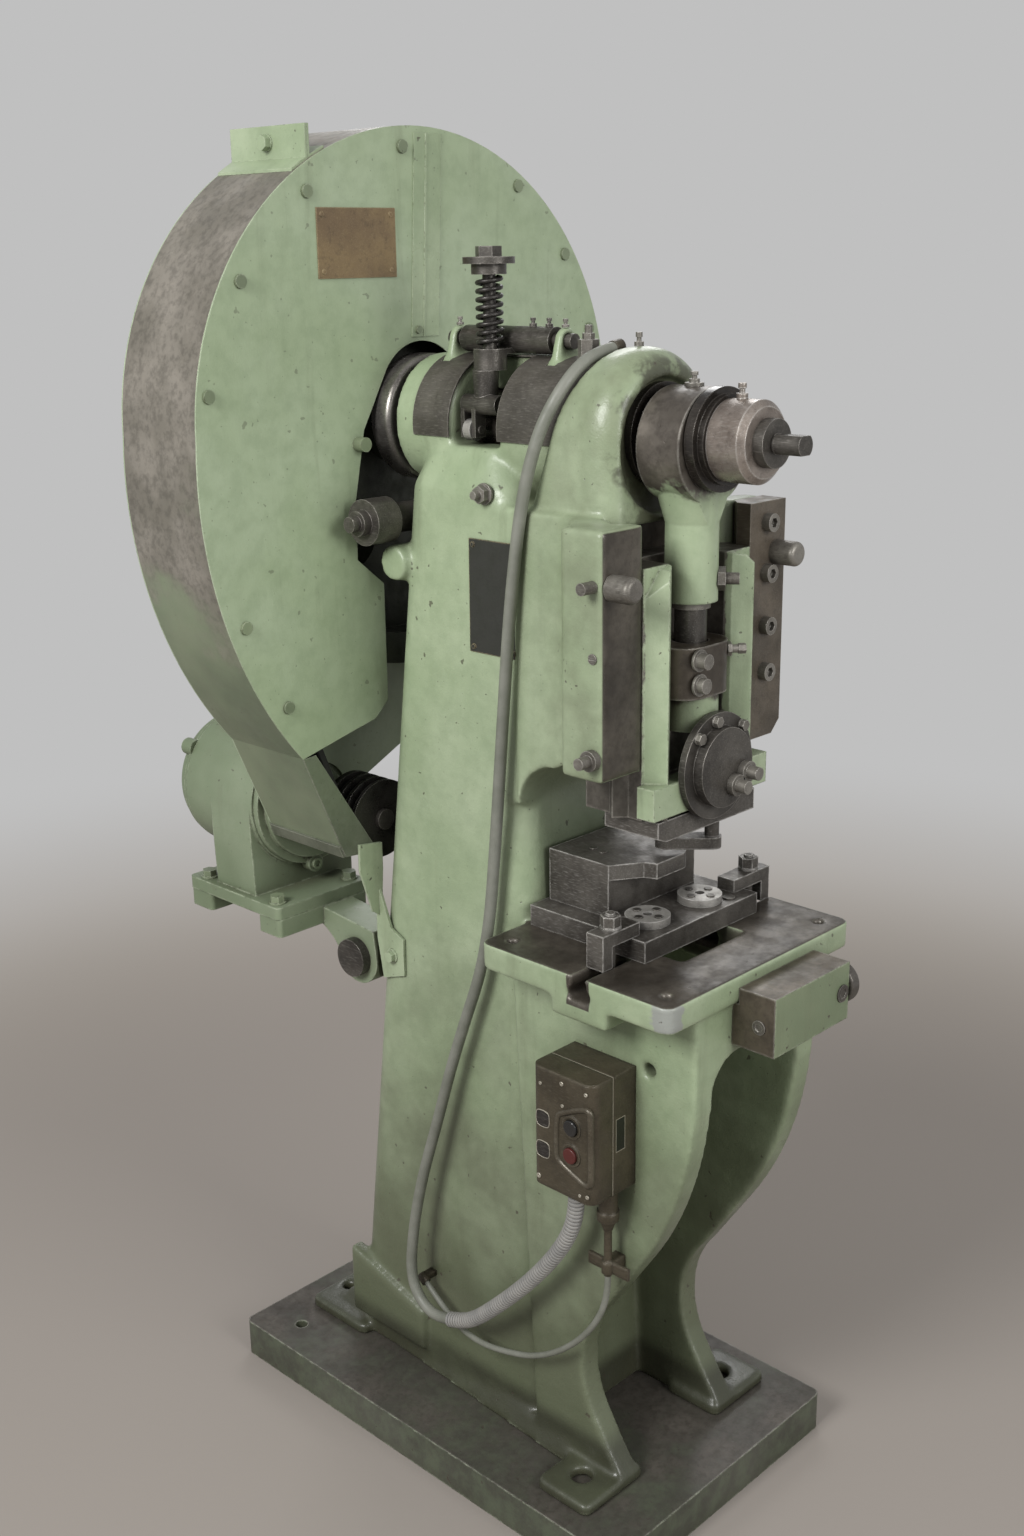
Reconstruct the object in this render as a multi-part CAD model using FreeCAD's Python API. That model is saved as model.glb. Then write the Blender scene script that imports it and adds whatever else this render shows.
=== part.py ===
import FreeCAD, Part
import math
import os

# Mechanical stamping press: an open-front eccentric press on a base plate.
# Millimetres. X to the right seen from the operator, Y to the back, Z up.
# The origin is the middle of the base plate's underside.

V = FreeCAD.Vector
X_AXIS = V(1, 0, 0)
Y_AXIS = V(0, 1, 0)
Z_AXIS = V(0, 0, 1)

# ---------------------------------------------------------------- clearances
RUNNING_GAP = 0.05          # radial gap of a shaft in its bush
SEAT_GAP = 0.3              # gap between pieces that lie close on curved faces
GUIDE_GAP = 0.3             # gap of the slide in its ways

# ---------------------------------------------------------------- base plate
BASE_WIDTH = 447.0
BASE_DEPTH = 735.0
BASE_THICK = 55.0
BASE_CORNER = 12.0
ANCHOR_HOLE_X = 174.0
ANCHOR_HOLE_Y = 295.0
ANCHOR_HOLE_R = 9.0

# --------------------------------------------------------------- frame, feet
FOOT_THICK = 16.0
FRONT_FOOT_OUT = 192.0      # outer edge of the front feet
FRONT_FOOT_IN = 76.0
FRONT_FOOT_BACK = -205.0
FRONT_FOOT_FRONT = -295.0
FRONT_FOOT_HOLE_X = 146.0
FRONT_FOOT_HOLE_Y = -246.0
REAR_FOOT_OUT = 130.0
REAR_FOOT_IN = 30.0
REAR_FOOT_FRONT = 262.0     # where the rear feet come out of the flange
REAR_FOOT_ROOT = 60.0       # how far they run on under the column
REAR_FOOT_BACK = 325.0
REAR_FOOT_HOLE_X = 72.0
REAR_FOOT_HOLE_Y = 302.0
FOOT_HOLE_R = 14.0
REAR_FOOT_HOLE_R = 9.0
FOOT_CORNER = 12.0
FLANGE_HEIGHT = 30.0        # sloping flange along the column's foot
FLANGE_FRONT_HALF = 134.0
FLANGE_BACK_HALF = 104.0
FLANGE_FRONT = -200.0
FLANGE_BACK = 292.0
FLANGE_SLOPE = 12.0
FLANGE_ROOT = 8.0           # how far the gap between the legs runs into the column's foot

# ------------------------------------------------------------- frame, column
COLUMN_FOOT_HALF = 112.0
COLUMN_TOP_HALF = 100.0
COLUMN_FOOT_FRONT = -150.0
COLUMN_TOP_FRONT = -95.0
COLUMN_FOOT_BACK = 240.0
COLUMN_TOP_BACK = 90.0
COLUMN_TOP_Z = 1325.0
COLUMN_CORNER = 38.0
SHOULDER_Z = 1392.0         # where the column has closed in on the housing
SHOULDER_HALF = 74.0
SHOULDER_FRONT = -60.0
SHOULDER_BACK = 66.0

# --------------------------------------------------------------- frame, legs
LEG_OUT = 121.0
LEG_THICK = 36.0
LEG_FRONT = -400.0
LEG_BACK = -105.0
LEG_HOLE_Y = -330.0
LEG_HOLE_Z = 671.0
LEG_HOLE_R = 9.0
LEG_FRONT_CURVE = (         # the leg's front edge, from the apron down to the foot
    (-400.0, 690.0),
    (-378.0, 523.0, "arc"),
    (-316.0, 395.0),
    (-259.0, 310.0),
    (-224.0, 204.0, "arc"),
    (-252.0, 128.0),
    (-272.0, 96.0, "arc"),
)
LEG_TOE_SETBACK = 4.0       # how far the leg's toe stands behind the front foot's edge
LEG_ROOT = 10.0             # how far walls and flange run into the column
APRON_BOTTOM_Z = 690.0
APRON_THICK = 30.0
APRON_ARCH_R = 60.0
APRON_SIDE = 30.0           # width of the apron's uprights beside the arch
APRON_SETBACK = 5.0         # how far the apron's ends lie inside the legs' outer faces
ARCH_SAG = 14.0             # how far the arch's corners bulge out

# -------------------------------------------------------------- frame, table
TABLE_TOP_Z = 793.0
TABLE_THICK = 34.0
TABLE_HALF = 181.0
TABLE_FRONT = -409.0
TABLE_BACK = -110.0
TABLE_CORNER = 16.0
SLOT_Y = -272.0
SLOT_WIDTH = 20.0
SLOT_NECK_DEPTH = 16.0
SLOT_FOOT_WIDTH = 34.0
SLOT_FOOT_DEPTH = 14.0
SLOT_BOSS_HALF = 44.0
SLOT_BOSS_DEPTH = 24.0
TABLE_HOLE_X = 150.0
TABLE_HOLE_FRONT_Y = -380.0
TABLE_HOLE_BACK_Y = -139.0
TABLE_HOLE_R = 6.5
DROP_HALF = 62.0            # drop opening through the table
DROP_FRONT = -332.0
DROP_BACK = -200.0

# ---------------------------------------------------------- frame, gibs, head
NECK_HALF = 108.0
NECK_FRONT = -212.0
NECK_BACK = -110.0
NECK_THROAT_R = 60.0
NECK_LIP = 80.0             # how far the neck's root reaches below the ways
NECK_ROOT = -111.0
NECK_ROOT_BACK = -50.0      # how far back the neck's flat sides reach on the column
GIB_BOTTOM_Z = 1028.0
GIB_TOP_Z = 1312.0
GIB_IN = 98.0
GIB_OUT = 168.0
GIB_FRONT = -298.0
GIB_BACK = -190.0
GIB_SIDE_BACK = -236.0
GIB_PLATE_THICK = 34.0
GIB_PLATE_DROP = 6.0        # how far the bolted plate reaches below the block
GIB_PLATE_CHAMFER = 16.0
GIB_SCREW_X = 131.0
GIB_SCREW_Z = (1287.0, 1226.0, 1162.0, 1105.0)
GIB_SCREW_R = 11.0
GIB_SCREW_HEIGHT = 11.0
WAY_FAIRING = 40.0          # length of the side block's blend into the neck
FAIRING_SAG_X = 8.0         # middle of that blend, from the neck's side and the way's back
FAIRING_SAG_Y = 12.0
STOP_PIN_X = 151.0
STOP_PIN_Z = 1249.0
STOP_PIN_R = 15.0
STOP_PIN_LENGTH = 34.0
STOP_PIN_ROUND = 6.0
ADJUSTER_Y = -285.0
ADJUSTER_TOP_Z = 1251.0
ADJUSTER_MIDDLE_Z = 1171.0
ADJUSTER_LOW_Z = 1056.0
ADJUSTER_STUD_R = 7.0
ADJUSTER_STUD_LENGTH = 20.0
ADJUSTER_NUT_R = 12.0
ADJUSTER_NUT_THICK = 9.0
ADJUSTER_TIP_LENGTH = 16.0
SLOT_SCREW_R = 6.0
SLOT_SCREW_HEIGHT = 1.5
SLOT_SCREW_FLOOR = 0.7
SLOT_SCREW_SLOT_HALF = 0.8
SHAFT_Z = 1397.0            # main shaft axis
HEAD_R = 97.0
HEAD_FRONT = -250.0
HEAD_BACK_Y = -120.0        # back of the head at the foot of its skirt
HEAD_LEAN = 0.366           # forward lean of the back face for each millimetre up
HEAD_RIM_R = 79.0           # radius where the head's front rounding ends
HEAD_ROUND_DEPTH = 44.0     # how far back the front rounding reaches
HEAD_SKIRT_Z = 1300.0
RECESS_R = 77.0
RECESS_Z = 1385.0
RECESS_DEPTH = 14.0
HOUSING_R = 82.0
HOUSING_BACK = 120.0
HOUSING_BORE_R = 42.0
COLUMN_WALL = 20.0          # wall of the hollow column
COLUMN_ROOF_Z = 1250.0      # top of the column's hollow
PAD_FRONT = 80.0            # raised pad low on the column's side
PAD_BACK = 236.0
PAD_FRONT_Z = 147.0
PAD_BACK_Z = 194.0
PAD_OUT = 122.0
PAD_SINK = 1.0              # how deep the pad's foot runs into the flange

# ------------------------------------------------------- clutch trip on the housing
TRIP_X = -12.0              # pivot shaft over the housing, along Y
TRIP_Z = 1498.0
TRIP_SHAFT_R = 9.0
EAR_R = 16.0
EAR_THICK = 14.0
EAR_FOOT_HALF = 27.0
EAR_SINK = 22.0             # how deep the ears' feet run into the housing
EAR_BACK_Y = 70.0
EAR_FRONT_Y = -106.0
WINDOW_FRONT = -60.0        # opening in the housing's left top
WINDOW_BACK = 22.0
WINDOW_RIGHT = -14.0
WINDOW_LOW_Z = 1376.0
LEVER_HUB_R = 16.0
LEVER_HUB_FRONT = -92.0
LEVER_HUB_BACK = 56.0
LEVER_NIPPLE_Y = (-54.0, -80.0)
LEVER_NIPPLE_R = 4.5
LEVER_NIPPLE_HEIGHT = 10.0
LEVER_NIPPLE_SINK = 0.1
LEVER_NECK_LOW_MORE = 2.0    # the lever's neck is this much wider than the arm below
LEVER_NECK_TOP_LESS = 4.0
LEVER_NECK_SHIFT = 6.0
TRIP_PIN_FRONT_OVER = 8.0    # how far the trip shaft stands out of its ears
TRIP_PIN_BACK_OVER = 6.0
ROLLER_PIN_OVER = 8.0
BOLT_X = -46.0              # upright spring bolt in the lever's eye
BOLT_Y = -15.0
BOLT_R = 8.0
BOLT_BOTTOM_Z = 1452.0
BOLT_TRAVEL = 8.0           # how far the bolt can be pressed down
EYE_R = 20.0
EYE_BOTTOM_Z = 1464.0
EYE_TOP_Z = 1489.0
ARM_X = -60.0               # cross arm at the lever's lower end
ARM_Z = 1424.0
ARM_R = 12.0
ARM_FRONT = -46.0
ARM_BACK = 12.0
ROLLER_X = -62.0
ROLLER_Z = 1394.0
ROLLER_R = 13.0
ROLLER_WIDTH = 12.0
ROLLER_Y = 0.0
ROLLER_PIN_R = 5.0
ROLLER_ROOM = 1.0           # room round the roller in the arm
CHEEK_THICK = 6.0           # the two plates that hold the roller's pin
CHEEK_HALF = 9.0
SPRING_WIRE_R = 2.9
SPRING_R = 14.0             # radius of the coil's middle line
SPRING_CURLS = 8
SPRING_END_ROOM = 1.2       # room under and over the coil for the slope of its straight ends
SPRING_TOP_Z = 1574.0
SPRING_CAP_R = 21.0
SPRING_CAP_THICK = 12.0
SPRING_PLATE_R = 31.0
SPRING_PLATE_THICK = 8.0
BOLT_HEAD_FLATS = 28.0
BOLT_HEAD_HEIGHT = 12.0
GREASE_CUP_X = -18.0
GREASE_CUP_Y = -147.0
GREASE_CUP_FLATS = 22.0
GREASE_CUP_HEIGHT = 22.0
GREASE_CUP_SINK = 5.0
NIPPLE_HEAD_X = 8.0
NIPPLE_BASE_SHARE = 0.35     # shares of a nipple's height and base radius
NIPPLE_NECK_SHARE = 0.3
NIPPLE_NECK_R_SHARE = 0.5
NIPPLE_TOP_R_SHARE = 0.72
NIPPLE_HEAD_Y = -201.0
SIDE_STUD_X = 100.4
SIDE_STUD_Y = -56.0
SIDE_STUD_Z = 1325.0
SADDLE_GAP = 0.3
SADDLE_OUT_R = 84.3
SADDLE_BACK = 84.0
SADDLE_LOW_Z = 1385.0

# ------------------------------------------------------- lugs behind the column
PIN_Y = 200.0               # pivot pin of the motor bracket
PIN_Z = 664.0
PIN_R = 14.0
PIN_LUG_R = 27.0
PIN_LUG_X = -25.0
PIN_LUG_HALF = 30.0
PIN_LUG_ROOT = 70.0         # how far each lug's neck reaches forward into the column
STAY_Y = 117.0              # stay shaft between the column and the guard
STAY_Z = 1279.0
STAY_R = 19.0
STAY_LEFT_X = -142.0
STAY_SLEEVE_R = 29.0
STAY_SLEEVE_END_X = -103.0
STAY_LUG_R = 27.0
STAY_LUG_HALF = 40.0
STAY_LUG_ROOT = 45.0
STAY_OVER = 6.0
STAY_NUT_R = 16.0
STAY_NUT_THICK = 12.0
STAY_TIP_R = 10.0
STAY_TIP_LENGTH = 12.0
BOSS_Y = 100.0              # plain boss under the stay shaft
BOSS_Z = 1226.0
BOSS_R = 23.0
BOSS_END_X = 112.0
BOSS_ROOT = 40.0
BOSS_NECK_SHORT = 20.0      # how much shorter the boss's neck is than the boss

# ------------------------------------------------------------- main shaft
JOURNAL_R = 32.0
JOURNAL_OVER = 6.0           # how far the journal runs on behind the housing
ECCENTRIC_OVER = 1.0         # how far the eccentric stands out in front of the rod
KEY_SLOT_DEPTH = 4.0
KEY_SLOT_HALF = 8.0
BUSH_GAP = 0.05             # slip fit of a bush or collar on its shaft or in its bore
FRONT_BUSH_LENGTH = 90.0
REAR_BUSH_LENGTH = 80.0
SHAFT_BACK = 286.0
WHEEL_SEAT_R = 28.0         # shaft under the flywheel
CLUTCH_SLEEVE_R = 40.0      # driven clutch sleeve inside the housing
CLUTCH_SLEEVE_FRONT = -78.0
CLUTCH_SLEEVE_BACK = 34.0
THROW = 8.0                 # eccentricity; the stroke is twice as much
CHEEK_R = 60.0
CHEEK_BACK = -237.5
CHEEK_FRONT = -247.0
ECCENTRIC_R = 37.5
COLLAR_CORE_R = 20.0        # shaft inside the collars in front of the rod
GREASE_COLLAR_R = 58.0
GREASE_COLLAR_BACK = -320.0
SPACER_BACK = -332.0
SPACER_R = 50.0
HUB_BACK = -340.0
HUB_R = 46.0
HUB_FRONT = -388.0
HUB_CHAMFER = 7.0
STEP_R = 27.0
STEP_FRONT = -402.0
STUB_NECK_R = 11.0
STUB_R = 13.0
STUB_BACK = -405.0
STUB_FRONT = -439.0
STUB_FLAT = 10.5            # half distance across the stub's flats

# ------------------------------------------------------------- connecting rod
ROD_Z = SHAFT_Z - THROW     # big end centre with the ram down
ROD_R = 65.0
ROD_BACK = -258.0
ROD_FRONT = -318.0
ROD_BORE_R = 50.0
BIG_END_BUSH_R = 46.0
SHANK_Y = -288.0
SHANK_R = 31.0
SHANK_BOTTOM_Z = 1212.0
SPINDLE_R = 19.0
SPINDLE_TOP_Z = 1300.0
BALL_R = 26.0
BALL_Z = 1128.0
COLLAR_R = 23.0
COLLAR_HEIGHT = 8.0
LOCK_Z = 1237.0
LOCK_AIM_X = 0.62            # which way the clamping stud looks
LOCK_AIM_Y = -0.785
LOCK_NUT_FLATS = 24.0
LOCK_NUT_THICK = 9.0
LOCK_NUT_SINK = 1.0
LOCK_STUD_R = 7.0
LOCK_STUD_LENGTH = 16.0
LOCK_REACH = 30.0
ROD_DISC_R = 11.0
ROD_DISC_THICK = 4.0
ROD_DISC_SINK = 0.6
ROD_NIPPLE_R = 6.0
ROD_NIPPLE_HEIGHT = 12.0
SPINDLE_END_ROOM = 10.0

# ------------------------------------------------------------- slide
SLIDE_BOTTOM_Z = 969.0
SLIDE_TOP_Z = 1262.0
WAY_V_Y = -264.0            # middle of the V-ways, at the joint of block and plate
WAY_V_DEPTH = 14.0
CUT_OVER = 1.0              # how far a cutting tool reaches past the face it cuts
WING_OUT = 95.0
WING_RIDGE = 78.0
WING_FRONT = -320.0
WING_IN = 56.0              # inner edge of the wings
WING_DROP = 34.0            # how much lower the wings' tops are at their outer edge
WING_ROOT_FRONT = 6.0        # corners where the wings run into the body
WING_ROOT_IN = 8.0
WING_ROOT_BACK = 10.0
SLOPE_START_IN = 10.0        # line of the sloping top
SLOPE_RIDGE_IN = 8.0
SLOPE_RIDGE_DROP = 4.0
SLOPE_REACH = 30.0
POCKET_BACK = -246.0        # pocket for the rod and the socket
POCKET_BOTTOM_Z = 1062.0
POCKET_HALF = 52.0
POCKET_CORNER = 18.0
POCKET_OVER = 10.0           # how far the pocket's tool reaches past the slide
FOOT_HALF = 107.0           # flange at the slide's foot
FOOT_TOP_Z = 1013.0
FOOT_BOTTOM_Z = 975.0
FOOT_FRONT = -324.0
FOOT_ROOT = 12.0            # how far the flange runs back between the ways
SOCKET_LEFT = -52.0
SOCKET_RIGHT = 44.0
SOCKET_FRONT = -324.0
SOCKET_BOTTOM_Z = 1104.0
SOCKET_TOP_Z = 1165.0
SOCKET_ROUND = 30.0
SOCKET_SIDE_IN = 2.0
SOCKET_NECK_R = 34.0
SPINDLE_ROOM = 2.0
CAP_SCREW_PLACES = ((-30.0, 1151.0), (-29.0, 1122.0))
CAP_SCREW_R = 9.0
CAP_SCREW_HEIGHTS = (12.0, 9.0)
CAP_WASHER_R = 13.0
CAP_WASHER_THICK = 3.0
JACK_AIM_X = 0.75            # which way the jack bolt looks
JACK_AIM_Y = -0.66
JACK_SEAT_IN = 9.0
JACK_Z = 1152.0
JACK_NUT_FLATS = 15.0
JACK_NUT_THICK = 5.0
JACK_STEM_R = 5.0
JACK_STEM_LENGTH = 8.0
JACK_HEAD_FLATS = 11.0
JACK_HEAD_HEIGHT = 9.0
COVER_X = 0.0               # clamp cover of the tool shank
COVER_Z = 1021.0
COVER_FRONT = -346.0
COVER_R = 48.0
COVER_FLANGE_R = 64.0
COVER_FLANGE_FRONT = -333.0
CLAMP_STUD_R = 8.0
CLAMP_STUD_LENGTH = 14.0
CLAMP_STUD_PLACES = ((12.0, 998.0), (33.0, 1010.0))
CLAMP_NUT_R = 13.0
CLAMP_NUT_THICK = 8.0
COVER_SCREW_PLACES = ((-40.0, 1062.0), (-8.0, 1076.0), (42.0, 1062.0))
COVER_SCREW_FLATS = 12.0
COVER_SCREW_HEIGHT = 6.0
COVER_WASHER_R = 7.0
COVER_WASHER_THICK = 1.5

# ------------------------------------------------------------- tools in the press
UPPER_HALF = 92.0
UPPER_BACK = -237.0
UPPER_FRONT = -318.0
UPPER_THICK = 26.0
UPPER_CHAMFER = 14.0
UPPER_CHAMFER_RISE = 6.0
PUNCH_ARM_X = 10.0          # arm under the upper tool, from its first pin
PUNCH_ARM_Y = -246.0
PUNCH_ARM_Z = 905.0
PUNCH_ARM_TURN = -48.0      # degrees from the X axis
PUNCH_ARM_LENGTH = 57.0     # between its two pins
PUNCH_ARM_R = 12.0
PUNCH_ARM_THICK = 15.0
PUNCH_PIN_R = 9.0
DIE_BASE_LEFT = -98.0
DIE_BASE_RIGHT = 123.0
DIE_BASE_FRONT = -305.0
DIE_BASE_BACK = -120.0
DIE_BASE_THICK = 27.0
DIE_LEFT = -68.0
DIE_RIGHT = 100.0
DIE_FRONT = -222.0
DIE_BACK = -125.0
DIE_TOP_Z = 888.0
NOSE_LEFT = -30.0
NOSE_RIGHT = 45.0
NOSE_FRONT = -262.0
NOSE_THICK = 20.0
FLANGE_R = 28.0
FLANGE_THICK = 10.0
FLANGE_PLACES = ((-44.0, -264.0), (54.0, -267.0))
FLANGE_SCREW_COUNT = 4
FLANGE_SCREW_PLACE_R = 17.0
FLANGE_SCREW_R = 5.0
FLANGE_SCREW_HEIGHT = 1.5
DIE_SCREW_PLACES = ((-32.0, -167.0), (-35.0, -185.0))
DIE_SCREW_R = 5.5
DIE_SCREW_HEIGHT = 1.2
BASE_SCREW_X = 84.0
BASE_SCREW_Y = -290.0
BASE_SCREW_R = 8.0
BASE_SCREW_HEIGHT = 2.0
CLAMP_X = -122.0
CLAMP_BLOCK_X = -150.0
CLAMP_HALF = 13.0
CLAMP_TOE = 17.0
CLAMP_HEEL_SHARE = 1.3       # heel's length against the clamp's half width
CLAMP_LEFT_BITE = 14.0       # how far each toe reaches over the die base
CLAMP_RIGHT_BITE = 22.0
CLAMP_HOLE_R = 6.5
CLAMP_HOLE_REACH = 60.0
CLAMP_STEM_R = 6.0
CLAMP_STEM_OVER = 20.0
CLAMP_FOOT_HALF = 13.0
CLAMP_NUT_HEIGHT = 14.0
CLAMP_WASHER_R = 13.0
CLAMP_WASHER_THICK = 3.0
SLOT_FOOT_ROOM = 1.0         # room under and over the bolts' feet in the slot
RIGHT_CLAMP_X = 148.0
RIGHT_CLAMP_END = 176.0
BOLT_FLATS = 22.0

# ------------------------------------------------------------- front block
BLOCK_LEFT = -53.0
BLOCK_RIGHT = 98.0
BLOCK_FRONT = -461.0
BLOCK_BOTTOM_Z = 705.0
BLOCK_TOP_Z = 779.0
SIDE_SCREW_SETBACK = 22.0    # screws in the block's left side, front and underside
SIDE_SCREW_Z = 738.0
SIDE_SCREW_R = 9.0
SIDE_SCREW_HEIGHT = 1.5
FRONT_SCREW_IN = 14.0
FRONT_SCREW_Z = 742.0
FRONT_SCREW_R = 11.0
FRONT_SCREW_HEIGHT = 2.0
LOW_SCREW_IN = 26.0
LOW_SCREW_SETBACK = 30.0
LOW_SCREW_R = 8.0
LOW_SCREW_HEIGHT = 10.0
KNOB_Y = -440.0
KNOB_Z = 744.0
KNOB_R = 27.0
KNOB_THICK = 16.0
KNOB_STEM_R = 9.0
KNOB_STEM_LENGTH = 28.0
KNOB_STEM_SINK = 2.0
KNOB_BORE_DEPTH = 30.0
KNOB_ROUND = 3.0
KNOB_FLAT = 2.0              # depth of the flat at the knob's back
KNOB_REACH = 40.0

# ------------------------------------------------------------- belt guard
GUARD_Z = 1392.0            # centre of the guard's round part
GUARD_R = 358.0
GUARD_FRONT = 155.0
GUARD_BACK = 305.0
SHEET = 2.0                 # sheet thickness
GUARD_LEFT_TURN_Z = 1185.0  # where the round part ends on each side
GUARD_KNEE_X = 226.0
GUARD_KNEE_Z = 983.0
CHUTE_END_X = -163.0
CHUTE_END_Z = 834.0
CHUTE_IN_X = -106.0
CHUTE_IN_Z = 828.0
FACE_SLIT_LEFT = -3.0       # cover strip on the guard's face
FACE_SLIT_RIGHT = 44.0
FACE_SLIT_BOTTOM_Z = 1497.0
SCREW_R = 8.0
SCREW_HEIGHT = 4.0
TAG_LEFT = -165.0
TAG_RIGHT = -39.0
TAG_BOTTOM_Z = 1571.0
TAG_TOP_Z = 1653.0
TAG_THICK = 1.5

# ------------------------------------------------------------- flywheel and belts
WHEEL_FRONT = 165.0
WHEEL_BACK = 286.0
WHEEL_R = 325.0
WHEEL_RIM_IN = 284.0
WHEEL_WEB_FRONT = 212.0
WHEEL_WEB_BACK = 240.0
WHEEL_HUB_R = 62.0
HUB_RING_R = 80.0
HUB_RING_IN = 60.0
HUB_RING_FRONT = 133.0
BELT_COUNT = 3
BELT_PITCH = 19.0
BELT_FIRST_Y = 178.0
BELT_HEIGHT = 9.6
BELT_TOP_HALF = 6.4
BELT_BOTTOM_HALF = 3.9
GROOVE_GAP = 0.35           # gap between a belt and its groove
WEB_HOLES = 6
WEB_HOLE_R = 48.0
WEB_HOLE_PLACE_R = 172.0

# ------------------------------------------------------------- motor
MOTOR_X = -85.0
MOTOR_Z = 866.0
PULLEY_R = 54.0
PULLEY_FRONT = 166.0
PULLEY_BACK = 232.0
MOTOR_SHAFT_R = 14.0
MOTOR_SHAFT_OVER = 6.0       # how far the shaft stands out of the pulley
MOTOR_SHAFT_DEPTH = 40.0
MOTOR_BORE_DEPTH = 60.0
MOTOR_BORE_ROOM = 4.0
STAND_TOE_IN = 4.0           # the stand between the motor's body and its foot
STAND_RIGHT = 80.0
STAND_DROP = 40.0
STAND_FRONT_IN = 6.0
STAND_BACK_IN = 58.0
MOTOR_R = 100.0
MOTOR_FRONT = 326.0
MOTOR_BACK = 478.0
SHIELD_R = 86.0
SHIELD_FRONT = 307.0
SHIELD_NOSE_R = 46.0
SHIELD_NOSE_FRONT = 268.0
SHIELD_NOSE_TAPER = 12.0
SHIELD_DISH = 9.0
SHIELD_FLANGE_IN = 3.0
SHIELD_LUG_LEFT = 4.0
SHIELD_LUG_RISE = 2.0
SHIELD_LUG_SETBACK = 3.0
SHIELD_LUG_R = 13.0
SHIELD_SCREW_R = 8.0
SHIELD_SCREW_HEIGHT = 4.0
CAP_R = 92.0
CAP_BACK = 508.0
CAP_ROUND = 12.0
CAP_STEP = 8.0
CAP_STEP_IN = 2.0
CAP_LUG_LEFT = 76.0
CAP_LUG_RISE = 56.0
CAP_LUG_R = 12.0
CAP_LUG_LENGTH = 22.0
MOTOR_FOOT_TOP_Z = 738.0
FOOT_PLATE_THICK = 18.0
FOOT_PLATE_CORNER = 8.0
FOOT_LEFT = -193.0
FOOT_RIGHT = -30.0
FOOT_FRONT_Y = 270.0
FOOT_BACK_Y = 474.0
FOOT_BOLT_SIDE_IN = 16.0
FOOT_BOLT_FRONT_IN = 20.0
FOOT_BOLT_BACK_IN = 28.0
FOOT_BOLT_FLATS = 18.0
FOOT_BOLT_HEIGHT = 9.0
FOOT_WASHER_R = 12.0
FOOT_WASHER_THICK = 2.5
BRACKET_LUG_HEIGHT = 26.0
BRACKET_LUG = 48.0
BRACKET_LUG_IN = 2.0
BRACKET_LUG_CORNER = 6.0
DECK_LEFT_IN = 30.0
DECK_RIGHT_IN = 4.0
DECK_END_IN = 8.0
DECK_THICK = 12.0
BRACKET_ARM_LEFT = -112.0
BRACKET_ARM_RIGHT = -58.0
BRACKET_EYE_R = 40.0
RELIEF_GAP = 4.0             # room for the column in the bracket
RELIEF_BACK = 176.0
RELIEF_BELOW = 80.0
RELIEF_ABOVE = 120.0
TENSION_SETBACK = 30.0       # belt tension bolt in the bracket's eye
TENSION_DROP = 18.0
TENSION_AIM_Y = 0.94
TENSION_AIM_Z = -0.34
TENSION_NUT_FLATS = 24.0
TENSION_NUT_THICK = 16.0
TENSION_STEM_R = 8.0
TENSION_STEM_LENGTH = 14.0
PIN_HEAD_R = 27.0
PIN_HEAD_THICK = 14.0
PIN_OVER = 12.0
PIN_HEAD_ROOT = 2.0


# ------------------------------------------------------------- guard, small pieces
GUARD_SIDE_X = 336.0        # the guard's outline half way down each side
NOTCH_IN = 78.0             # the face plate's cut-out round the column
NOTCH_SHOULDER = 121.0
NOTCH_TOP_Z = 1492.0
NOSE_HOLE_R = 52.0          # hole in the back plate round the motor's nose
COVER_STRIP_THICK = 1.5
COVER_STRIP_TOP_Z = 1742.0
COVER_FOLD_X = 16.0
COVER_FOLD_WIDTH = 3.0
COVER_STRIP_LEAN = 13.0
IRON_FRONT = 160.0          # the pair of angle irons on top of the guard
IRON_BACK = 302.0
IRON_X = -172.0
IRON_THICK = 3.0
IRON_TOP_Z = 1747.0
IRON_FOOT = 22.0
IRON_BOLT_Y = 230.0
IRON_BOLT_Z = 1728.0
KNOB_LATCH_X = -113.0
KNOB_LATCH_Z = 1371.0
KNOB_LATCH_R = 9.0
KNOB_LATCH_LENGTH = 16.0
GUARD_SCREW_X = (-24.0, -178.0, -283.0, -338.0, -304.0, -246.0, 182.0, 273.0, 323.0, 304.0)
GUARD_SCREW_Z = (1725.0, 1671.0, 1571.0, 1444.0, 1167.0, 1056.0, 1682.0, 1595.0, 1494.0, 1167.0)
STRIP_SCREW_X = -6.0
STRIP_SCREW_Z = 1506.0
CHUTE_STRIP_RIGHT_X = -205.0
END_PLATE_LENGTH = 18.0
END_PLATE_THICK = 3.0
STRAP_THICK = 4.0
STRAP_GAP = 0.3

# ------------------------------------------------------------- plates
RIVET_R = 3.0
RIVET_HEIGHT = 1.2
DATA_FRONT = -112.0         # plate on the column's left side
DATA_BACK = -28.0
DATA_BOTTOM_Z = 1131.0
DATA_TOP_Z = 1270.0
DATA_THICK = 1.5

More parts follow.
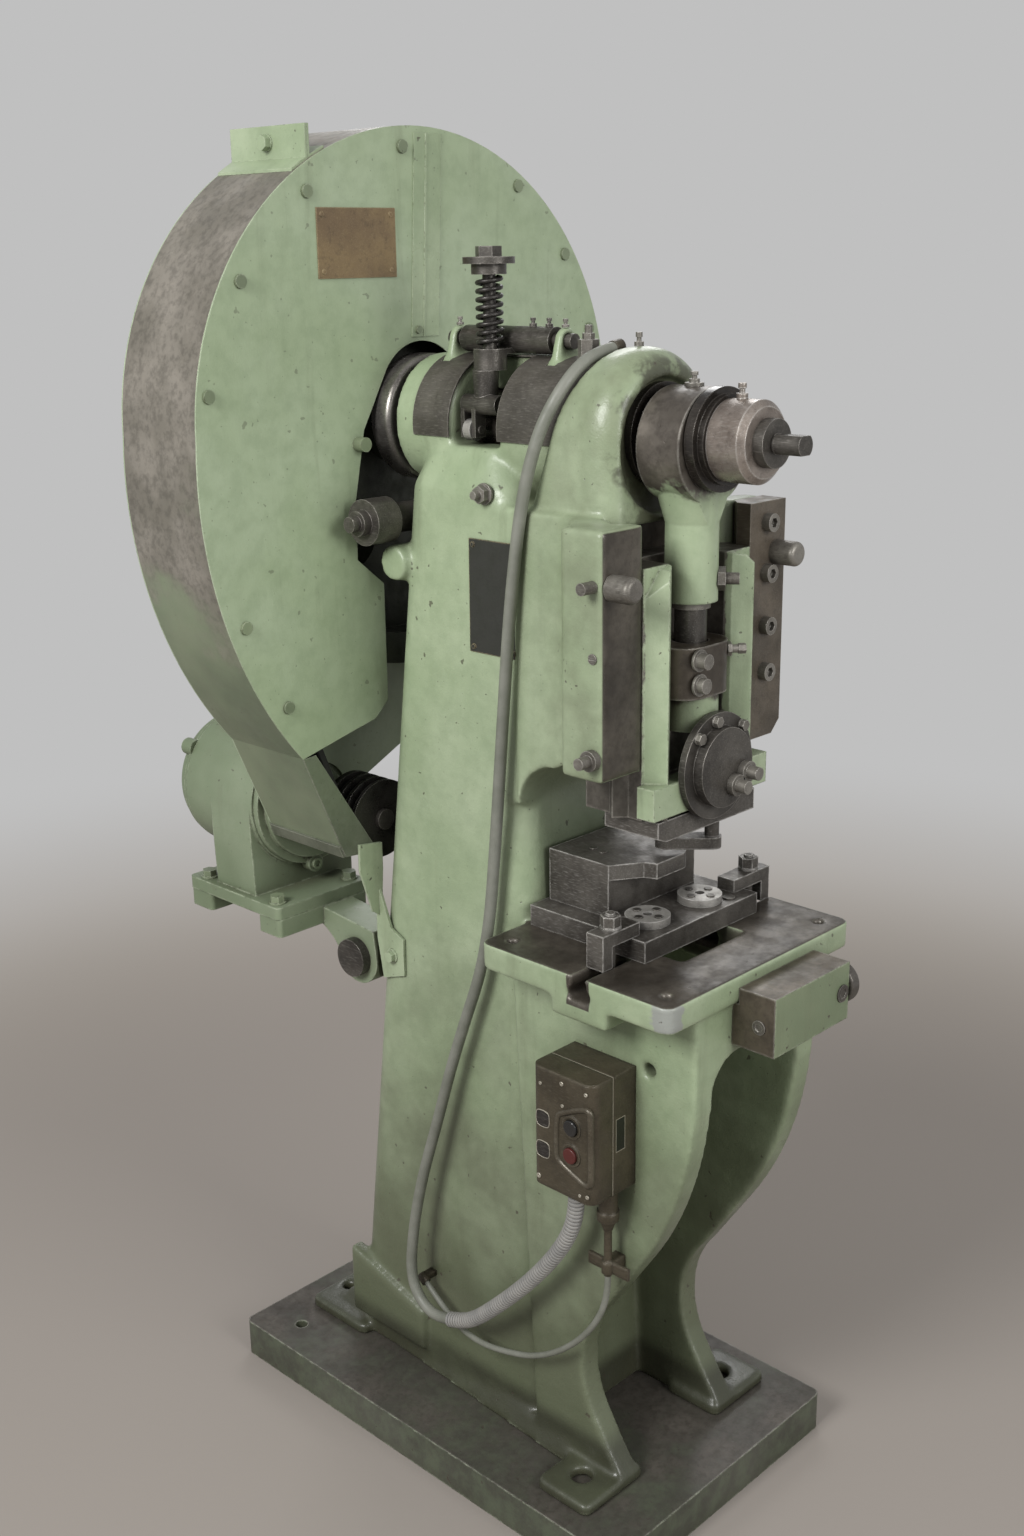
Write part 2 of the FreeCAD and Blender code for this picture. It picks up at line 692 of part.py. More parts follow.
# ------------------------------------------------------------- control box
CONTROL_OUT = -200.0
CONTROL_SPLIT = -163.0
CONTROL_FRONT = -312.0
CONTROL_BACK = -214.0
CONTROL_BOTTOM_Z = 515.0
CONTROL_TOP_Z = 672.0
CONTROL_ROUND = 14.0
CONTROL_WALL = 4.0
BUTTON_R = 10.0
BUTTON_GAP = 0.3
BUTTON_OUT = -205.0
BUTTON_LENGTH = 17.0
BUTTON_FLANGE_R = 13.0
BEZEL_R = 14.5
BEZEL_THICK = 1.5
START_Y = -280.0
START_Z = 610.0
STOP_Y = -279.0
STOP_Z = 573.0
PIPE_X = -145.0
PIPE_Y = -289.0
PIPE_R = 5.0
PIPE_BOTTOM_Z = 388.0
GLAND_R = 12.0
GLAND_RING_R = 14.0
SADDLE_CLIP_Z = 400.0
CLIP_EAR_REACH = 32.0
GLAND_LENGTH = 36.0
GLAND_RING_THICK = 12.0
GLAND_CONE_LENGTH = 15.0
GLAND_CONE_STEP = 1.0
PIPE_SINK = 12.0             # how deep the pipe's top stands below the gland's ring
SADDLE_CLIP_WIDTH = 16.0
SADDLE_CLIP_WALL = 3.0
SADDLE_EAR_THICK = 4.0
OUTLET_LENGTH = 12.0
OUTLET_WALL = 2.5

# ------------------------------------------------------------- cords
CONDUIT_R = 10.5
CONDUIT_CORE_R = 8.9
CONDUIT_BORE_R = 7.7
CONDUIT_PITCH = 5.4
CABLE_R = 7.5
THIN_R = 4.0
ARC_SHARE = 0.45            # share of the shorter run that an arc takes up
CLIP_LENGTH = 14.0


def box(x0, x1, y0, y1, z0, z1):
    return Part.makeBox(x1 - x0, y1 - y0, z1 - z0, V(x0, y0, z0))


def rounded_box(x0, x1, y0, y1, z0, z1, radius):
    """A box whose four upright edges are rounded."""
    body = box(x0, x1, y0, y1, z0, z1)
    upright = [e for e in body.Edges if abs(e.tangentAt(e.FirstParameter).z) > 0.99]
    return body.makeFillet(radius, upright)


def rod(centre, axis, radius, length):
    return Part.makeCylinder(radius, length, centre, axis)


def ring(centre, axis, outer, inner, length):
    return rod(centre, axis, outer, length).cut(rod(centre, axis, inner, length))


def fused(shapes):
    whole = shapes[0]
    for shape in shapes[1:]:
        whole = whole.fuse(shape)
    return whole.removeSplitter()


def mirrored(shape):
    return shape.mirror(V(0, 0, 0), X_AXIS)


def outline_face(points, place):
    """A face through the points; a point given as (a, b, 'arc') is the middle of an arc."""
    edges = []
    count = len(points)
    index = 0
    while index < count:
        start = points[index]
        middle = points[(index + 1) % count]
        if len(middle) == 3:
            end = points[(index + 2) % count]
            edges.append(Part.Arc(place(*start), place(*middle[:2]), place(*end)).toShape())
            index += 2
        else:
            edges.append(Part.LineSegment(place(*start), place(*middle)).toShape())
            index += 1
    return Part.Face(Part.Wire(edges))


def side_plate(points, x0, x1):
    """A plate with its outline in the YZ plane, from x0 to x1."""
    return outline_face(points, lambda y, z: V(x0, y, z)).extrude(V(x1 - x0, 0, 0))


def front_plate(points, y0, y1):
    """A plate with its outline in the XZ plane, from y0 to y1."""
    return outline_face(points, lambda x, z: V(x, y0, z)).extrude(V(0, y1 - y0, 0))


def flat_plate(points, z0, z1):
    return outline_face(points, lambda x, y: V(x, y, z0)).extrude(V(0, 0, z1 - z0))


def rounded_section(half, front, back, radius, z):
    """A closed wire: a rectangle about x = 0 with round corners."""
    section = rounded_box(-half, half, front, back, z, z + 1, radius)
    bottom = [f for f in section.Faces if f.normalAt(0, 0).z < -0.99]
    return bottom[0].OuterWire


# ------------------------------------------------------------------ base plate
def base_plate():
    half_w = BASE_WIDTH / 2
    half_d = BASE_DEPTH / 2
    plate = rounded_box(-half_w, half_w, -half_d, half_d, 0, BASE_THICK, BASE_CORNER)
    for side in (-1, 1):
        plate = plate.cut(rod(V(side * ANCHOR_HOLE_X, ANCHOR_HOLE_Y, 0), Z_AXIS, ANCHOR_HOLE_R, BASE_THICK))
    return plate


# --------------------------------------------------------------- frame casting
def column():
    foot = rounded_section(COLUMN_FOOT_HALF, COLUMN_FOOT_FRONT, COLUMN_FOOT_BACK, COLUMN_CORNER, BASE_THICK)
    top = rounded_section(COLUMN_TOP_HALF, COLUMN_TOP_FRONT, COLUMN_TOP_BACK, COLUMN_CORNER, COLUMN_TOP_Z)
    shoulder = rounded_section(SHOULDER_HALF, SHOULDER_FRONT, SHOULDER_BACK, COLUMN_CORNER, SHOULDER_Z)
    shaft = Part.makeLoft([foot, top], True, True)
    closing = Part.makeLoft([top, shoulder], True, True)
    return fused([shaft, closing])


def leg():
    """The left side wall under the table, with its curved front edge."""
    top = TABLE_TOP_Z - TABLE_THICK
    points = [
        (LEG_BACK, top),
        (LEG_FRONT, top),
        *LEG_FRONT_CURVE,
        (FRONT_FOOT_FRONT + LEG_TOE_SETBACK, BASE_THICK + FOOT_THICK),
        (FRONT_FOOT_FRONT + LEG_TOE_SETBACK, BASE_THICK),
        (COLUMN_FOOT_FRONT + LEG_ROOT, BASE_THICK),
    ]
    wall = side_plate(points, -LEG_OUT, -LEG_OUT + LEG_THICK)
    return wall.cut(rod(V(-LEG_OUT, LEG_HOLE_Y, LEG_HOLE_Z), X_AXIS, LEG_HOLE_R, LEG_THICK))


def front_foot():
    top = BASE_THICK + FOOT_THICK
    plate = rounded_box(-FRONT_FOOT_OUT, -FRONT_FOOT_IN, FRONT_FOOT_FRONT, FRONT_FOOT_BACK,
                        BASE_THICK, top, FOOT_CORNER)
    hole = rod(V(-FRONT_FOOT_HOLE_X, FRONT_FOOT_HOLE_Y, BASE_THICK), Z_AXIS, FOOT_HOLE_R, FOOT_THICK)
    return plate.cut(hole)


def rear_foot():
    top = BASE_THICK + FOOT_THICK
    plate = rounded_box(-REAR_FOOT_OUT, -REAR_FOOT_IN, REAR_FOOT_FRONT - REAR_FOOT_ROOT, REAR_FOOT_BACK,
                        BASE_THICK, top, FOOT_CORNER)
    hole = rod(V(-REAR_FOOT_HOLE_X, REAR_FOOT_HOLE_Y, BASE_THICK), Z_AXIS, REAR_FOOT_HOLE_R, FOOT_THICK)
    return plate.cut(hole)


def foot_flange():
    """The low sloping flange round the column's foot."""
    def section(inset, z):
        corners = [
            V(-FLANGE_FRONT_HALF + inset, FLANGE_FRONT, z),
            V(-FLANGE_BACK_HALF + inset, FLANGE_BACK - inset, z),
            V(FLANGE_BACK_HALF - inset, FLANGE_BACK - inset, z),
            V(FLANGE_FRONT_HALF - inset, FLANGE_FRONT, z),
        ]
        return Part.makePolygon(corners + corners[:1])
    top = BASE_THICK + FLANGE_HEIGHT
    flange = Part.makeLoft([section(0, BASE_THICK), section(FLANGE_SLOPE, top)], True, True)
    inner = box(-LEG_OUT + LEG_THICK, LEG_OUT - LEG_THICK, TABLE_FRONT, COLUMN_FOOT_FRONT + FLANGE_ROOT,
                BASE_THICK, top)
    return flange.cut(inner)


def apron():
    """The front wall between the legs, with the arch under it."""
    top = TABLE_TOP_Z - TABLE_THICK
    half = LEG_OUT - APRON_SETBACK
    inner = half - APRON_SIDE
    points = [
        (-half, top),
        (half, top),
        (half, APRON_BOTTOM_Z - APRON_ARCH_R),
        (inner, APRON_BOTTOM_Z - APRON_ARCH_R),
        (inner - ARCH_SAG, APRON_BOTTOM_Z - ARCH_SAG, "arc"),
        (inner - APRON_ARCH_R, APRON_BOTTOM_Z),
        (-inner + APRON_ARCH_R, APRON_BOTTOM_Z),
        (-inner + ARCH_SAG, APRON_BOTTOM_Z - ARCH_SAG, "arc"),
        (-inner, APRON_BOTTOM_Z - APRON_ARCH_R),
        (-half, APRON_BOTTOM_Z - APRON_ARCH_R),
    ]
    return front_plate(points, LEG_FRONT, LEG_FRONT + APRON_THICK)


def table():
    bottom = TABLE_TOP_Z - TABLE_THICK
    plate = rounded_box(-TABLE_HALF, TABLE_HALF, TABLE_FRONT, TABLE_BACK, bottom, TABLE_TOP_Z, TABLE_CORNER)
    boss = box(-TABLE_HALF, TABLE_HALF, SLOT_Y - SLOT_BOSS_HALF, SLOT_Y + SLOT_BOSS_HALF,
               bottom - SLOT_BOSS_DEPTH, bottom)
    return fused([plate, boss])


def table_cuts():
    """The T-slot, the drop opening and the corner holes, as one tool."""
    neck_bottom = TABLE_TOP_Z - SLOT_NECK_DEPTH
    boss_bottom = TABLE_TOP_Z - TABLE_THICK - SLOT_BOSS_DEPTH
    neck_half = SLOT_WIDTH / 2
    foot_half = SLOT_FOOT_WIDTH / 2
    cuts = [
        box(-TABLE_HALF, TABLE_HALF, SLOT_Y - neck_half, SLOT_Y + neck_half, neck_bottom, TABLE_TOP_Z),
        box(-TABLE_HALF, TABLE_HALF, SLOT_Y - foot_half, SLOT_Y + foot_half,
            neck_bottom - SLOT_FOOT_DEPTH, neck_bottom),
        box(-DROP_HALF, DROP_HALF, DROP_FRONT, DROP_BACK, boss_bottom, TABLE_TOP_Z),
    ]
    for x in (-TABLE_HOLE_X, TABLE_HOLE_X):
        for y in (TABLE_HOLE_FRONT_Y, TABLE_HOLE_BACK_Y):
            cuts.append(rod(V(x, y, TABLE_TOP_Z - TABLE_THICK), Z_AXIS, TABLE_HOLE_R, TABLE_THICK))
    return cuts


def neck():
    """The frame between the column and the ways, over the throat."""
    low = GIB_BOTTOM_Z - NECK_LIP
    bend = NECK_THROAT_R * math.sqrt(0.5)
    side = [
        (NECK_BACK, low),
        (NECK_ROOT, low),
        (NECK_ROOT - NECK_THROAT_R + bend, low + bend, "arc"),
        (NECK_ROOT - NECK_THROAT_R, low + NECK_THROAT_R),
        (NECK_FRONT, GIB_BOTTOM_Z),
        (NECK_FRONT, GIB_TOP_Z),
        (NECK_BACK, GIB_TOP_Z),
    ]
    return side_plate(side, -NECK_HALF, NECK_HALF)


def column_half(z):
    """Half the column's width at a height."""
    share = (z - BASE_THICK) / (COLUMN_TOP_Z - BASE_THICK)
    return COLUMN_FOOT_HALF + share * (COLUMN_TOP_HALF - COLUMN_FOOT_HALF)


def neck_flanks():
    """The flat sides between the neck and the column."""
    low = GIB_BOTTOM_Z - NECK_LIP
    points = [
        (-column_half(low), low),
        (column_half(low), low),
        (column_half(GIB_TOP_Z), GIB_TOP_Z),
        (-column_half(GIB_TOP_Z), GIB_TOP_Z),
    ]
    return front_plate(points, NECK_ROOT, NECK_ROOT_BACK)


def way_block(front):
    """The left side block that carries the slide's way, from its front face back to the neck."""
    points = [
        (-GIB_OUT, front),
        (-GIB_IN, front),
        (-GIB_IN, GIB_BACK),
        (-NECK_HALF, GIB_BACK + WAY_FAIRING),
        (-NECK_HALF - FAIRING_SAG_X, GIB_BACK - FAIRING_SAG_Y, "arc"),
        (-GIB_OUT, GIB_SIDE_BACK),
    ]
    return flat_plate(points, GIB_BOTTOM_Z, GIB_TOP_Z)


def way_groove():
    """The V-groove of the right way, as a tool."""
    triangle = [
        (GIB_IN - CUT_OVER, WAY_V_Y - WAY_V_DEPTH - CUT_OVER),
        (GIB_IN + WAY_V_DEPTH, WAY_V_Y),
        (GIB_IN - CUT_OVER, WAY_V_Y + WAY_V_DEPTH + CUT_OVER),
    ]
    return flat_plate(triangle, GIB_BOTTOM_Z - GIB_PLATE_DROP, GIB_TOP_Z)


def behind_head(shape, gap):
    """What is left of a shape behind the head's leaning back face, with a gap to it."""
    reach = 600.0
    lean = HEAD_LEAN * reach
    points = [
        (HEAD_BACK_Y + gap + lean, HEAD_SKIRT_Z - reach),
        (HEAD_BACK_Y + gap - lean, HEAD_SKIRT_Z + reach),
        (HEAD_BACK_Y - 2 * reach, HEAD_SKIRT_Z + reach),
        (HEAD_BACK_Y - 2 * reach, HEAD_SKIRT_Z - reach),
    ]
    return shape.cut(side_plate(points, -reach, reach))


def head():
    """The rounded arch round the shaft's front end: one section turned over the top, with a skirt below."""
    knee = math.sqrt(0.5)
    rise = HEAD_R - HEAD_RIM_R
    section = [
        (0, HEAD_FRONT),
        (HEAD_RIM_R, HEAD_FRONT),
        (HEAD_RIM_R + rise * knee, HEAD_FRONT + HEAD_ROUND_DEPTH * (1 - knee), "arc"),
        (HEAD_R, HEAD_FRONT + HEAD_ROUND_DEPTH),
        (HEAD_R, HEAD_BACK_Y),
        (0, HEAD_BACK_Y),
    ]
    face = outline_face(section, lambda x, y: V(x, y, SHAFT_Z))
    drum = face.revolve(V(0, 0, SHAFT_Z), Y_AXIS, 360)
    skirt = face.extrude(V(0, 0, HEAD_SKIRT_Z - SHAFT_Z))
    arch = fused([drum, skirt, mirrored(skirt)])
    return arch.cut(behind_head(arch, 0))


def housing():
    front = HEAD_FRONT + HEAD_ROUND_DEPTH
    return rod(V(0, front, SHAFT_Z), Y_AXIS, HOUSING_R, HOUSING_BACK - front)


def pivot_ear(y):
    """A lug on the housing that holds the trip shaft."""
    foot = SHAFT_Z + HOUSING_R - EAR_SINK
    points = [
        (TRIP_X - EAR_FOOT_HALF, foot),
        (TRIP_X - EAR_R, TRIP_Z),
        (TRIP_X, TRIP_Z + EAR_R, "arc"),
        (TRIP_X + EAR_R, TRIP_Z),
        (TRIP_X + EAR_FOOT_HALF, foot),
    ]
    ear = front_plate(points, y - EAR_THICK / 2, y + EAR_THICK / 2)
    return ear.cut(rod(V(TRIP_X, y - EAR_THICK, TRIP_Z), Y_AXIS, TRIP_SHAFT_R + RUNNING_GAP, 2 * EAR_THICK))


def side_pad():
    points = [
        (PAD_FRONT, BASE_THICK + FLANGE_HEIGHT - PAD_SINK),
        (PAD_FRONT, PAD_FRONT_Z),
        (PAD_BACK, PAD_BACK_Z),
        (PAD_BACK, BASE_THICK + FLANGE_HEIGHT - PAD_SINK),
    ]
    return side_plate(points, -PAD_OUT, -COLUMN_TOP_HALF)


def back_lugs():
    """The bored lugs behind the column that carry the motor bracket's pin and the stay shaft."""
    pin_lug = fused([
        rod(V(-PIN_LUG_HALF, PIN_Y, PIN_Z), X_AXIS, PIN_LUG_R, 2 * PIN_LUG_HALF),
        box(-PIN_LUG_HALF, PIN_LUG_HALF, PIN_Y - PIN_LUG_ROOT, PIN_Y, PIN_Z - PIN_LUG_R, PIN_Z + PIN_LUG_R),
    ])
    pin_lug = pin_lug.translated(V(PIN_LUG_X, 0, 0))
    stay_lug = fused([
        rod(V(-STAY_LUG_HALF, STAY_Y, STAY_Z), X_AXIS, STAY_LUG_R, 2 * STAY_LUG_HALF),
        box(-STAY_LUG_HALF, STAY_LUG_HALF, STAY_Y - STAY_LUG_ROOT, STAY_Y,
            STAY_Z - STAY_LUG_R, STAY_Z + STAY_LUG_R),
        rod(V(-BOSS_END_X, BOSS_Y, BOSS_Z), X_AXIS, BOSS_R, BOSS_END_X),
        box(-BOSS_END_X + BOSS_NECK_SHORT, 0, BOSS_Y - BOSS_ROOT, BOSS_Y, BOSS_Z - BOSS_R, BOSS_Z + BOSS_R),
    ])
    return [pin_lug, stay_lug]


def column_hollow():
    low = rounded_section(COLUMN_FOOT_HALF - COLUMN_WALL, COLUMN_FOOT_FRONT + COLUMN_WALL,
                          COLUMN_FOOT_BACK - COLUMN_WALL, COLUMN_CORNER - COLUMN_WALL, BASE_THICK)
    share = (COLUMN_ROOF_Z - BASE_THICK) / (COLUMN_TOP_Z - BASE_THICK)
    half = column_half(COLUMN_ROOF_Z) - COLUMN_WALL
    front = COLUMN_FOOT_FRONT + share * (COLUMN_TOP_FRONT - COLUMN_FOOT_FRONT) + COLUMN_WALL
    back = COLUMN_FOOT_BACK + share * (COLUMN_TOP_BACK - COLUMN_FOOT_BACK) - COLUMN_WALL
    high = rounded_section(half, front, back, COLUMN_CORNER - COLUMN_WALL, COLUMN_ROOF_Z)
    return Part.makeLoft([low, high], True, True)


def clutch_window():
    """The opening in the housing's left top where the trip lever's roller works."""
    return box(-HOUSING_R - 10, WINDOW_RIGHT, WINDOW_FRONT, WINDOW_BACK, WINDOW_LOW_Z, TRIP_Z)


def frame_casting():
    left = fused([leg(), front_foot(), rear_foot(), way_block(GIB_FRONT)])
    right = mirrored(fused([leg(), front_foot(), rear_foot(), way_block(GIB_FRONT + GIB_PLATE_THICK)]))
    lugs = back_lugs() + [pivot_ear(EAR_BACK_Y), pivot_ear(EAR_FRONT_Y), side_pad()]
    walls = [column(), left, right, foot_flange(), apron(), table(), neck(), neck_flanks(), head(), housing()]
    solid = fused(walls + lugs)
    tools = table_cuts()
    tools.append(rod(V(0, HEAD_FRONT, RECESS_Z), Y_AXIS, RECESS_R, RECESS_DEPTH))
    tools.append(rod(V(0, HEAD_FRONT, SHAFT_Z), Y_AXIS, HOUSING_BORE_R, HOUSING_BACK - HEAD_FRONT))
    tools.append(column_hollow())
    tools.append(way_groove())
    tools.append(mirrored(way_groove()))
    tools.append(clutch_window())
    tools.append(rod(V(PIN_LUG_X - PIN_LUG_HALF, PIN_Y, PIN_Z), X_AXIS, PIN_R + RUNNING_GAP,
                     2 * PIN_LUG_HALF))
    tools.append(rod(V(-STAY_LUG_HALF, STAY_Y, STAY_Z), X_AXIS, STAY_R + RUNNING_GAP, 2 * STAY_LUG_HALF))
    for tool in tools:
        solid = solid.cut(tool)
    return solid


# ------------------------------------------------------------------- fasteners
def hex_prism(centre, axis, across_flats, length):
    corner_r = across_flats / math.sqrt(3)
    turns = [math.pi / 3 * k for k in range(6)]
    points = [V(corner_r * math.cos(turn), corner_r * math.sin(turn), 0) for turn in turns]
    face = Part.Face(Part.makePolygon(points + points[:1]))
    solid = face.extrude(V(0, 0, length))
    solid.Placement = FreeCAD.Placement(centre, FreeCAD.Rotation(Z_AXIS, axis))
    return solid


def socket_screw(seat, axis, head_r, head_height):
    head = rod(seat, axis, head_r, head_height)
    return head.cut(hex_prism(seat + axis * (head_height * 0.5), axis, head_r, head_height))


def hex_bolt(seat, axis, across_flats, head_height, washer_r, washer_height):
    washer = rod(seat, axis, washer_r, washer_height)
    return washer.fuse(hex_prism(seat + axis * washer_height, axis, across_flats, head_height))


def nipple(seat, axis, base_r, height):
    """An oil nipple: a base, a neck and a round head."""
    end_height = height * NIPPLE_BASE_SHARE
    neck_height = height * NIPPLE_NECK_SHARE
    base = rod(seat, axis, base_r, end_height)
    neck_part = rod(seat + axis * end_height, axis, base_r * NIPPLE_NECK_R_SHARE, neck_height)
    top = rod(seat + axis * (end_height + neck_height), axis, base_r * NIPPLE_TOP_R_SHARE, end_height)
    return fused([base, neck_part, top])


def compound(shapes):
    return Part.makeCompound(shapes)


# ------------------------------------------------------- ways and their screws
def right_gib_plate():
    points = [
        (GIB_IN, GIB_BOTTOM_Z - GIB_PLATE_DROP),
        (GIB_OUT - GIB_PLATE_CHAMFER, GIB_BOTTOM_Z - GIB_PLATE_DROP),
        (GIB_OUT, GIB_BOTTOM_Z - GIB_PLATE_DROP + GIB_PLATE_CHAMFER),
        (GIB_OUT, GIB_TOP_Z),
        (GIB_IN, GIB_TOP_Z),
    ]
    plate = front_plate(points, GIB_FRONT, GIB_FRONT + GIB_PLATE_THICK)
    return plate.cut(way_groove())


def way_fasteners():
    """The screws of the bolted plate, the two stop pins, and the studs and screw in the left block's side."""
    pieces = [socket_screw(V(GIB_SCREW_X, GIB_FRONT, z), -Y_AXIS, GIB_SCREW_R, GIB_SCREW_HEIGHT)
              for z in GIB_SCREW_Z]
    for side in (-1, 1):
        pin = rod(V(side * STOP_PIN_X, GIB_FRONT, STOP_PIN_Z), -Y_AXIS, STOP_PIN_R, STOP_PIN_LENGTH)
        rim = [e for e in pin.Edges if e.BoundBox.YMax < GIB_FRONT - 1]
        pieces.append(pin.makeFillet(STOP_PIN_ROUND, rim))
    seat_x = -GIB_OUT
    pieces.append(rod(V(seat_x, ADJUSTER_Y, ADJUSTER_TOP_Z), -X_AXIS, ADJUSTER_STUD_R, ADJUSTER_STUD_LENGTH))
    middle = rod(V(seat_x, ADJUSTER_Y, ADJUSTER_MIDDLE_Z), -X_AXIS, SLOT_SCREW_R, SLOT_SCREW_HEIGHT)
    pieces.append(middle.cut(box(seat_x - SLOT_SCREW_HEIGHT - CUT_OVER, seat_x - SLOT_SCREW_FLOOR,
                                 ADJUSTER_Y - SLOT_SCREW_R, ADJUSTER_Y + SLOT_SCREW_R,
                                 ADJUSTER_MIDDLE_Z - SLOT_SCREW_SLOT_HALF,
                                 ADJUSTER_MIDDLE_Z + SLOT_SCREW_SLOT_HALF)))
    nut = rod(V(seat_x, ADJUSTER_Y, ADJUSTER_LOW_Z), -X_AXIS, ADJUSTER_NUT_R, ADJUSTER_NUT_THICK)
    tip_seat = V(seat_x - ADJUSTER_NUT_THICK, ADJUSTER_Y, ADJUSTER_LOW_Z)
    pieces.append(nut.fuse(rod(tip_seat, -X_AXIS, ADJUSTER_STUD_R, ADJUSTER_TIP_LENGTH)))
    return compound(pieces)


# ----------------------------------------------------------- clutch trip gear
def trip_pins():
    """The shaft that the trip lever turns with, and the roller's pin."""
    front = EAR_FRONT_Y - EAR_THICK / 2 - TRIP_PIN_FRONT_OVER
    back = EAR_BACK_Y + EAR_THICK / 2 + TRIP_PIN_BACK_OVER
    reach = ROLLER_WIDTH / 2 + SEAT_GAP + ROLLER_PIN_OVER
    return compound([
        rod(V(TRIP_X, front, TRIP_Z), Y_AXIS, TRIP_SHAFT_R, back - front),
        rod(V(ROLLER_X, ROLLER_Y - reach, ROLLER_Z), Y_AXIS, ROLLER_PIN_R, 2 * reach),
    ])


def trip_lever():
    """A long hub on the trip shaft, an eye for the spring bolt and a cross arm over the roller."""
    hub = rod(V(TRIP_X, LEVER_HUB_FRONT, TRIP_Z), Y_AXIS, LEVER_HUB_R, LEVER_HUB_BACK - LEVER_HUB_FRONT)
    eye = rod(V(BOLT_X, BOLT_Y, EYE_BOTTOM_Z), Z_AXIS, EYE_R, EYE_TOP_Z - EYE_BOTTOM_Z)
    web = box(BOLT_X, TRIP_X, BOLT_Y - LEVER_HUB_R, BOLT_Y + LEVER_HUB_R, TRIP_Z - LEVER_HUB_R, EYE_TOP_Z)
    neck_part = Part.makeCone(ARM_R + LEVER_NECK_LOW_MORE, EYE_R - LEVER_NECK_TOP_LESS, EYE_BOTTOM_Z - ARM_Z,
                              V(ARM_X + LEVER_NECK_SHIFT, BOLT_Y, ARM_Z), Z_AXIS)
    arm = rod(V(ARM_X, ARM_FRONT, ARM_Z), Y_AXIS, ARM_R, ARM_BACK - ARM_FRONT)
    cheeks = []
    room = ROLLER_WIDTH / 2 + SEAT_GAP
    for y in (ROLLER_Y - room - CHEEK_THICK, ROLLER_Y + room):
        cheeks.append(box(ROLLER_X - CHEEK_HALF, ROLLER_X + CHEEK_HALF, y, y + CHEEK_THICK,
                          ROLLER_Z - CHEEK_HALF, ARM_Z))
    body = fused([hub, eye, web, neck_part, arm] + cheeks)
    body = body.cut(rod(V(ROLLER_X, ROLLER_Y - room, ROLLER_Z), Y_AXIS, ROLLER_R + ROLLER_ROOM, 2 * room))
    body = body.cut(rod(V(ROLLER_X, ARM_FRONT, ROLLER_Z), Y_AXIS, ROLLER_PIN_R + BUSH_GAP,
                        ARM_BACK - ARM_FRONT + CHEEK_THICK))
    body = body.cut(rod(V(TRIP_X, LEVER_HUB_FRONT, TRIP_Z), Y_AXIS, TRIP_SHAFT_R + RUNNING_GAP,
                        LEVER_HUB_BACK - LEVER_HUB_FRONT))
    bore_foot = V(BOLT_X, BOLT_Y, BOLT_BOTTOM_Z - BOLT_TRAVEL - CUT_OVER)
    body = body.cut(rod(bore_foot, Z_AXIS, BOLT_R + BUSH_GAP, EYE_TOP_Z))
    seat_z = TRIP_Z + LEVER_HUB_R - LEVER_NIPPLE_SINK
    fittings = [nipple(V(TRIP_X, y, seat_z), Z_AXIS, LEVER_NIPPLE_R, LEVER_NIPPLE_HEIGHT)
                for y in LEVER_NIPPLE_Y]
    return fused([body] + fittings)


def trip_roller():
    half = ROLLER_WIDTH / 2
    return ring(V(ROLLER_X, ROLLER_Y - half, ROLLER_Z), Y_AXIS, ROLLER_R, ROLLER_PIN_R + BUSH_GAP,
                ROLLER_WIDTH)


def spring_bolt():
    """The bolt through the lever's eye, the cap over its spring and the round plate on the cap."""
    cap_top = SPRING_TOP_Z + SPRING_CAP_THICK
    top = cap_top + SPRING_PLATE_THICK
    shank = rod(V(BOLT_X, BOLT_Y, BOLT_BOTTOM_Z), Z_AXIS, BOLT_R, top - BOLT_BOTTOM_Z)
    bolt_head = hex_prism(V(BOLT_X, BOLT_Y, top), Z_AXIS, BOLT_HEAD_FLATS, BOLT_HEAD_HEIGHT)
    cap = rod(V(BOLT_X, BOLT_Y, SPRING_TOP_Z), Z_AXIS, SPRING_CAP_R, SPRING_CAP_THICK)
    plate = rod(V(BOLT_X, BOLT_Y, cap_top), Z_AXIS, SPRING_PLATE_R, SPRING_PLATE_THICK)
    washers = cap.fuse(plate)
    washers = washers.cut(rod(V(BOLT_X, BOLT_Y, SPRING_TOP_Z), Z_AXIS, BOLT_R + BUSH_GAP, top - SPRING_TOP_Z))
    return compound([shank.fuse(bolt_head), washers])


def arc_through(points):
    return Part.Arc(points[0], points[1], points[2]).toShape()


def spring_place(step):
    """A point on the coil's middle line, counted in quarter turns."""
    low = EYE_TOP_Z + SPRING_WIRE_R + SPRING_END_ROOM
    high = SPRING_TOP_Z - SPRING_WIRE_R - SPRING_END_ROOM
    angle = math.pi / 2 * step
    return V(BOLT_X + SPRING_R * math.cos(angle), BOLT_Y + SPRING_R * math.sin(angle),
             low + (high - low) * step / (4 * SPRING_CURLS))


def spring_gap():
    """The least gap between two stretches of the wire that lie half a turn or more apart."""
    points = [spring_place(k / 4) for k in range(16 * SPRING_CURLS + 1)]
    least = min(a.distanceToPoint(b) for k, a in enumerate(points) for b in points[k + 8:])
    return least - 2 * SPRING_WIRE_R


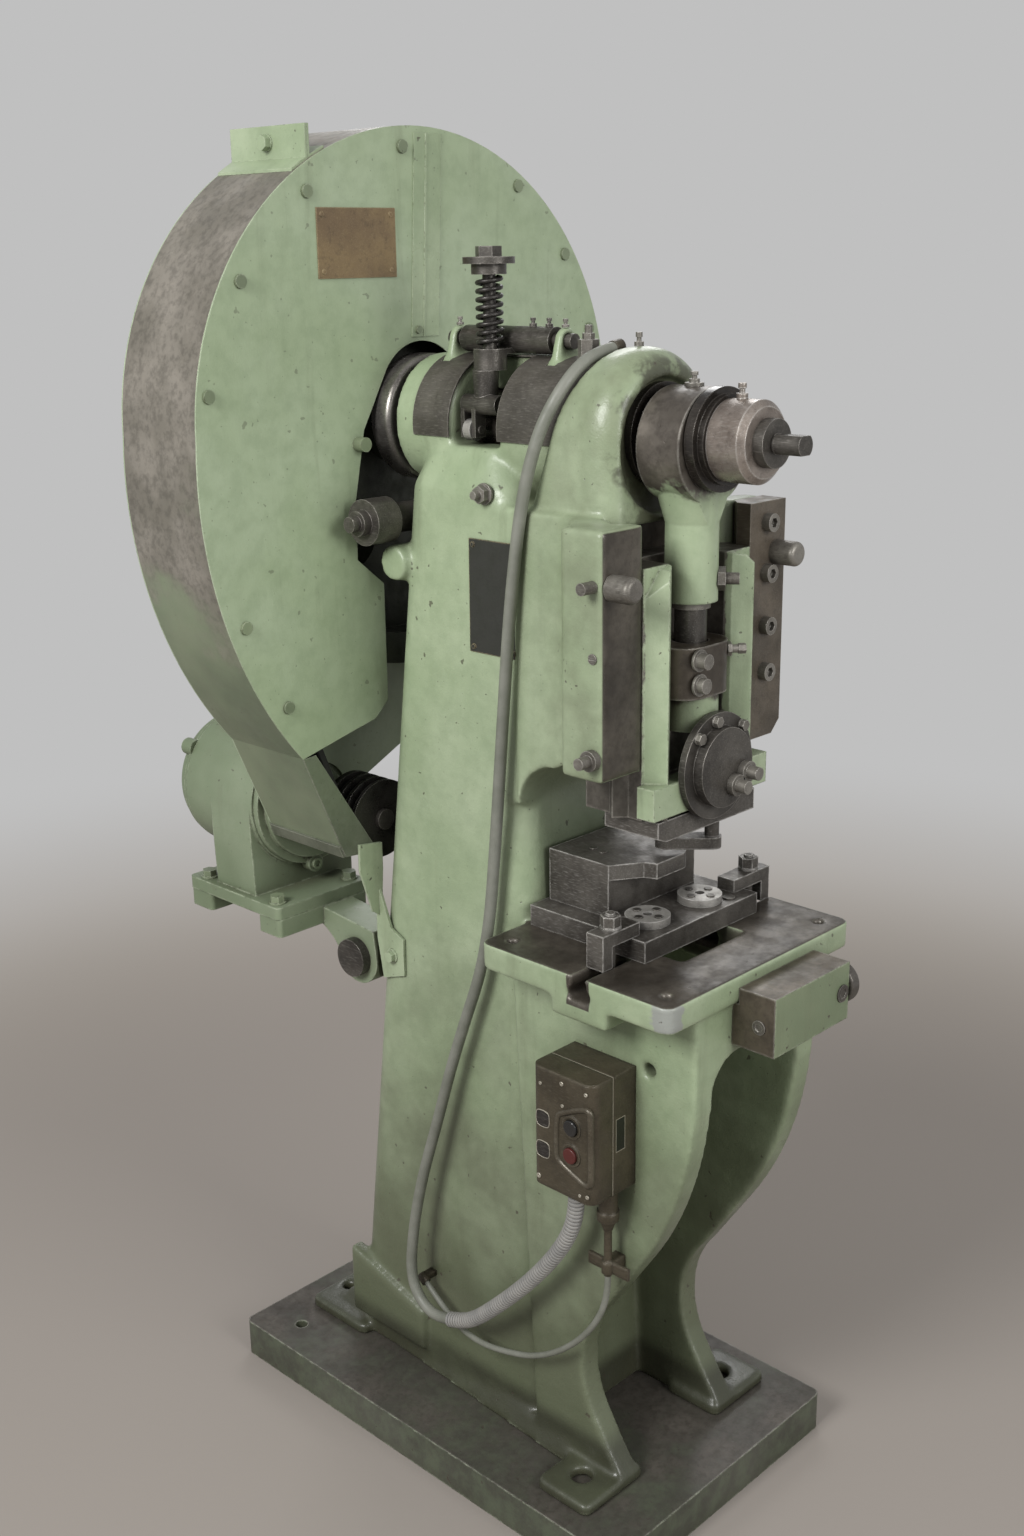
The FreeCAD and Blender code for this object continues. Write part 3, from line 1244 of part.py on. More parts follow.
def clutch_spring():
    """One round wire wound in open curls, its two ends straight for the last stretch."""
    edges = []
    for step in range(4 * SPRING_CURLS):
        edges.append(arc_through([spring_place(step), spring_place(step + 0.5), spring_place(step + 1)]))
    first = edges[0]
    last = edges[-1]
    start = first.valueAt(first.FirstParameter)
    end = last.valueAt(last.LastParameter)
    heading = first.tangentAt(first.FirstParameter)
    leaving = last.tangentAt(last.LastParameter)
    tail = 2 * SPRING_WIRE_R
    edges.insert(0, Part.LineSegment(start - heading * tail, start).toShape())
    edges.append(Part.LineSegment(end, end + leaving * tail).toShape())
    section = Part.Wire([Part.Circle(start - heading * tail, heading, SPRING_WIRE_R).toShape()])
    shell = Part.BRepOffsetAPI.MakePipeShell(Part.Wire(edges))
    shell.add(section)
    shell.build()
    shell.makeSolid()
    print("least gap between curls", round(spring_gap(), 2))
    return shell.shape()


def seated(shape, seat_x, seat_z, seat_r):
    """The shape with its foot cut to a round seat along Y."""
    return shape.cut(rod(V(seat_x, HEAD_FRONT, seat_z), Y_AXIS, seat_r, HOUSING_BACK - HEAD_FRONT))


def oil_fittings():
    """The grease cup on the housing, the oil nipples of head and ears, and the housing's side stud."""
    cup_z = SHAFT_Z + math.sqrt(SADDLE_OUT_R ** 2 - GREASE_CUP_X ** 2)
    seat = V(GREASE_CUP_X, GREASE_CUP_Y, cup_z)
    cup = fused([
        hex_prism(seat - Z_AXIS * GREASE_CUP_SINK, Z_AXIS, GREASE_CUP_FLATS,
                  GREASE_CUP_HEIGHT + GREASE_CUP_SINK),
        hex_prism(seat + Z_AXIS * GREASE_CUP_HEIGHT, Z_AXIS, 13.0, 7.0),
        rod(seat + Z_AXIS * (GREASE_CUP_HEIGHT + 7), Z_AXIS, 4.5, 9.0),
    ])
    head_nipple = nipple(V(NIPPLE_HEAD_X, NIPPLE_HEAD_Y, SHAFT_Z + HEAD_R - 0.5), Z_AXIS, 5.5, 16.0)
    places = [seated(cup, 0, SHAFT_Z, SADDLE_OUT_R), seated(head_nipple, 0, SHAFT_Z, HEAD_R)]
    for y in (EAR_BACK_Y, EAR_FRONT_Y):
        ear_nipple = nipple(V(TRIP_X, y, TRIP_Z + EAR_R - 0.6), Z_AXIS, 4.5, 10.0)
        places.append(seated(ear_nipple, TRIP_X, TRIP_Z, EAR_R))
    stud_seat = V(-SIDE_STUD_X, SIDE_STUD_Y, SIDE_STUD_Z)
    stud = hex_bolt(stud_seat, -X_AXIS, 19.0, 9.0, 13.0, 3.0)
    places.append(stud.fuse(rod(stud_seat - X_AXIS * 12.0, -X_AXIS, 5.0, 9.0)))
    return compound(places)


def saddle_cover():
    """The thin cover over the housing's top, cut out for the lever's window and the two ears."""
    reach = 2 * HOUSING_R
    cover = ring(V(0, HEAD_FRONT, SHAFT_Z), Y_AXIS, SADDLE_OUT_R, HOUSING_R + SADDLE_GAP,
                 SADDLE_BACK - HEAD_FRONT)
    cover = cover.cut(box(-reach, reach, HEAD_FRONT, SADDLE_BACK, SHAFT_Z - reach, SADDLE_LOW_Z))
    cover = behind_head(cover, 1.0)
    cover = cover.cut(clutch_window())
    for y in (EAR_BACK_Y, EAR_FRONT_Y):
        half = EAR_THICK / 2 + SEAT_GAP
        cover = cover.cut(box(TRIP_X - EAR_FOOT_HALF - SEAT_GAP, TRIP_X + EAR_FOOT_HALF + SEAT_GAP,
                              y - half, y + half, SHAFT_Z, TRIP_Z))
    return cover


# ----------------------------------------------------------------- main shaft
def shaft_rod(front, back, radius):
    return rod(V(0, front, SHAFT_Z), Y_AXIS, radius, back - front)


def shaft_ring(front, back, outer, inner):
    return ring(V(0, front, SHAFT_Z), Y_AXIS, outer, inner, back - front)


def crankshaft():
    journal = shaft_rod(CHEEK_BACK, HOUSING_BACK + JOURNAL_OVER, JOURNAL_R)
    seat = shaft_rod(HOUSING_BACK, SHAFT_BACK, WHEEL_SEAT_R)
    eccentric = rod(V(0, ROD_FRONT - ECCENTRIC_OVER, ROD_Z), Y_AXIS, ECCENTRIC_R,
                    CHEEK_FRONT - ROD_FRONT + ECCENTRIC_OVER)
    core = shaft_rod(HUB_FRONT, ROD_FRONT, COLLAR_CORE_R)
    step = shaft_rod(STEP_FRONT, HUB_FRONT, STEP_R)
    neck_part = shaft_rod(STUB_BACK, STEP_FRONT, STUB_NECK_R)
    stub = shaft_rod(STUB_FRONT, STUB_BACK, STUB_R)
    flats = box(-STUB_R, STUB_R, STUB_FRONT, STUB_BACK, SHAFT_Z - STUB_FLAT, SHAFT_Z + STUB_FLAT)
    cheek_core = shaft_rod(CHEEK_FRONT, CHEEK_BACK, JOURNAL_R)
    return fused([journal, seat, cheek_core, eccentric, core, step, neck_part, stub.common(flats)])


def clutch_sleeve():
    """The driven clutch sleeve on the shaft, with the key slot that the roller trips."""
    sleeve = shaft_ring(CLUTCH_SLEEVE_FRONT, CLUTCH_SLEEVE_BACK, CLUTCH_SLEEVE_R, JOURNAL_R + BUSH_GAP)
    slot = box(CLUTCH_SLEEVE_R - KEY_SLOT_DEPTH, CLUTCH_SLEEVE_R + CUT_OVER,
               ROLLER_Y - ROLLER_WIDTH, ROLLER_Y + ROLLER_WIDTH,
               SHAFT_Z - KEY_SLOT_HALF, SHAFT_Z + KEY_SLOT_HALF)
    return sleeve.cut(slot)


def shaft_bushes():
    outer = HOUSING_BORE_R - BUSH_GAP
    inner = JOURNAL_R + RUNNING_GAP
    floor = HEAD_FRONT + RECESS_DEPTH
    return compound([
        shaft_ring(floor, floor + FRONT_BUSH_LENGTH, outer, inner),
        shaft_ring(HOUSING_BACK - REAR_BUSH_LENGTH, HOUSING_BACK, outer, inner),
    ])


def shaft_collars():
    """The cheek disc behind the rod, the greasy collar and the spacer in front of it."""
    return compound([
        shaft_ring(CHEEK_FRONT, CHEEK_BACK, CHEEK_R, JOURNAL_R + BUSH_GAP),
        shaft_ring(SPACER_BACK, GREASE_COLLAR_BACK, GREASE_COLLAR_R, COLLAR_CORE_R + BUSH_GAP),
        shaft_ring(HUB_BACK, SPACER_BACK, SPACER_R, COLLAR_CORE_R + BUSH_GAP),
    ])


def front_hub():
    """The brown turned hub in front, chamfered at its outer end, with an oil nipple on top."""
    body = shaft_ring(HUB_FRONT, HUB_BACK, HUB_R, COLLAR_CORE_R + BUSH_GAP)
    rim = [e for e in body.Edges if e.BoundBox.YMax < HUB_FRONT + 0.1 and e.BoundBox.XLength > 2 * HUB_R - 1]
    body = body.makeChamfer(HUB_CHAMFER, rim)
    return fused([body, nipple(V(0, HUB_BACK - 14, SHAFT_Z + HUB_R - 0.3), Z_AXIS, 6.5, 17.0)])


# ------------------------------------------------------------- connecting rod
def connecting_rod():
    eye = rod(V(0, ROD_FRONT, ROD_Z), Y_AXIS, ROD_R, ROD_BACK - ROD_FRONT)
    shank = rod(V(0, SHANK_Y, SHANK_BOTTOM_Z), Z_AXIS, SHANK_R, ROD_Z - SHANK_BOTTOM_Z)
    root = Part.makeCone(SHANK_R, SHANK_R + 12, 40.0, V(0, SHANK_Y, ROD_Z - ROD_R - 22), Z_AXIS)
    root = root.common(box(-ROD_R, ROD_R, ROD_FRONT, ROD_BACK, SHANK_BOTTOM_Z, ROD_Z))
    body = fused([eye, shank, root])
    body = body.cut(rod(V(0, ROD_FRONT - 2, ROD_Z), Y_AXIS, ROD_BORE_R, ROD_BACK - ROD_FRONT + 4))
    bore = rod(V(0, SHANK_Y, SHANK_BOTTOM_Z), Z_AXIS, SPINDLE_R + BUSH_GAP, SPINDLE_TOP_Z - SHANK_BOTTOM_Z)
    return body.cut(bore)


def big_end_bush():
    return ring(V(0, ROD_FRONT, ROD_Z), Y_AXIS, ROD_BORE_R - BUSH_GAP, BIG_END_BUSH_R, ROD_BACK - ROD_FRONT)


def rod_fittings():
    """The nipple on the big end, the clamping stud low on the shank and the collar under it."""
    seat = V(0, SHANK_Y, ROD_Z + ROD_R - ROD_DISC_SINK)
    disc = rod(seat, Z_AXIS, ROD_DISC_R, ROD_DISC_THICK)
    top = disc.fuse(nipple(seat + Z_AXIS * ROD_DISC_THICK, Z_AXIS, ROD_NIPPLE_R, ROD_NIPPLE_HEIGHT))
    top = top.cut(rod(V(0, ROD_FRONT, ROD_Z), Y_AXIS, ROD_R, ROD_BACK - ROD_FRONT))
    aim = V(LOCK_AIM_X, LOCK_AIM_Y, 0)
    nut_seat = V(0, SHANK_Y, LOCK_Z) + aim * (SHANK_R - LOCK_NUT_SINK)
    nut = hex_prism(nut_seat, aim, LOCK_NUT_FLATS, LOCK_NUT_THICK)
    nut = nut.fuse(rod(nut_seat + aim * LOCK_NUT_THICK, aim, LOCK_STUD_R, LOCK_STUD_LENGTH))
    nut = nut.cut(rod(V(0, SHANK_Y, LOCK_Z - LOCK_REACH), Z_AXIS, SHANK_R + BUSH_GAP, 2 * LOCK_REACH))
    collar = ring(V(0, SHANK_Y, SHANK_BOTTOM_Z - COLLAR_HEIGHT), Z_AXIS, COLLAR_R, SPINDLE_R + BUSH_GAP,
                  COLLAR_HEIGHT)
    return compound([top, nut, collar])


def ball_spindle():
    """The threaded spindle with its ball; it sets the length of the rod."""
    stem = rod(V(0, SHANK_Y, BALL_Z), Z_AXIS, SPINDLE_R, SPINDLE_TOP_Z - SPINDLE_END_ROOM - BALL_Z)
    ball = Part.makeSphere(BALL_R, V(0, SHANK_Y, BALL_Z))
    return stem.fuse(ball)


# ----------------------------------------------------------------------- slide
def slide():
    """The ram: its guide body with V-ribs, two wings, a foot flange and the pocket for the rod."""
    half = GIB_IN - GUIDE_GAP
    tip = GIB_IN + WAY_V_DEPTH - GUIDE_GAP * math.sqrt(2)
    rise = tip - half
    back = NECK_FRONT - GUIDE_GAP
    right = [
        (half, back),
        (half, WAY_V_Y + rise),
        (tip, WAY_V_Y),
        (half, WAY_V_Y - rise),
        (half, GIB_FRONT),
        (WING_OUT, GIB_FRONT),
        (WING_RIDGE, WING_FRONT),
        (WING_IN, GIB_FRONT - WING_ROOT_FRONT),
        (WING_IN - WING_ROOT_IN, GIB_FRONT + WING_ROOT_BACK),
    ]
    left = [(-x, y) for x, y in reversed(right)]
    body = flat_plate(right + left, SLIDE_BOTTOM_Z, SLIDE_TOP_Z)
    foot_back = GIB_FRONT - GUIDE_GAP
    foot = box(-FOOT_HALF, FOOT_HALF, FOOT_FRONT, foot_back, FOOT_BOTTOM_Z, FOOT_TOP_Z)
    root = box(-half, half, foot_back, GIB_FRONT + FOOT_ROOT, FOOT_BOTTOM_Z, FOOT_TOP_Z)
    body = fused([body, foot, root])
    pocket = rounded_box(-POCKET_HALF, POCKET_HALF, FOOT_FRONT - POCKET_OVER, POCKET_BACK,
                         POCKET_BOTTOM_Z, SLIDE_TOP_Z + POCKET_OVER, POCKET_CORNER)
    body = body.cut(pocket)
    slope = [
        (WING_IN - SLOPE_START_IN, SLIDE_TOP_Z + CUT_OVER),
        (WING_RIDGE, SLIDE_TOP_Z + CUT_OVER),
        (WING_OUT + SLOPE_REACH, SLIDE_TOP_Z + CUT_OVER),
        (WING_OUT + SLOPE_REACH, SLIDE_TOP_Z - WING_DROP),
        (WING_OUT, SLIDE_TOP_Z - WING_DROP),
        (WING_RIDGE - SLOPE_RIDGE_IN, SLIDE_TOP_Z - SLOPE_RIDGE_DROP),
    ]
    cutter = front_plate(slope, FOOT_FRONT, GIB_FRONT)
    return body.cut(cutter).cut(mirrored(cutter))


def socket_cap():
    """The clamped cap that holds the ball in the slide."""
    body = rounded_box(SOCKET_LEFT + SOCKET_SIDE_IN, SOCKET_RIGHT, SOCKET_FRONT, POCKET_BACK - SEAT_GAP,
                       SOCKET_BOTTOM_Z, SOCKET_TOP_Z, SOCKET_ROUND)
    pedestal = rod(V(0, SHANK_Y, POCKET_BOTTOM_Z), Z_AXIS, SOCKET_NECK_R,
                   SOCKET_BOTTOM_Z - POCKET_BOTTOM_Z)
    body = body.fuse(pedestal)
    body = body.cut(Part.makeSphere(BALL_R + BUSH_GAP, V(0, SHANK_Y, BALL_Z)))
    return body.cut(rod(V(0, SHANK_Y, BALL_Z), Z_AXIS, SPINDLE_R + SPINDLE_ROOM, SOCKET_TOP_Z))


def clamp_cover():
    """The round cover that clamps the tool's shank in the slide's foot."""
    flange = rod(V(COVER_X, FOOT_FRONT, COVER_Z), -Y_AXIS, COVER_FLANGE_R, FOOT_FRONT - COVER_FLANGE_FRONT)
    disc = rod(V(COVER_X, COVER_FLANGE_FRONT, COVER_Z), -Y_AXIS, COVER_R, COVER_FLANGE_FRONT - COVER_FRONT)
    return flange.fuse(disc)


def slide_screws():
    """The screws of the socket cap, its jack bolt, and the screws and studs of the clamp cover."""
    screws = []
    for (x, z), height in zip(CAP_SCREW_PLACES, CAP_SCREW_HEIGHTS):
        washer = rod(V(x, SOCKET_FRONT, z), -Y_AXIS, CAP_WASHER_R, CAP_WASHER_THICK)
        head_seat = V(x, SOCKET_FRONT - CAP_WASHER_THICK, z)
        screws.append(washer.fuse(rod(head_seat, -Y_AXIS, CAP_SCREW_R, height)))
    aim = V(JACK_AIM_X, JACK_AIM_Y, 0)
    seat = V(SOCKET_RIGHT - JACK_SEAT_IN, SOCKET_FRONT + JACK_SEAT_IN, JACK_Z)
    jack = fused([
        hex_prism(seat, aim, JACK_NUT_FLATS, JACK_NUT_THICK),
        rod(seat + aim * JACK_NUT_THICK, aim, JACK_STEM_R, JACK_STEM_LENGTH),
        hex_prism(seat + aim * (JACK_NUT_THICK + JACK_STEM_LENGTH), aim, JACK_HEAD_FLATS, JACK_HEAD_HEIGHT),
    ])
    screws.append(jack.cut(socket_cap()))
    for x, z in COVER_SCREW_PLACES:
        screws.append(hex_bolt(V(x, COVER_FLANGE_FRONT, z), -Y_AXIS, COVER_SCREW_FLATS, COVER_SCREW_HEIGHT,
                               COVER_WASHER_R, COVER_WASHER_THICK))
    for x, z in CLAMP_STUD_PLACES:
        nut = rod(V(x, COVER_FRONT, z), -Y_AXIS, CLAMP_NUT_R, CLAMP_NUT_THICK)
        stud = rod(V(x, COVER_FRONT - CLAMP_NUT_THICK, z), -Y_AXIS, CLAMP_STUD_R, CLAMP_STUD_LENGTH)
        screws.append(nut.fuse(stud))
    return compound(screws)


# ---------------------------------------------------------- tools in the press
def upper_tool():
    """The upper tool plate under the slide, with the punch arm on its two pins."""
    top = SLIDE_BOTTOM_Z
    bottom = top - UPPER_THICK
    plate = box(-UPPER_HALF, UPPER_HALF, UPPER_FRONT, UPPER_BACK, bottom, top)
    corner = [
        (-UPPER_HALF, bottom),
        (-UPPER_HALF + UPPER_CHAMFER, bottom),
        (-UPPER_HALF, bottom + UPPER_CHAMFER_RISE),
    ]
    plate = plate.cut(front_plate(corner, UPPER_FRONT, UPPER_BACK))
    link = [
        (0, -PUNCH_ARM_R),
        (PUNCH_ARM_LENGTH, -PUNCH_ARM_R),
        (PUNCH_ARM_LENGTH + PUNCH_ARM_R, 0, "arc"),
        (PUNCH_ARM_LENGTH, PUNCH_ARM_R),
        (0, PUNCH_ARM_R),
        (-PUNCH_ARM_R, 0, "arc"),
    ]
    arm = flat_plate(link, 0, PUNCH_ARM_THICK)
    low = PUNCH_ARM_Z - PUNCH_ARM_THICK / 2
    pins = [rod(V(x, 0, PUNCH_ARM_THICK), Z_AXIS, PUNCH_PIN_R, bottom - low - PUNCH_ARM_THICK)
            for x in (0, PUNCH_ARM_LENGTH)]
    hanging = fused([arm] + pins)
    turn = FreeCAD.Rotation(Z_AXIS, PUNCH_ARM_TURN)
    hanging.Placement = FreeCAD.Placement(V(PUNCH_ARM_X, PUNCH_ARM_Y, low), turn)
    return plate.fuse(hanging)


def die_base():
    return box(DIE_BASE_LEFT, DIE_BASE_RIGHT, DIE_BASE_FRONT, DIE_BASE_BACK,
               TABLE_TOP_Z, TABLE_TOP_Z + DIE_BASE_THICK)


def die_block():
    """The die block with its rounded nose over the base."""
    bottom = TABLE_TOP_Z + DIE_BASE_THICK
    block = box(DIE_LEFT, DIE_RIGHT, DIE_FRONT, DIE_BACK, bottom, DIE_TOP_Z)
    nose = [
        (DIE_LEFT, DIE_FRONT + 1),
        (DIE_LEFT, DIE_FRONT),
        (NOSE_LEFT, NOSE_FRONT + 16),
        (NOSE_LEFT + 6, NOSE_FRONT),
        (NOSE_RIGHT - 18, NOSE_FRONT),
        (NOSE_RIGHT - 6, NOSE_FRONT + 6, "arc"),
        (NOSE_RIGHT, NOSE_FRONT + 18),
        (NOSE_RIGHT, DIE_FRONT + 1),
    ]
    return block.fuse(flat_plate(nose, DIE_TOP_Z - NOSE_THICK, DIE_TOP_Z)).removeSplitter()


def guide_flanges():
    bottom = TABLE_TOP_Z + DIE_BASE_THICK
    rings = [ring(V(x, y, bottom), Z_AXIS, FLANGE_R, 6.0, FLANGE_THICK) for x, y in FLANGE_PLACES]
    return compound(rings)


def table_screws():
    """Cap screws of the guide flanges, the die block, the die base and the front block."""
    bottom = TABLE_TOP_Z + DIE_BASE_THICK
    screws = []
    for x, y in FLANGE_PLACES:
        for k in range(FLANGE_SCREW_COUNT):
            angle = 2 * math.pi / FLANGE_SCREW_COUNT * k
            seat = V(x + FLANGE_SCREW_PLACE_R * math.cos(angle), y + FLANGE_SCREW_PLACE_R * math.sin(angle),
                     bottom + FLANGE_THICK)
            screws.append(rod(seat, Z_AXIS, FLANGE_SCREW_R, FLANGE_SCREW_HEIGHT))
    for x, y in DIE_SCREW_PLACES:
        screws.append(rod(V(x, y, DIE_TOP_Z), Z_AXIS, DIE_SCREW_R, DIE_SCREW_HEIGHT))
    screws.append(rod(V(BASE_SCREW_X, BASE_SCREW_Y, bottom), Z_AXIS, BASE_SCREW_R, BASE_SCREW_HEIGHT))
    side_seat = V(BLOCK_LEFT, BLOCK_FRONT + SIDE_SCREW_SETBACK, SIDE_SCREW_Z)
    screws.append(socket_screw(side_seat, -X_AXIS, SIDE_SCREW_R, SIDE_SCREW_HEIGHT))
    front_seat = V(BLOCK_RIGHT - FRONT_SCREW_IN, BLOCK_FRONT, FRONT_SCREW_Z)
    screws.append(socket_screw(front_seat, -Y_AXIS, FRONT_SCREW_R, FRONT_SCREW_HEIGHT))
    low_seat = V(BLOCK_LEFT + LOW_SCREW_IN, BLOCK_FRONT + LOW_SCREW_SETBACK, BLOCK_BOTTOM_Z)
    screws.append(rod(low_seat, -Z_AXIS, LOW_SCREW_R, LOW_SCREW_HEIGHT))
    return compound(screws)


def clamp(x_block, x_toe):
    """A stepped clamp that stands on the table and holds the die base down with its toe."""
    toe_bottom = TABLE_TOP_Z + DIE_BASE_THICK
    low = min(x_block, x_toe)
    high = max(x_block, x_toe)
    toe = box(low, high, SLOT_Y - CLAMP_HALF, SLOT_Y + CLAMP_HALF, toe_bottom, toe_bottom + CLAMP_TOE)
    heel_length = CLAMP_HALF * CLAMP_HEEL_SHARE
    heel_end = x_block + (heel_length if x_toe > x_block else -heel_length)
    heel = box(min(x_block, heel_end), max(x_block, heel_end), SLOT_Y - CLAMP_HALF, SLOT_Y + CLAMP_HALF,
               TABLE_TOP_Z, toe_bottom)
    return fused([toe, heel])


def die_clamps():
    left = clamp(CLAMP_BLOCK_X, DIE_BASE_LEFT + CLAMP_LEFT_BITE)
    left = left.cut(rod(V(CLAMP_X, SLOT_Y, TABLE_TOP_Z), Z_AXIS, CLAMP_HOLE_R, CLAMP_HOLE_REACH))
    right = clamp(RIGHT_CLAMP_END, DIE_BASE_RIGHT - CLAMP_RIGHT_BITE)
    right = right.cut(rod(V(RIGHT_CLAMP_X, SLOT_Y, TABLE_TOP_Z), Z_AXIS, CLAMP_HOLE_R, CLAMP_HOLE_REACH))
    return compound([left, right])


def clamp_bolts():
    """Bolts that stand in the T-slot, with their nuts and washers on the clamps."""
    top = TABLE_TOP_Z + DIE_BASE_THICK + CLAMP_TOE
    foot_bottom = TABLE_TOP_Z - SLOT_NECK_DEPTH - SLOT_FOOT_DEPTH + SLOT_FOOT_ROOM
    bolts = []
    for x in (CLAMP_X, RIGHT_CLAMP_X):
        stem = rod(V(x, SLOT_Y, foot_bottom), Z_AXIS, CLAMP_STEM_R, top + CLAMP_STEM_OVER - foot_bottom)
        foot = box(x - CLAMP_FOOT_HALF, x + CLAMP_FOOT_HALF, SLOT_Y - CLAMP_FOOT_HALF, SLOT_Y + CLAMP_FOOT_HALF,
                   foot_bottom, foot_bottom + SLOT_FOOT_DEPTH - 2 * SLOT_FOOT_ROOM)
        nut = hex_bolt(V(x, SLOT_Y, top), Z_AXIS, BOLT_FLATS, CLAMP_NUT_HEIGHT, CLAMP_WASHER_R,
                       CLAMP_WASHER_THICK)
        bolts.append(fused([stem, foot, nut]))
    return compound(bolts)


# ---------------------------------------------------------------- front block
def front_block():
    """The stop block bolted to the table's front, with the seat of the knob."""
    upper = box(BLOCK_LEFT, BLOCK_RIGHT, BLOCK_FRONT, TABLE_FRONT, BLOCK_BOTTOM_Z, BLOCK_TOP_Z)
    lower = box(BLOCK_LEFT, BLOCK_RIGHT, TABLE_FRONT, LEG_FRONT, BLOCK_BOTTOM_Z, TABLE_TOP_Z - TABLE_THICK)
    body = fused([upper, lower])
    return body.cut(rod(V(BLOCK_RIGHT - KNOB_BORE_DEPTH, KNOB_Y, KNOB_Z), X_AXIS,
                        KNOB_STEM_R + RUNNING_GAP, KNOB_BORE_DEPTH))


def block_knob():
    """A turned adjusting knob with its stem in the block's right end."""
    grip = rod(V(BLOCK_RIGHT + SEAT_GAP, KNOB_Y, KNOB_Z), X_AXIS, KNOB_R, KNOB_THICK)
    rims = [e for e in grip.Edges if abs(e.BoundBox.XLength) < 0.1]
    grip = grip.makeFillet(KNOB_ROUND, rims)
    stem = rod(V(BLOCK_RIGHT - KNOB_STEM_LENGTH, KNOB_Y, KNOB_Z), X_AXIS, KNOB_STEM_R,
               KNOB_STEM_LENGTH + SEAT_GAP + KNOB_STEM_SINK)
    flat_side = box(BLOCK_RIGHT, BLOCK_RIGHT + KNOB_REACH, KNOB_Y + KNOB_R - KNOB_FLAT, KNOB_Y + KNOB_REACH,
                    KNOB_Z - KNOB_REACH, KNOB_Z + KNOB_REACH)
    return grip.fuse(stem).cut(flat_side)


# ------------------------------------------------------------- flywheel, belts
def belt_places():
    return [BELT_FIRST_Y + BELT_PITCH * k for k in range(BELT_COUNT)]


def groove_tool(outer_r, y, centre_x, centre_z):
    """A ring of V-section that cuts one belt groove."""
    depth = BELT_HEIGHT + GROOVE_GAP
    section = [
        (outer_r - depth, y - BELT_BOTTOM_HALF - GROOVE_GAP),
        (outer_r - depth, y + BELT_BOTTOM_HALF + GROOVE_GAP),
        (outer_r + 0.5, y + BELT_TOP_HALF + GROOVE_GAP + 0.15),
        (outer_r + 0.5, y - BELT_TOP_HALF - GROOVE_GAP - 0.15),
    ]
    face = outline_face(section, lambda r, v: V(centre_x + r, v, centre_z))
    return face.revolve(V(centre_x, 0, centre_z), Y_AXIS, 360)


def flywheel():
    """The flywheel: a grooved rim, a web with round holes and a hub that runs on the shaft."""
    rim = shaft_ring(WHEEL_FRONT, WHEEL_BACK, WHEEL_R, WHEEL_RIM_IN)
    web = shaft_rod(WHEEL_WEB_FRONT, WHEEL_WEB_BACK, WHEEL_RIM_IN + 1)
    hub = shaft_rod(WHEEL_FRONT, WHEEL_BACK, WHEEL_HUB_R)
    body = fused([rim, web, hub])
    body = body.cut(shaft_rod(WHEEL_FRONT, WHEEL_BACK, WHEEL_SEAT_R + RUNNING_GAP))
    for k in range(WEB_HOLES):
        angle = 2 * math.pi / WEB_HOLES * k
        centre = V(WEB_HOLE_PLACE_R * math.cos(angle), WHEEL_WEB_FRONT,
                   SHAFT_Z + WEB_HOLE_PLACE_R * math.sin(angle))
        body = body.cut(rod(centre, Y_AXIS, WEB_HOLE_R, WHEEL_WEB_BACK - WHEEL_WEB_FRONT))
    for y in belt_places():
        body = body.cut(groove_tool(WHEEL_R, y, 0, SHAFT_Z))
    return body


def hub_ring():
    """The rounded clutch ring on the flywheel's hub, seen round the housing's end."""
    body = shaft_ring(HUB_RING_FRONT, WHEEL_FRONT, HUB_RING_R, HUB_RING_IN)
    rim = [e for e in body.Edges if e.BoundBox.YMax < HUB_RING_FRONT + 0.1]
    return body.makeFillet(8.0, rim)


def belt_line(y, inset):
    """The closed line of a belt round flywheel and pulley; inset runs inwards from the rims."""
    wheel_r = WHEEL_R - inset
    pulley_r = PULLEY_R - inset
    away = math.hypot(MOTOR_X, MOTOR_Z - SHAFT_Z)
    along = ((MOTOR_X) / away, (MOTOR_Z - SHAFT_Z) / away)
    lean = (wheel_r - pulley_r) / away
    across = math.sqrt(1 - lean * lean)
    left = (lean * along[0] + across * along[1], lean * along[1] - across * along[0])
    right = (lean * along[0] - across * along[1], lean * along[1] + across * along[0])
    wheel_left = V(wheel_r * left[0], y, SHAFT_Z + wheel_r * left[1])
    wheel_right = V(wheel_r * right[0], y, SHAFT_Z + wheel_r * right[1])
    wheel_far = V(-wheel_r * along[0], y, SHAFT_Z - wheel_r * along[1])
    pulley_left = V(MOTOR_X + pulley_r * left[0], y, MOTOR_Z + pulley_r * left[1])
    pulley_right = V(MOTOR_X + pulley_r * right[0], y, MOTOR_Z + pulley_r * right[1])
    pulley_far = V(MOTOR_X + pulley_r * along[0], y, MOTOR_Z + pulley_r * along[1])
    return Part.Wire([
        Part.Arc(wheel_left, wheel_far, wheel_right).toShape(),
        Part.LineSegment(wheel_right, pulley_right).toShape(),
        Part.Arc(pulley_right, pulley_far, pulley_left).toShape(),
        Part.LineSegment(pulley_left, wheel_left).toShape(),
    ])


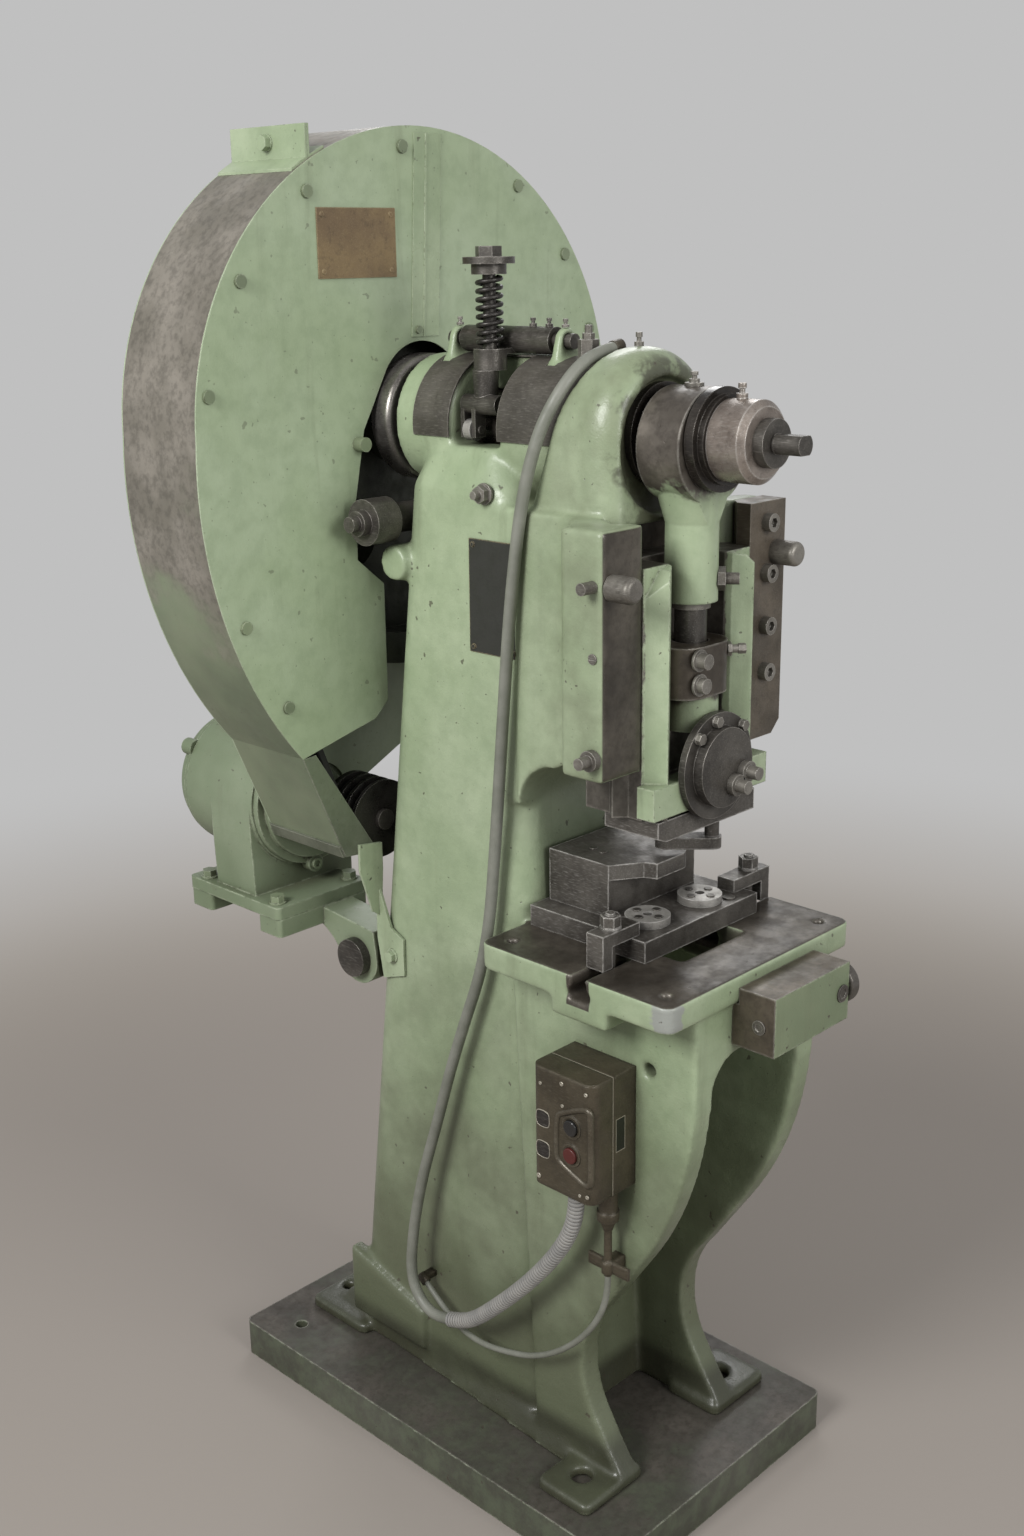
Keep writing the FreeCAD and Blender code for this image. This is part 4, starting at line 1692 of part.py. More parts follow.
def v_belt(y):
    """One belt: V-shaped in section, ruled between its inner and its outer line."""
    outer = BELT_HEIGHT + GROOVE_GAP
    top_front = belt_line(y - BELT_TOP_HALF, GROOVE_GAP)
    top_back = belt_line(y + BELT_TOP_HALF, GROOVE_GAP)
    low_front = belt_line(y - BELT_BOTTOM_HALF, outer)
    low_back = belt_line(y + BELT_BOTTOM_HALF, outer)
    outside = Part.makeRuledSurface(top_front, top_back)
    front_side = Part.makeRuledSurface(top_front, low_front)
    inside = Part.makeRuledSurface(low_front, low_back)
    back_side = Part.makeRuledSurface(low_back, top_back)
    faces = outside.Faces + front_side.Faces + inside.Faces + back_side.Faces
    shell = Part.makeShell(faces)
    shell.sewShape()
    return Part.makeSolid(shell)


def v_belts():
    return compound([v_belt(y) for y in belt_places()])


# ----------------------------------------------------------------------- motor
def motor_rod(front, back, radius):
    return rod(V(MOTOR_X, front, MOTOR_Z), Y_AXIS, radius, back - front)


def motor_pulley():
    body = motor_rod(PULLEY_FRONT, PULLEY_BACK, PULLEY_R)
    body = body.cut(motor_rod(PULLEY_FRONT, PULLEY_BACK, MOTOR_SHAFT_R + BUSH_GAP))
    for y in belt_places():
        body = body.cut(groove_tool(PULLEY_R, y, MOTOR_X, MOTOR_Z))
    return body


def motor_shaft():
    return motor_rod(PULLEY_FRONT - MOTOR_SHAFT_OVER, MOTOR_FRONT + MOTOR_SHAFT_DEPTH, MOTOR_SHAFT_R)


def motor_housing():
    """The motor's frame with its foot plate."""
    body = motor_rod(MOTOR_FRONT, MOTOR_BACK, MOTOR_R)
    foot_top = MOTOR_FOOT_TOP_Z
    pedestal = [
        (MOTOR_X - MOTOR_R + STAND_TOE_IN, foot_top - FOOT_PLATE_THICK),
        (MOTOR_X + STAND_RIGHT, foot_top - FOOT_PLATE_THICK),
        (MOTOR_X + STAND_RIGHT, MOTOR_Z - STAND_DROP),
        (MOTOR_X - MOTOR_R, MOTOR_Z),
        (MOTOR_X - MOTOR_R, MOTOR_Z - STAND_DROP),
    ]
    stand = front_plate(pedestal, MOTOR_FRONT + STAND_FRONT_IN, MOTOR_BACK - STAND_BACK_IN)
    plate = rounded_box(FOOT_LEFT, FOOT_RIGHT, FOOT_FRONT_Y, FOOT_BACK_Y,
                        foot_top - FOOT_PLATE_THICK, foot_top, FOOT_PLATE_CORNER)
    body = fused([body, stand, plate])
    return body.cut(motor_rod(MOTOR_FRONT, MOTOR_FRONT + MOTOR_BORE_DEPTH, MOTOR_SHAFT_R + MOTOR_BORE_ROOM))


def shield_lug_place():
    """The front end of the shield's lug."""
    z = MOTOR_Z - MOTOR_R + SHIELD_LUG_RISE
    return V(MOTOR_X - SHIELD_LUG_LEFT, SHIELD_FRONT + SHIELD_LUG_SETBACK, z)


def motor_front_shield():
    """The stepped end shield on the pulley side, with its bearing nose."""
    flange = motor_rod(SHIELD_FRONT + SHIELD_DISH, MOTOR_FRONT, MOTOR_R - SHIELD_FLANGE_IN)
    dish = motor_rod(SHIELD_FRONT, SHIELD_FRONT + SHIELD_DISH, SHIELD_R)
    nose = Part.makeCone(SHIELD_NOSE_R - SHIELD_NOSE_TAPER, SHIELD_NOSE_R, SHIELD_FRONT - SHIELD_NOSE_FRONT,
                         V(MOTOR_X, SHIELD_NOSE_FRONT, MOTOR_Z), Y_AXIS)
    lug = rod(shield_lug_place(), Y_AXIS, SHIELD_LUG_R, MOTOR_FRONT - SHIELD_FRONT - SHIELD_LUG_SETBACK)
    body = fused([flange, dish, nose, lug])
    return body.cut(motor_rod(SHIELD_NOSE_FRONT, MOTOR_FRONT, MOTOR_SHAFT_R + RUNNING_GAP))


def motor_rear_cap():
    """The fan cowl behind the motor, rounded at its edge, with the lug seen from the front."""
    body = motor_rod(MOTOR_BACK, CAP_BACK, CAP_R)
    rim = [e for e in body.Edges if e.BoundBox.YMin > CAP_BACK - 0.1]
    body = body.makeFillet(CAP_ROUND, rim)
    step = motor_rod(MOTOR_BACK, MOTOR_BACK + CAP_STEP, MOTOR_R - CAP_STEP_IN)
    lug = rod(V(MOTOR_X - CAP_LUG_LEFT, MOTOR_BACK, MOTOR_Z + CAP_LUG_RISE), Y_AXIS, CAP_LUG_R, CAP_LUG_LENGTH)
    return fused([body, step, lug])


def motor_bolts():
    """Foot bolts of the motor, the bolt in the front shield's lug and the belt tension bolt."""
    top = MOTOR_FOOT_TOP_Z
    bolts = []
    for x in (FOOT_LEFT + FOOT_BOLT_SIDE_IN, FOOT_RIGHT - FOOT_BOLT_SIDE_IN):
        for y in (FOOT_FRONT_Y + FOOT_BOLT_FRONT_IN, FOOT_BACK_Y - FOOT_BOLT_BACK_IN):
            bolts.append(hex_bolt(V(x, y, top), Z_AXIS, FOOT_BOLT_FLATS, FOOT_BOLT_HEIGHT,
                                  FOOT_WASHER_R, FOOT_WASHER_THICK))
    bolts.append(socket_screw(shield_lug_place(), -Y_AXIS, SHIELD_SCREW_R, SHIELD_SCREW_HEIGHT))
    seat = V((BRACKET_ARM_LEFT + BRACKET_ARM_RIGHT) / 2, PIN_Y + TENSION_SETBACK, PIN_Z - TENSION_DROP)
    aim = V(0, TENSION_AIM_Y, TENSION_AIM_Z)
    tip = rod(seat + aim * TENSION_NUT_THICK, aim, TENSION_STEM_R, TENSION_STEM_LENGTH)
    tension = hex_prism(seat, aim, TENSION_NUT_FLATS, TENSION_NUT_THICK).fuse(tip)
    bolts.append(tension.cut(bracket_eye(BUSH_GAP)))
    return compound(bolts)


def bracket_eye(gap):
    width = BRACKET_ARM_RIGHT - BRACKET_ARM_LEFT
    return rod(V(BRACKET_ARM_LEFT, PIN_Y, PIN_Z), X_AXIS, BRACKET_EYE_R + gap, width)


def motor_bracket():
    """The swinging bracket: lugs under the motor's foot, a deck and the arm with its eye on the pin."""
    deck_top = MOTOR_FOOT_TOP_Z - FOOT_PLATE_THICK
    lug_bottom = deck_top - BRACKET_LUG_HEIGHT
    deck = box(FOOT_LEFT + DECK_LEFT_IN, FOOT_RIGHT - DECK_RIGHT_IN, FOOT_FRONT_Y + DECK_END_IN,
               FOOT_BACK_Y - DECK_END_IN, deck_top - DECK_THICK, deck_top)
    front_lug = rounded_box(FOOT_LEFT + BRACKET_LUG_IN, FOOT_RIGHT, FOOT_FRONT_Y, FOOT_FRONT_Y + BRACKET_LUG,
                            lug_bottom, deck_top, BRACKET_LUG_CORNER)
    back_lug = rounded_box(FOOT_LEFT + BRACKET_LUG_IN, FOOT_RIGHT, FOOT_BACK_Y - BRACKET_LUG, FOOT_BACK_Y,
                           lug_bottom, deck_top, BRACKET_LUG_CORNER)
    reach = PIN_Y
    arm = [
        (FOOT_FRONT_Y + 20, deck_top),
        (reach - 34, PIN_Z + BRACKET_EYE_R + 4),
        (reach - BRACKET_EYE_R, PIN_Z),
        (reach - 20, PIN_Z - BRACKET_EYE_R + 6),
        (reach + 22, PIN_Z - BRACKET_EYE_R + 7),
        (reach + 46, PIN_Z + 8, "arc"),
        (FOOT_FRONT_Y + 20, lug_bottom + 4),
    ]
    wall = side_plate(arm, BRACKET_ARM_LEFT, BRACKET_ARM_RIGHT)
    body = fused([deck, front_lug, back_lug, wall, bracket_eye(0)])
    body = body.cut(rod(V(BRACKET_ARM_LEFT, PIN_Y, PIN_Z), X_AXIS, PIN_R + BUSH_GAP,
                        BRACKET_ARM_RIGHT - BRACKET_ARM_LEFT))
    return body.cut(bracket_relief())


def bracket_relief():
    """Keeps the bracket clear of the column's back."""
    half = COLUMN_FOOT_HALF + RELIEF_GAP
    return rounded_box(-half, half, COLUMN_FOOT_FRONT, RELIEF_BACK,
                       PIN_Z - RELIEF_BELOW, PIN_Z + RELIEF_ABOVE, COLUMN_CORNER)


def bracket_pin():
    """The bracket's pivot pin, with a wide head on its left end."""
    left = BRACKET_ARM_LEFT - PIN_HEAD_ROOT
    right = PIN_LUG_X + PIN_LUG_HALF + PIN_OVER
    shank = rod(V(left, PIN_Y, PIN_Z), X_AXIS, PIN_R, right - left)
    pin_head = rod(V(BRACKET_ARM_LEFT, PIN_Y, PIN_Z), -X_AXIS, PIN_HEAD_R, PIN_HEAD_THICK)
    return shank.fuse(pin_head)


def stay_shaft():
    """The stay between the column's lug and the guard, with a stepped bolt at its left end."""
    left = STAY_LEFT_X
    shaft = rod(V(left, STAY_Y, STAY_Z), X_AXIS, STAY_R, STAY_LUG_HALF + STAY_OVER - left)
    sleeve = rod(V(left, STAY_Y, STAY_Z), X_AXIS, STAY_SLEEVE_R, STAY_SLEEVE_END_X - left)
    nut = rod(V(left, STAY_Y, STAY_Z), -X_AXIS, STAY_NUT_R, STAY_NUT_THICK)
    tip = rod(V(left - STAY_NUT_THICK, STAY_Y, STAY_Z), -X_AXIS, STAY_TIP_R, STAY_TIP_LENGTH)
    return fused([shaft, sleeve, nut, tip])


# ------------------------------------------------------------- belt guard
def guard_outline():
    """The guard's outer line from its left knee over the top to its right knee."""
    return [
        (-GUARD_KNEE_X, GUARD_KNEE_Z),
        (-GUARD_SIDE_X, GUARD_LEFT_TURN_Z, "arc"),
        (-GUARD_R, GUARD_Z),
        (0, GUARD_Z + GUARD_R, "arc"),
        (GUARD_R, GUARD_Z),
        (GUARD_SIDE_X, GUARD_LEFT_TURN_Z, "arc"),
        (GUARD_KNEE_X, GUARD_KNEE_Z),
    ]


def guard_face_plate():
    """The guard's face, cut out round the column and the shaft housing."""
    right = [
        (154.0, 1000.0),
        (101.0, 1012.0),
        (NOTCH_IN, 1034.0),
        (NOTCH_IN, 1189.0),
        (NOTCH_SHOULDER, 1225.0),
        (NOTCH_SHOULDER - 1, 1301.0),
        (102.0, 1387.0),
        (61.0, 1459.0),
    ]
    left = [(-x, z) for x, z in reversed(right)]
    outline = guard_outline() + right + [(0, NOTCH_TOP_Z, "arc")] + left
    return front_plate(outline, GUARD_FRONT, GUARD_FRONT + SHEET)


def guard_body(inset):
    """The space inside the guard's outer line, drawn in by an inset, down to the chute's end."""
    outline = [(CHUTE_END_X, CHUTE_END_Z)] + guard_outline()
    face = outline_face(outline, lambda x, z: V(x, GUARD_FRONT + SHEET, z))
    if inset:
        face = face.makeOffset2D(-inset)
    return face.extrude(V(0, GUARD_BACK - GUARD_FRONT - 2 * SHEET, 0))


def guard_band():
    """The sheet that runs round the guard between its two plates, open below on the right."""
    band = guard_body(0).cut(guard_body(SHEET))
    opening = [
        (CHUTE_END_X + SHEET, CHUTE_END_Z - SHEET * 10),
        (CHUTE_END_X + SHEET, CHUTE_END_Z + SHEET * 4),
        (0, GUARD_KNEE_Z - SHEET * 10),
        (GUARD_KNEE_X - SHEET * 4, GUARD_KNEE_Z),
        (GUARD_KNEE_X + SHEET * 10, GUARD_KNEE_Z),
        (GUARD_KNEE_X + SHEET * 10, CHUTE_END_Z - SHEET * 10),
    ]
    return band.cut(front_plate(opening, GUARD_FRONT, GUARD_BACK))


def guard_back_plate():
    points = [(CHUTE_END_X, CHUTE_END_Z)] + guard_outline() + [(CHUTE_IN_X, CHUTE_IN_Z)]
    plate = front_plate(points, GUARD_BACK - SHEET, GUARD_BACK)
    return plate.cut(motor_rod(GUARD_BACK - SHEET, GUARD_BACK, NOSE_HOLE_R))


def chute_strip():
    points = [
        (-GUARD_KNEE_X, GUARD_KNEE_Z),
        (CHUTE_STRIP_RIGHT_X, GUARD_KNEE_Z + 1),
        (CHUTE_IN_X, CHUTE_IN_Z),
        (CHUTE_END_X, CHUTE_END_Z),
    ]
    return front_plate(points, GUARD_FRONT, GUARD_FRONT + SHEET)


def guard_irons():
    """Two angle irons back to back on the guard's top, their feet on the band."""
    band_z = GUARD_Z + math.sqrt(GUARD_R ** 2 - IRON_X ** 2)
    collar = ring(V(0, IRON_FRONT, GUARD_Z), Y_AXIS, GUARD_R + IRON_THICK, GUARD_R, IRON_BACK - IRON_FRONT)
    irons = []
    for left, reach in ((IRON_X, -IRON_FOOT), (IRON_X + IRON_THICK + SEAT_GAP, IRON_THICK + IRON_FOOT)):
        upright = box(left, left + IRON_THICK, IRON_FRONT, IRON_BACK, band_z - 20, IRON_TOP_Z)
        upright = upright.cut(rod(V(0, IRON_FRONT, GUARD_Z), Y_AXIS, GUARD_R, IRON_BACK - IRON_FRONT))
        foot = collar.common(box(min(left, left + reach), max(left, left + reach),
                                 IRON_FRONT, IRON_BACK, GUARD_Z, IRON_TOP_Z))
        irons.append(fused([upright, foot]))
    irons.append(hex_bolt(V(IRON_X, IRON_BOLT_Y, IRON_BOLT_Z), -X_AXIS, 16.0, 8.0, 10.0, 2.0))
    return irons


def end_plate():
    """The thick plate across the chute's lower end."""
    run = math.hypot(GUARD_KNEE_X + CHUTE_END_X, GUARD_KNEE_Z - CHUTE_END_Z)
    along = V((-GUARD_KNEE_X - CHUTE_END_X) / run, 0, (GUARD_KNEE_Z - CHUTE_END_Z) / run)
    out = V(-along.z, 0, along.x)
    start = V(CHUTE_END_X, GUARD_FRONT + SHEET, CHUTE_END_Z)
    end = start + along * END_PLATE_LENGTH
    corners = [start, end, end + out * END_PLATE_THICK, start + out * END_PLATE_THICK]
    face = Part.Face(Part.makePolygon(corners + corners[:1]))
    return face.extrude(V(0, GUARD_BACK - GUARD_FRONT - 2 * SHEET, 0))


def leaning_strip(left, right, front, back):
    """An upright strip on the guard's face, its foot moved sideways."""
    points = [
        (left - COVER_STRIP_LEAN, FACE_SLIT_BOTTOM_Z),
        (right - COVER_STRIP_LEAN, FACE_SLIT_BOTTOM_Z),
        (right, COVER_STRIP_TOP_Z),
        (left, COVER_STRIP_TOP_Z),
    ]
    return front_plate(points, front, back)


def guard_trim():
    """The cover strip, the chute's face strip and end plate, and the angle irons on top."""
    front = GUARD_FRONT - COVER_STRIP_THICK
    strip = leaning_strip(FACE_SLIT_LEFT, FACE_SLIT_RIGHT, front, GUARD_FRONT)
    fold = leaning_strip(COVER_FOLD_X, COVER_FOLD_X + COVER_FOLD_WIDTH, front - 1, front)
    return compound([fused([strip, fold]), chute_strip(), end_plate()] + guard_irons())


def guard_screws():
    """The screws round the guard's face, the one on the cover strip and the latch knob."""
    screws = [rod(V(x, GUARD_FRONT, z), -Y_AXIS, SCREW_R, SCREW_HEIGHT)
              for x, z in zip(GUARD_SCREW_X, GUARD_SCREW_Z)]
    screws.append(rod(V(STRIP_SCREW_X, GUARD_FRONT - COVER_STRIP_THICK, STRIP_SCREW_Z), -Y_AXIS, SCREW_R * 0.6,
                      SCREW_HEIGHT))
    knob = rod(V(KNOB_LATCH_X, GUARD_FRONT, KNOB_LATCH_Z), -Y_AXIS, KNOB_LATCH_R, KNOB_LATCH_LENGTH)
    screws.append(knob)
    return compound(screws)


def name_plates():
    """The bare plate on the guard and the bare data plate on the column, with their rivets."""
    front = GUARD_FRONT - TAG_THICK
    pieces = [box(TAG_LEFT, TAG_RIGHT, front, GUARD_FRONT, TAG_BOTTOM_Z, TAG_TOP_Z)]
    for x in (TAG_LEFT + 8, TAG_RIGHT - 8):
        for z in (TAG_BOTTOM_Z + 8, TAG_TOP_Z - 8):
            pieces[0] = pieces[0].fuse(rod(V(x, front, z), -Y_AXIS, RIVET_R, RIVET_HEIGHT))
    low = column_half(DATA_BOTTOM_Z)
    high = column_half(DATA_TOP_Z)
    points = [
        (-low, DATA_BOTTOM_Z),
        (-low - DATA_THICK, DATA_BOTTOM_Z),
        (-high - DATA_THICK, DATA_TOP_Z),
        (-high, DATA_TOP_Z),
    ]
    data = front_plate(points, DATA_FRONT + 2, DATA_BACK)
    for y in (DATA_FRONT + 9, DATA_BACK - 7):
        for z in (DATA_BOTTOM_Z + 7, DATA_TOP_Z - 7):
            data = data.fuse(rod(V(-column_half(z) - 0.5, y, z), -X_AXIS, RIVET_R, DATA_THICK + RIVET_HEIGHT))
    pieces.append(data)
    return compound(pieces)


def guard_strap():
    """The bent strap from the chute's end down to the column's left side."""
    upper = [
        (-142.0, 846.0),
        (-102.0, 840.0),
        (-102.0, 803.0),
        (-106.0, 745.0),
        (-112.0, 738.0),
        (-122.0, 745.0),
        (-142.0, 807.0),
    ]
    face = front_plate(upper, GUARD_FRONT - STRAP_THICK, GUARD_FRONT)
    inner = -column_half(646.0) - STRAP_GAP
    lower = [
        (GUARD_FRONT, 775.0),
        (GUARD_FRONT - STRAP_THICK, 775.0),
        (130.0, 723.0),
        (106.0, 712.0),
        (106.0, 660.0),
        (148.0, 646.0),
        (158.0, 702.0),
        (158.0, 760.0),
    ]
    side = side_plate(lower, inner - STRAP_THICK, inner)
    bolt = hex_bolt(V(inner - STRAP_THICK, 128.0, 684.0), -X_AXIS, 14.0, 7.0, 10.0, 2.0)
    return fused([face.cut(side), side, bolt])


# ------------------------------------------------------------- control box
def control_shell(inset):
    shell = rounded_box(CONTROL_OUT + inset, -LEG_OUT + 60, CONTROL_FRONT + inset, CONTROL_BACK - inset,
                        CONTROL_BOTTOM_Z + inset, CONTROL_TOP_Z - inset, CONTROL_ROUND - inset)
    return shell


def button_rod(y, z, x0, radius, length):
    return rod(V(x0, y, z), X_AXIS, radius, length)


def control_box_cover():
    """The box's outer half, with raised rings round the two buttons."""
    reach = box(CONTROL_OUT - CUT_OVER, CONTROL_SPLIT, CONTROL_FRONT - CUT_OVER, CONTROL_BACK + CUT_OVER,
                CONTROL_BOTTOM_Z - CUT_OVER, CONTROL_TOP_Z + CUT_OVER)
    body = control_shell(0).common(reach)
    for y, z in ((START_Y, START_Z), (STOP_Y, STOP_Z)):
        body = body.fuse(button_rod(y, z, CONTROL_OUT - BEZEL_THICK, BEZEL_R, BEZEL_THICK + 1))
    body = body.cut(control_shell(CONTROL_WALL))
    for y, z in ((START_Y, START_Z), (STOP_Y, STOP_Z)):
        body = body.cut(button_rod(y, z, CONTROL_OUT - 5, BUTTON_R + BUTTON_GAP, 20.0))
    return body.removeSplitter()


def control_box_back():
    body = box(CONTROL_SPLIT, -LEG_OUT, CONTROL_FRONT, CONTROL_BACK, CONTROL_BOTTOM_Z, CONTROL_TOP_Z)
    inner = box(CONTROL_SPLIT, -LEG_OUT - CONTROL_WALL, CONTROL_FRONT + CONTROL_WALL, CONTROL_BACK - CONTROL_WALL,
                CONTROL_BOTTOM_Z + CONTROL_WALL, CONTROL_TOP_Z - CONTROL_WALL)
    return body.cut(inner)


def button(y, z):
    """A push button with the flange behind the cover that keeps it in."""
    cap = button_rod(y, z, BUTTON_OUT, BUTTON_R, BUTTON_LENGTH)
    rim = [e for e in cap.Edges if e.BoundBox.XMax < BUTTON_OUT + 0.1]
    cap = cap.makeFillet(1.5, rim)
    flange_x = CONTROL_OUT + CONTROL_WALL + BUTTON_GAP
    return cap.fuse(button_rod(y, z, flange_x, BUTTON_FLANGE_R, BUTTON_OUT + BUTTON_LENGTH - flange_x))


def start_button():
    return button(START_Y, START_Z)


def stop_button():
    return button(STOP_Y, STOP_Z)


def box_fittings():
    """The gland under the box, the thin pipe below it and the clip that holds the pipe to the leg."""
    top = CONTROL_BOTTOM_Z
    ring_top = top - GLAND_LENGTH
    ring_bottom = ring_top - GLAND_RING_THICK
    gland = fused([
        rod(V(PIPE_X, PIPE_Y, ring_top), Z_AXIS, GLAND_R, GLAND_LENGTH),
        rod(V(PIPE_X, PIPE_Y, ring_bottom), Z_AXIS, GLAND_RING_R, GLAND_RING_THICK),
        Part.makeCone(PIPE_R + GLAND_CONE_STEP, GLAND_R - GLAND_CONE_STEP, GLAND_CONE_LENGTH,
                      V(PIPE_X, PIPE_Y, ring_bottom - GLAND_CONE_LENGTH), Z_AXIS),
        rod(V(PIPE_X, PIPE_Y, PIPE_BOTTOM_Z), Z_AXIS, PIPE_R, ring_bottom - PIPE_SINK - PIPE_BOTTOM_Z),
    ])
    low = SADDLE_CLIP_Z - SADDLE_CLIP_WIDTH / 2
    high = SADDLE_CLIP_Z + SADDLE_CLIP_WIDTH / 2
    outer_r = PIPE_R + SADDLE_CLIP_WALL
    clip = fused([
        box(PIPE_X, PIPE_X + SADDLE_EAR_THICK, PIPE_Y - CLIP_EAR_REACH, PIPE_Y + CLIP_EAR_REACH, low, high),
        box(PIPE_X, -LEG_OUT, PIPE_Y - outer_r, PIPE_Y + outer_r, low, high),
        rod(V(PIPE_X, PIPE_Y, low), Z_AXIS, outer_r, SADDLE_CLIP_WIDTH),
    ])
    clip = clip.cut(rod(V(PIPE_X, PIPE_Y, low), Z_AXIS, PIPE_R, SADDLE_CLIP_WIDTH))
    outlet = rod(V(CONDUIT_LINE[0][0], CONDUIT_LINE[0][1], top - OUTLET_LENGTH), Z_AXIS,
                 CONDUIT_R + OUTLET_WALL, OUTLET_LENGTH)
    return compound([gland, clip, outlet] + cord_clips())


# ------------------------------------------------------------- cords
CONDUIT_LINE = (
    (-163.0, -254.0, 503.0),
    (-163.0, -254.0, 470.0),
    (-163.0, -240.0, 428.0),
    (-163.0, -208.0, 378.0),
    (-163.0, -160.0, 320.0),
    (-163.0, -108.0, 266.0),
    (-161.5, -72.0, 232.0),
    (-160.0, -42.0, 212.0),
    (-160.0, -18.0, 204.0),
)
CABLE_LINE = (
    (-160.0, -18.0, 204.0),
    (-160.0, 8.6, 195.2),
    (-158.5, 36.0, 201.0),
    (-156.0, 57.0, 219.5),
    (-153.0, 66.0, 246.0),
    (-150.0, 64.0, 290.0),
    (-147.0, 56.0, 344.0),
    (-143.0, 42.0, 406.0),
    (-138.0, 20.0, 480.0),
    (-134.0, -6.0, 570.0),
    (-131.0, -34.0, 650.0),
    (-128.0, -58.0, 715.0),
    (-125.0, -74.0, 790.0),
    (-124.0, -84.0, 880.0),
    (-123.5, -94.0, 980.0),
    (-123.0, -104.0, 1084.0),
    (-122.0, -113.0, 1180.0),
    (-119.0, -121.0, 1255.0),
    (-116.0, -129.0, 1315.0),
    (-113.5, -141.0, 1366.0),
    (-107.0, -154.0, 1410.0),
    (-92.0, -167.0, 1446.0),
    (-67.0, -173.0, 1473.0),
    (-38.0, -175.0, 1487.0),
    (-8.0, -175.0, 1491.5),
)
THIN_LINE = (
    (-145.0, -289.0, 388.0),
    (-145.0, -289.0, 352.0),
    (-149.0, -266.0, 300.0),
    (-150.0, -222.0, 250.0),
    (-150.0, -168.0, 212.0),
    (-150.0, -112.0, 193.0),
    (-150.0, -64.0, 184.0),
    (-144.0, -20.0, 184.0),
    (-136.0, 22.0, 194.0),
    (-132.0, 58.0, 214.0),
)


def cord_wire(line, label):
    """Straight runs joined by tangent arcs; prints the arcs' radii."""
    points = [V(*p) for p in line]
    edges = []
    here = points[0]
    radii = []
    for before, corner, after in zip(points, points[1:], points[2:]):
        inward = (corner - before).normalize()
        outward = (after - corner).normalize()
        turn = inward.getAngle(outward)
        reach = ARC_SHARE * min(before.distanceToPoint(corner), corner.distanceToPoint(after))
        radius = reach / math.tan(turn / 2)
        start = corner - inward * reach
        end = corner + outward * reach
        bisector = (outward - inward).normalize()
        middle = corner + bisector * (radius / math.cos(turn / 2) - radius)
        edges.append(Part.LineSegment(here, start).toShape())
        edges.append(Part.Arc(start, middle, end).toShape())
        here = end
        radii.append(round(radius))
    edges.append(Part.LineSegment(here, points[-1]).toShape())
    wire = Part.Wire(edges)
    print(label, "arc radii", radii, "length", round(wire.Length, 1))
    return wire


def tube(line, radius, label):
    wire = cord_wire(line, label)
    first = V(*line[0])
    heading = (V(*line[1]) - first).normalize()
    section = Part.Wire([Part.Circle(first, heading, radius).toShape()])
    body = wire.makePipeShell([section], True, False)
    expected = math.pi * radius ** 2 * wire.Length
    print(label, "volume over section times length", round(body.Volume / expected, 4))
    return body


def ribbed_conduit():
    """A hose with ribs: four circles make each rib, on one steady X axis."""
    wire = cord_wire(CONDUIT_LINE, "ribbed_conduit")
    ribs = int(wire.Length / CONDUIT_PITCH)
    step = wire.Length / ribs
    profile = ((0.0, CONDUIT_CORE_R), (0.3, CONDUIT_R), (0.62, CONDUIT_R), (0.92, CONDUIT_CORE_R))
    stations = [(step * (k + share), radius) for k in range(ribs) for share, radius in profile]
    stations.append((wire.Length, CONDUIT_CORE_R))
    ends = [(0.0, CONDUIT_BORE_R)]
    ends += [(step * k, CONDUIT_BORE_R) for k in range(1, ribs)]
    ends.append((wire.Length, CONDUIT_BORE_R))
    outer = Part.makeLoft([steady_circle(wire, s, r) for s, r in stations], True, True)
    bore = Part.makeLoft([steady_circle(wire, s, r) for s, r in ends], True, True)
    return outer.cut(bore)


def place_on(wire, length):
    """The point and the heading at a length along a wire."""
    rest = length
    edges = wire.OrderedEdges
    for edge in edges[:-1]:
        if rest <= edge.Length:
            break
        rest -= edge.Length
    else:
        edge = edges[-1]
    where = edge.getParameterByLength(min(rest, edge.Length))
    return edge.valueAt(where), edge.tangentAt(where)


def steady_circle(wire, length, radius):
    """A round section square to the wire, its seam kept on the X side."""
    point, heading = place_on(wire, length)
    side = (X_AXIS - heading * X_AXIS.dot(heading)).normalize()
    rotation = FreeCAD.Rotation(side, heading.cross(side), heading, "ZXY")
    circle = Part.Circle()
    circle.Radius = radius
    edge = circle.toShape()
    edge.Placement = FreeCAD.Placement(point, rotation)
    return Part.Wire([edge])


def main_cable():
    return tube(CABLE_LINE, CABLE_R, "main_cable")


def thin_cable():
    return tube(THIN_LINE, THIN_R, "thin_cable")


def end_clip(line, radius):
    """A short sleeve that takes a cord's end."""
    end = V(*line[-1])
    return rod(end, (end - V(*line[-2])).normalize(), radius, CLIP_LENGTH)


def cord_clips():
    """The sleeves that take the thin cord's end on the column and the main cord's end on the housing."""
    thin_end = V(*THIN_LINE[-1])
    foot = box(thin_end.x, -column_half(thin_end.z), thin_end.y + 2, thin_end.y + 14,
               thin_end.z, thin_end.z + 8)
    main_end = V(*CABLE_LINE[-1])
    block = box(main_end.x + 2, main_end.x + CLIP_LENGTH - 1, main_end.y - 6, main_end.y + 6,
                SHAFT_Z + HOUSING_R, main_end.z)
    main_clip = end_clip(CABLE_LINE, CABLE_R + 1).fuse(block)
    return [end_clip(THIN_LINE, THIN_R + 3).fuse(foot), seated(main_clip, 0, SHAFT_Z, SADDLE_OUT_R)]


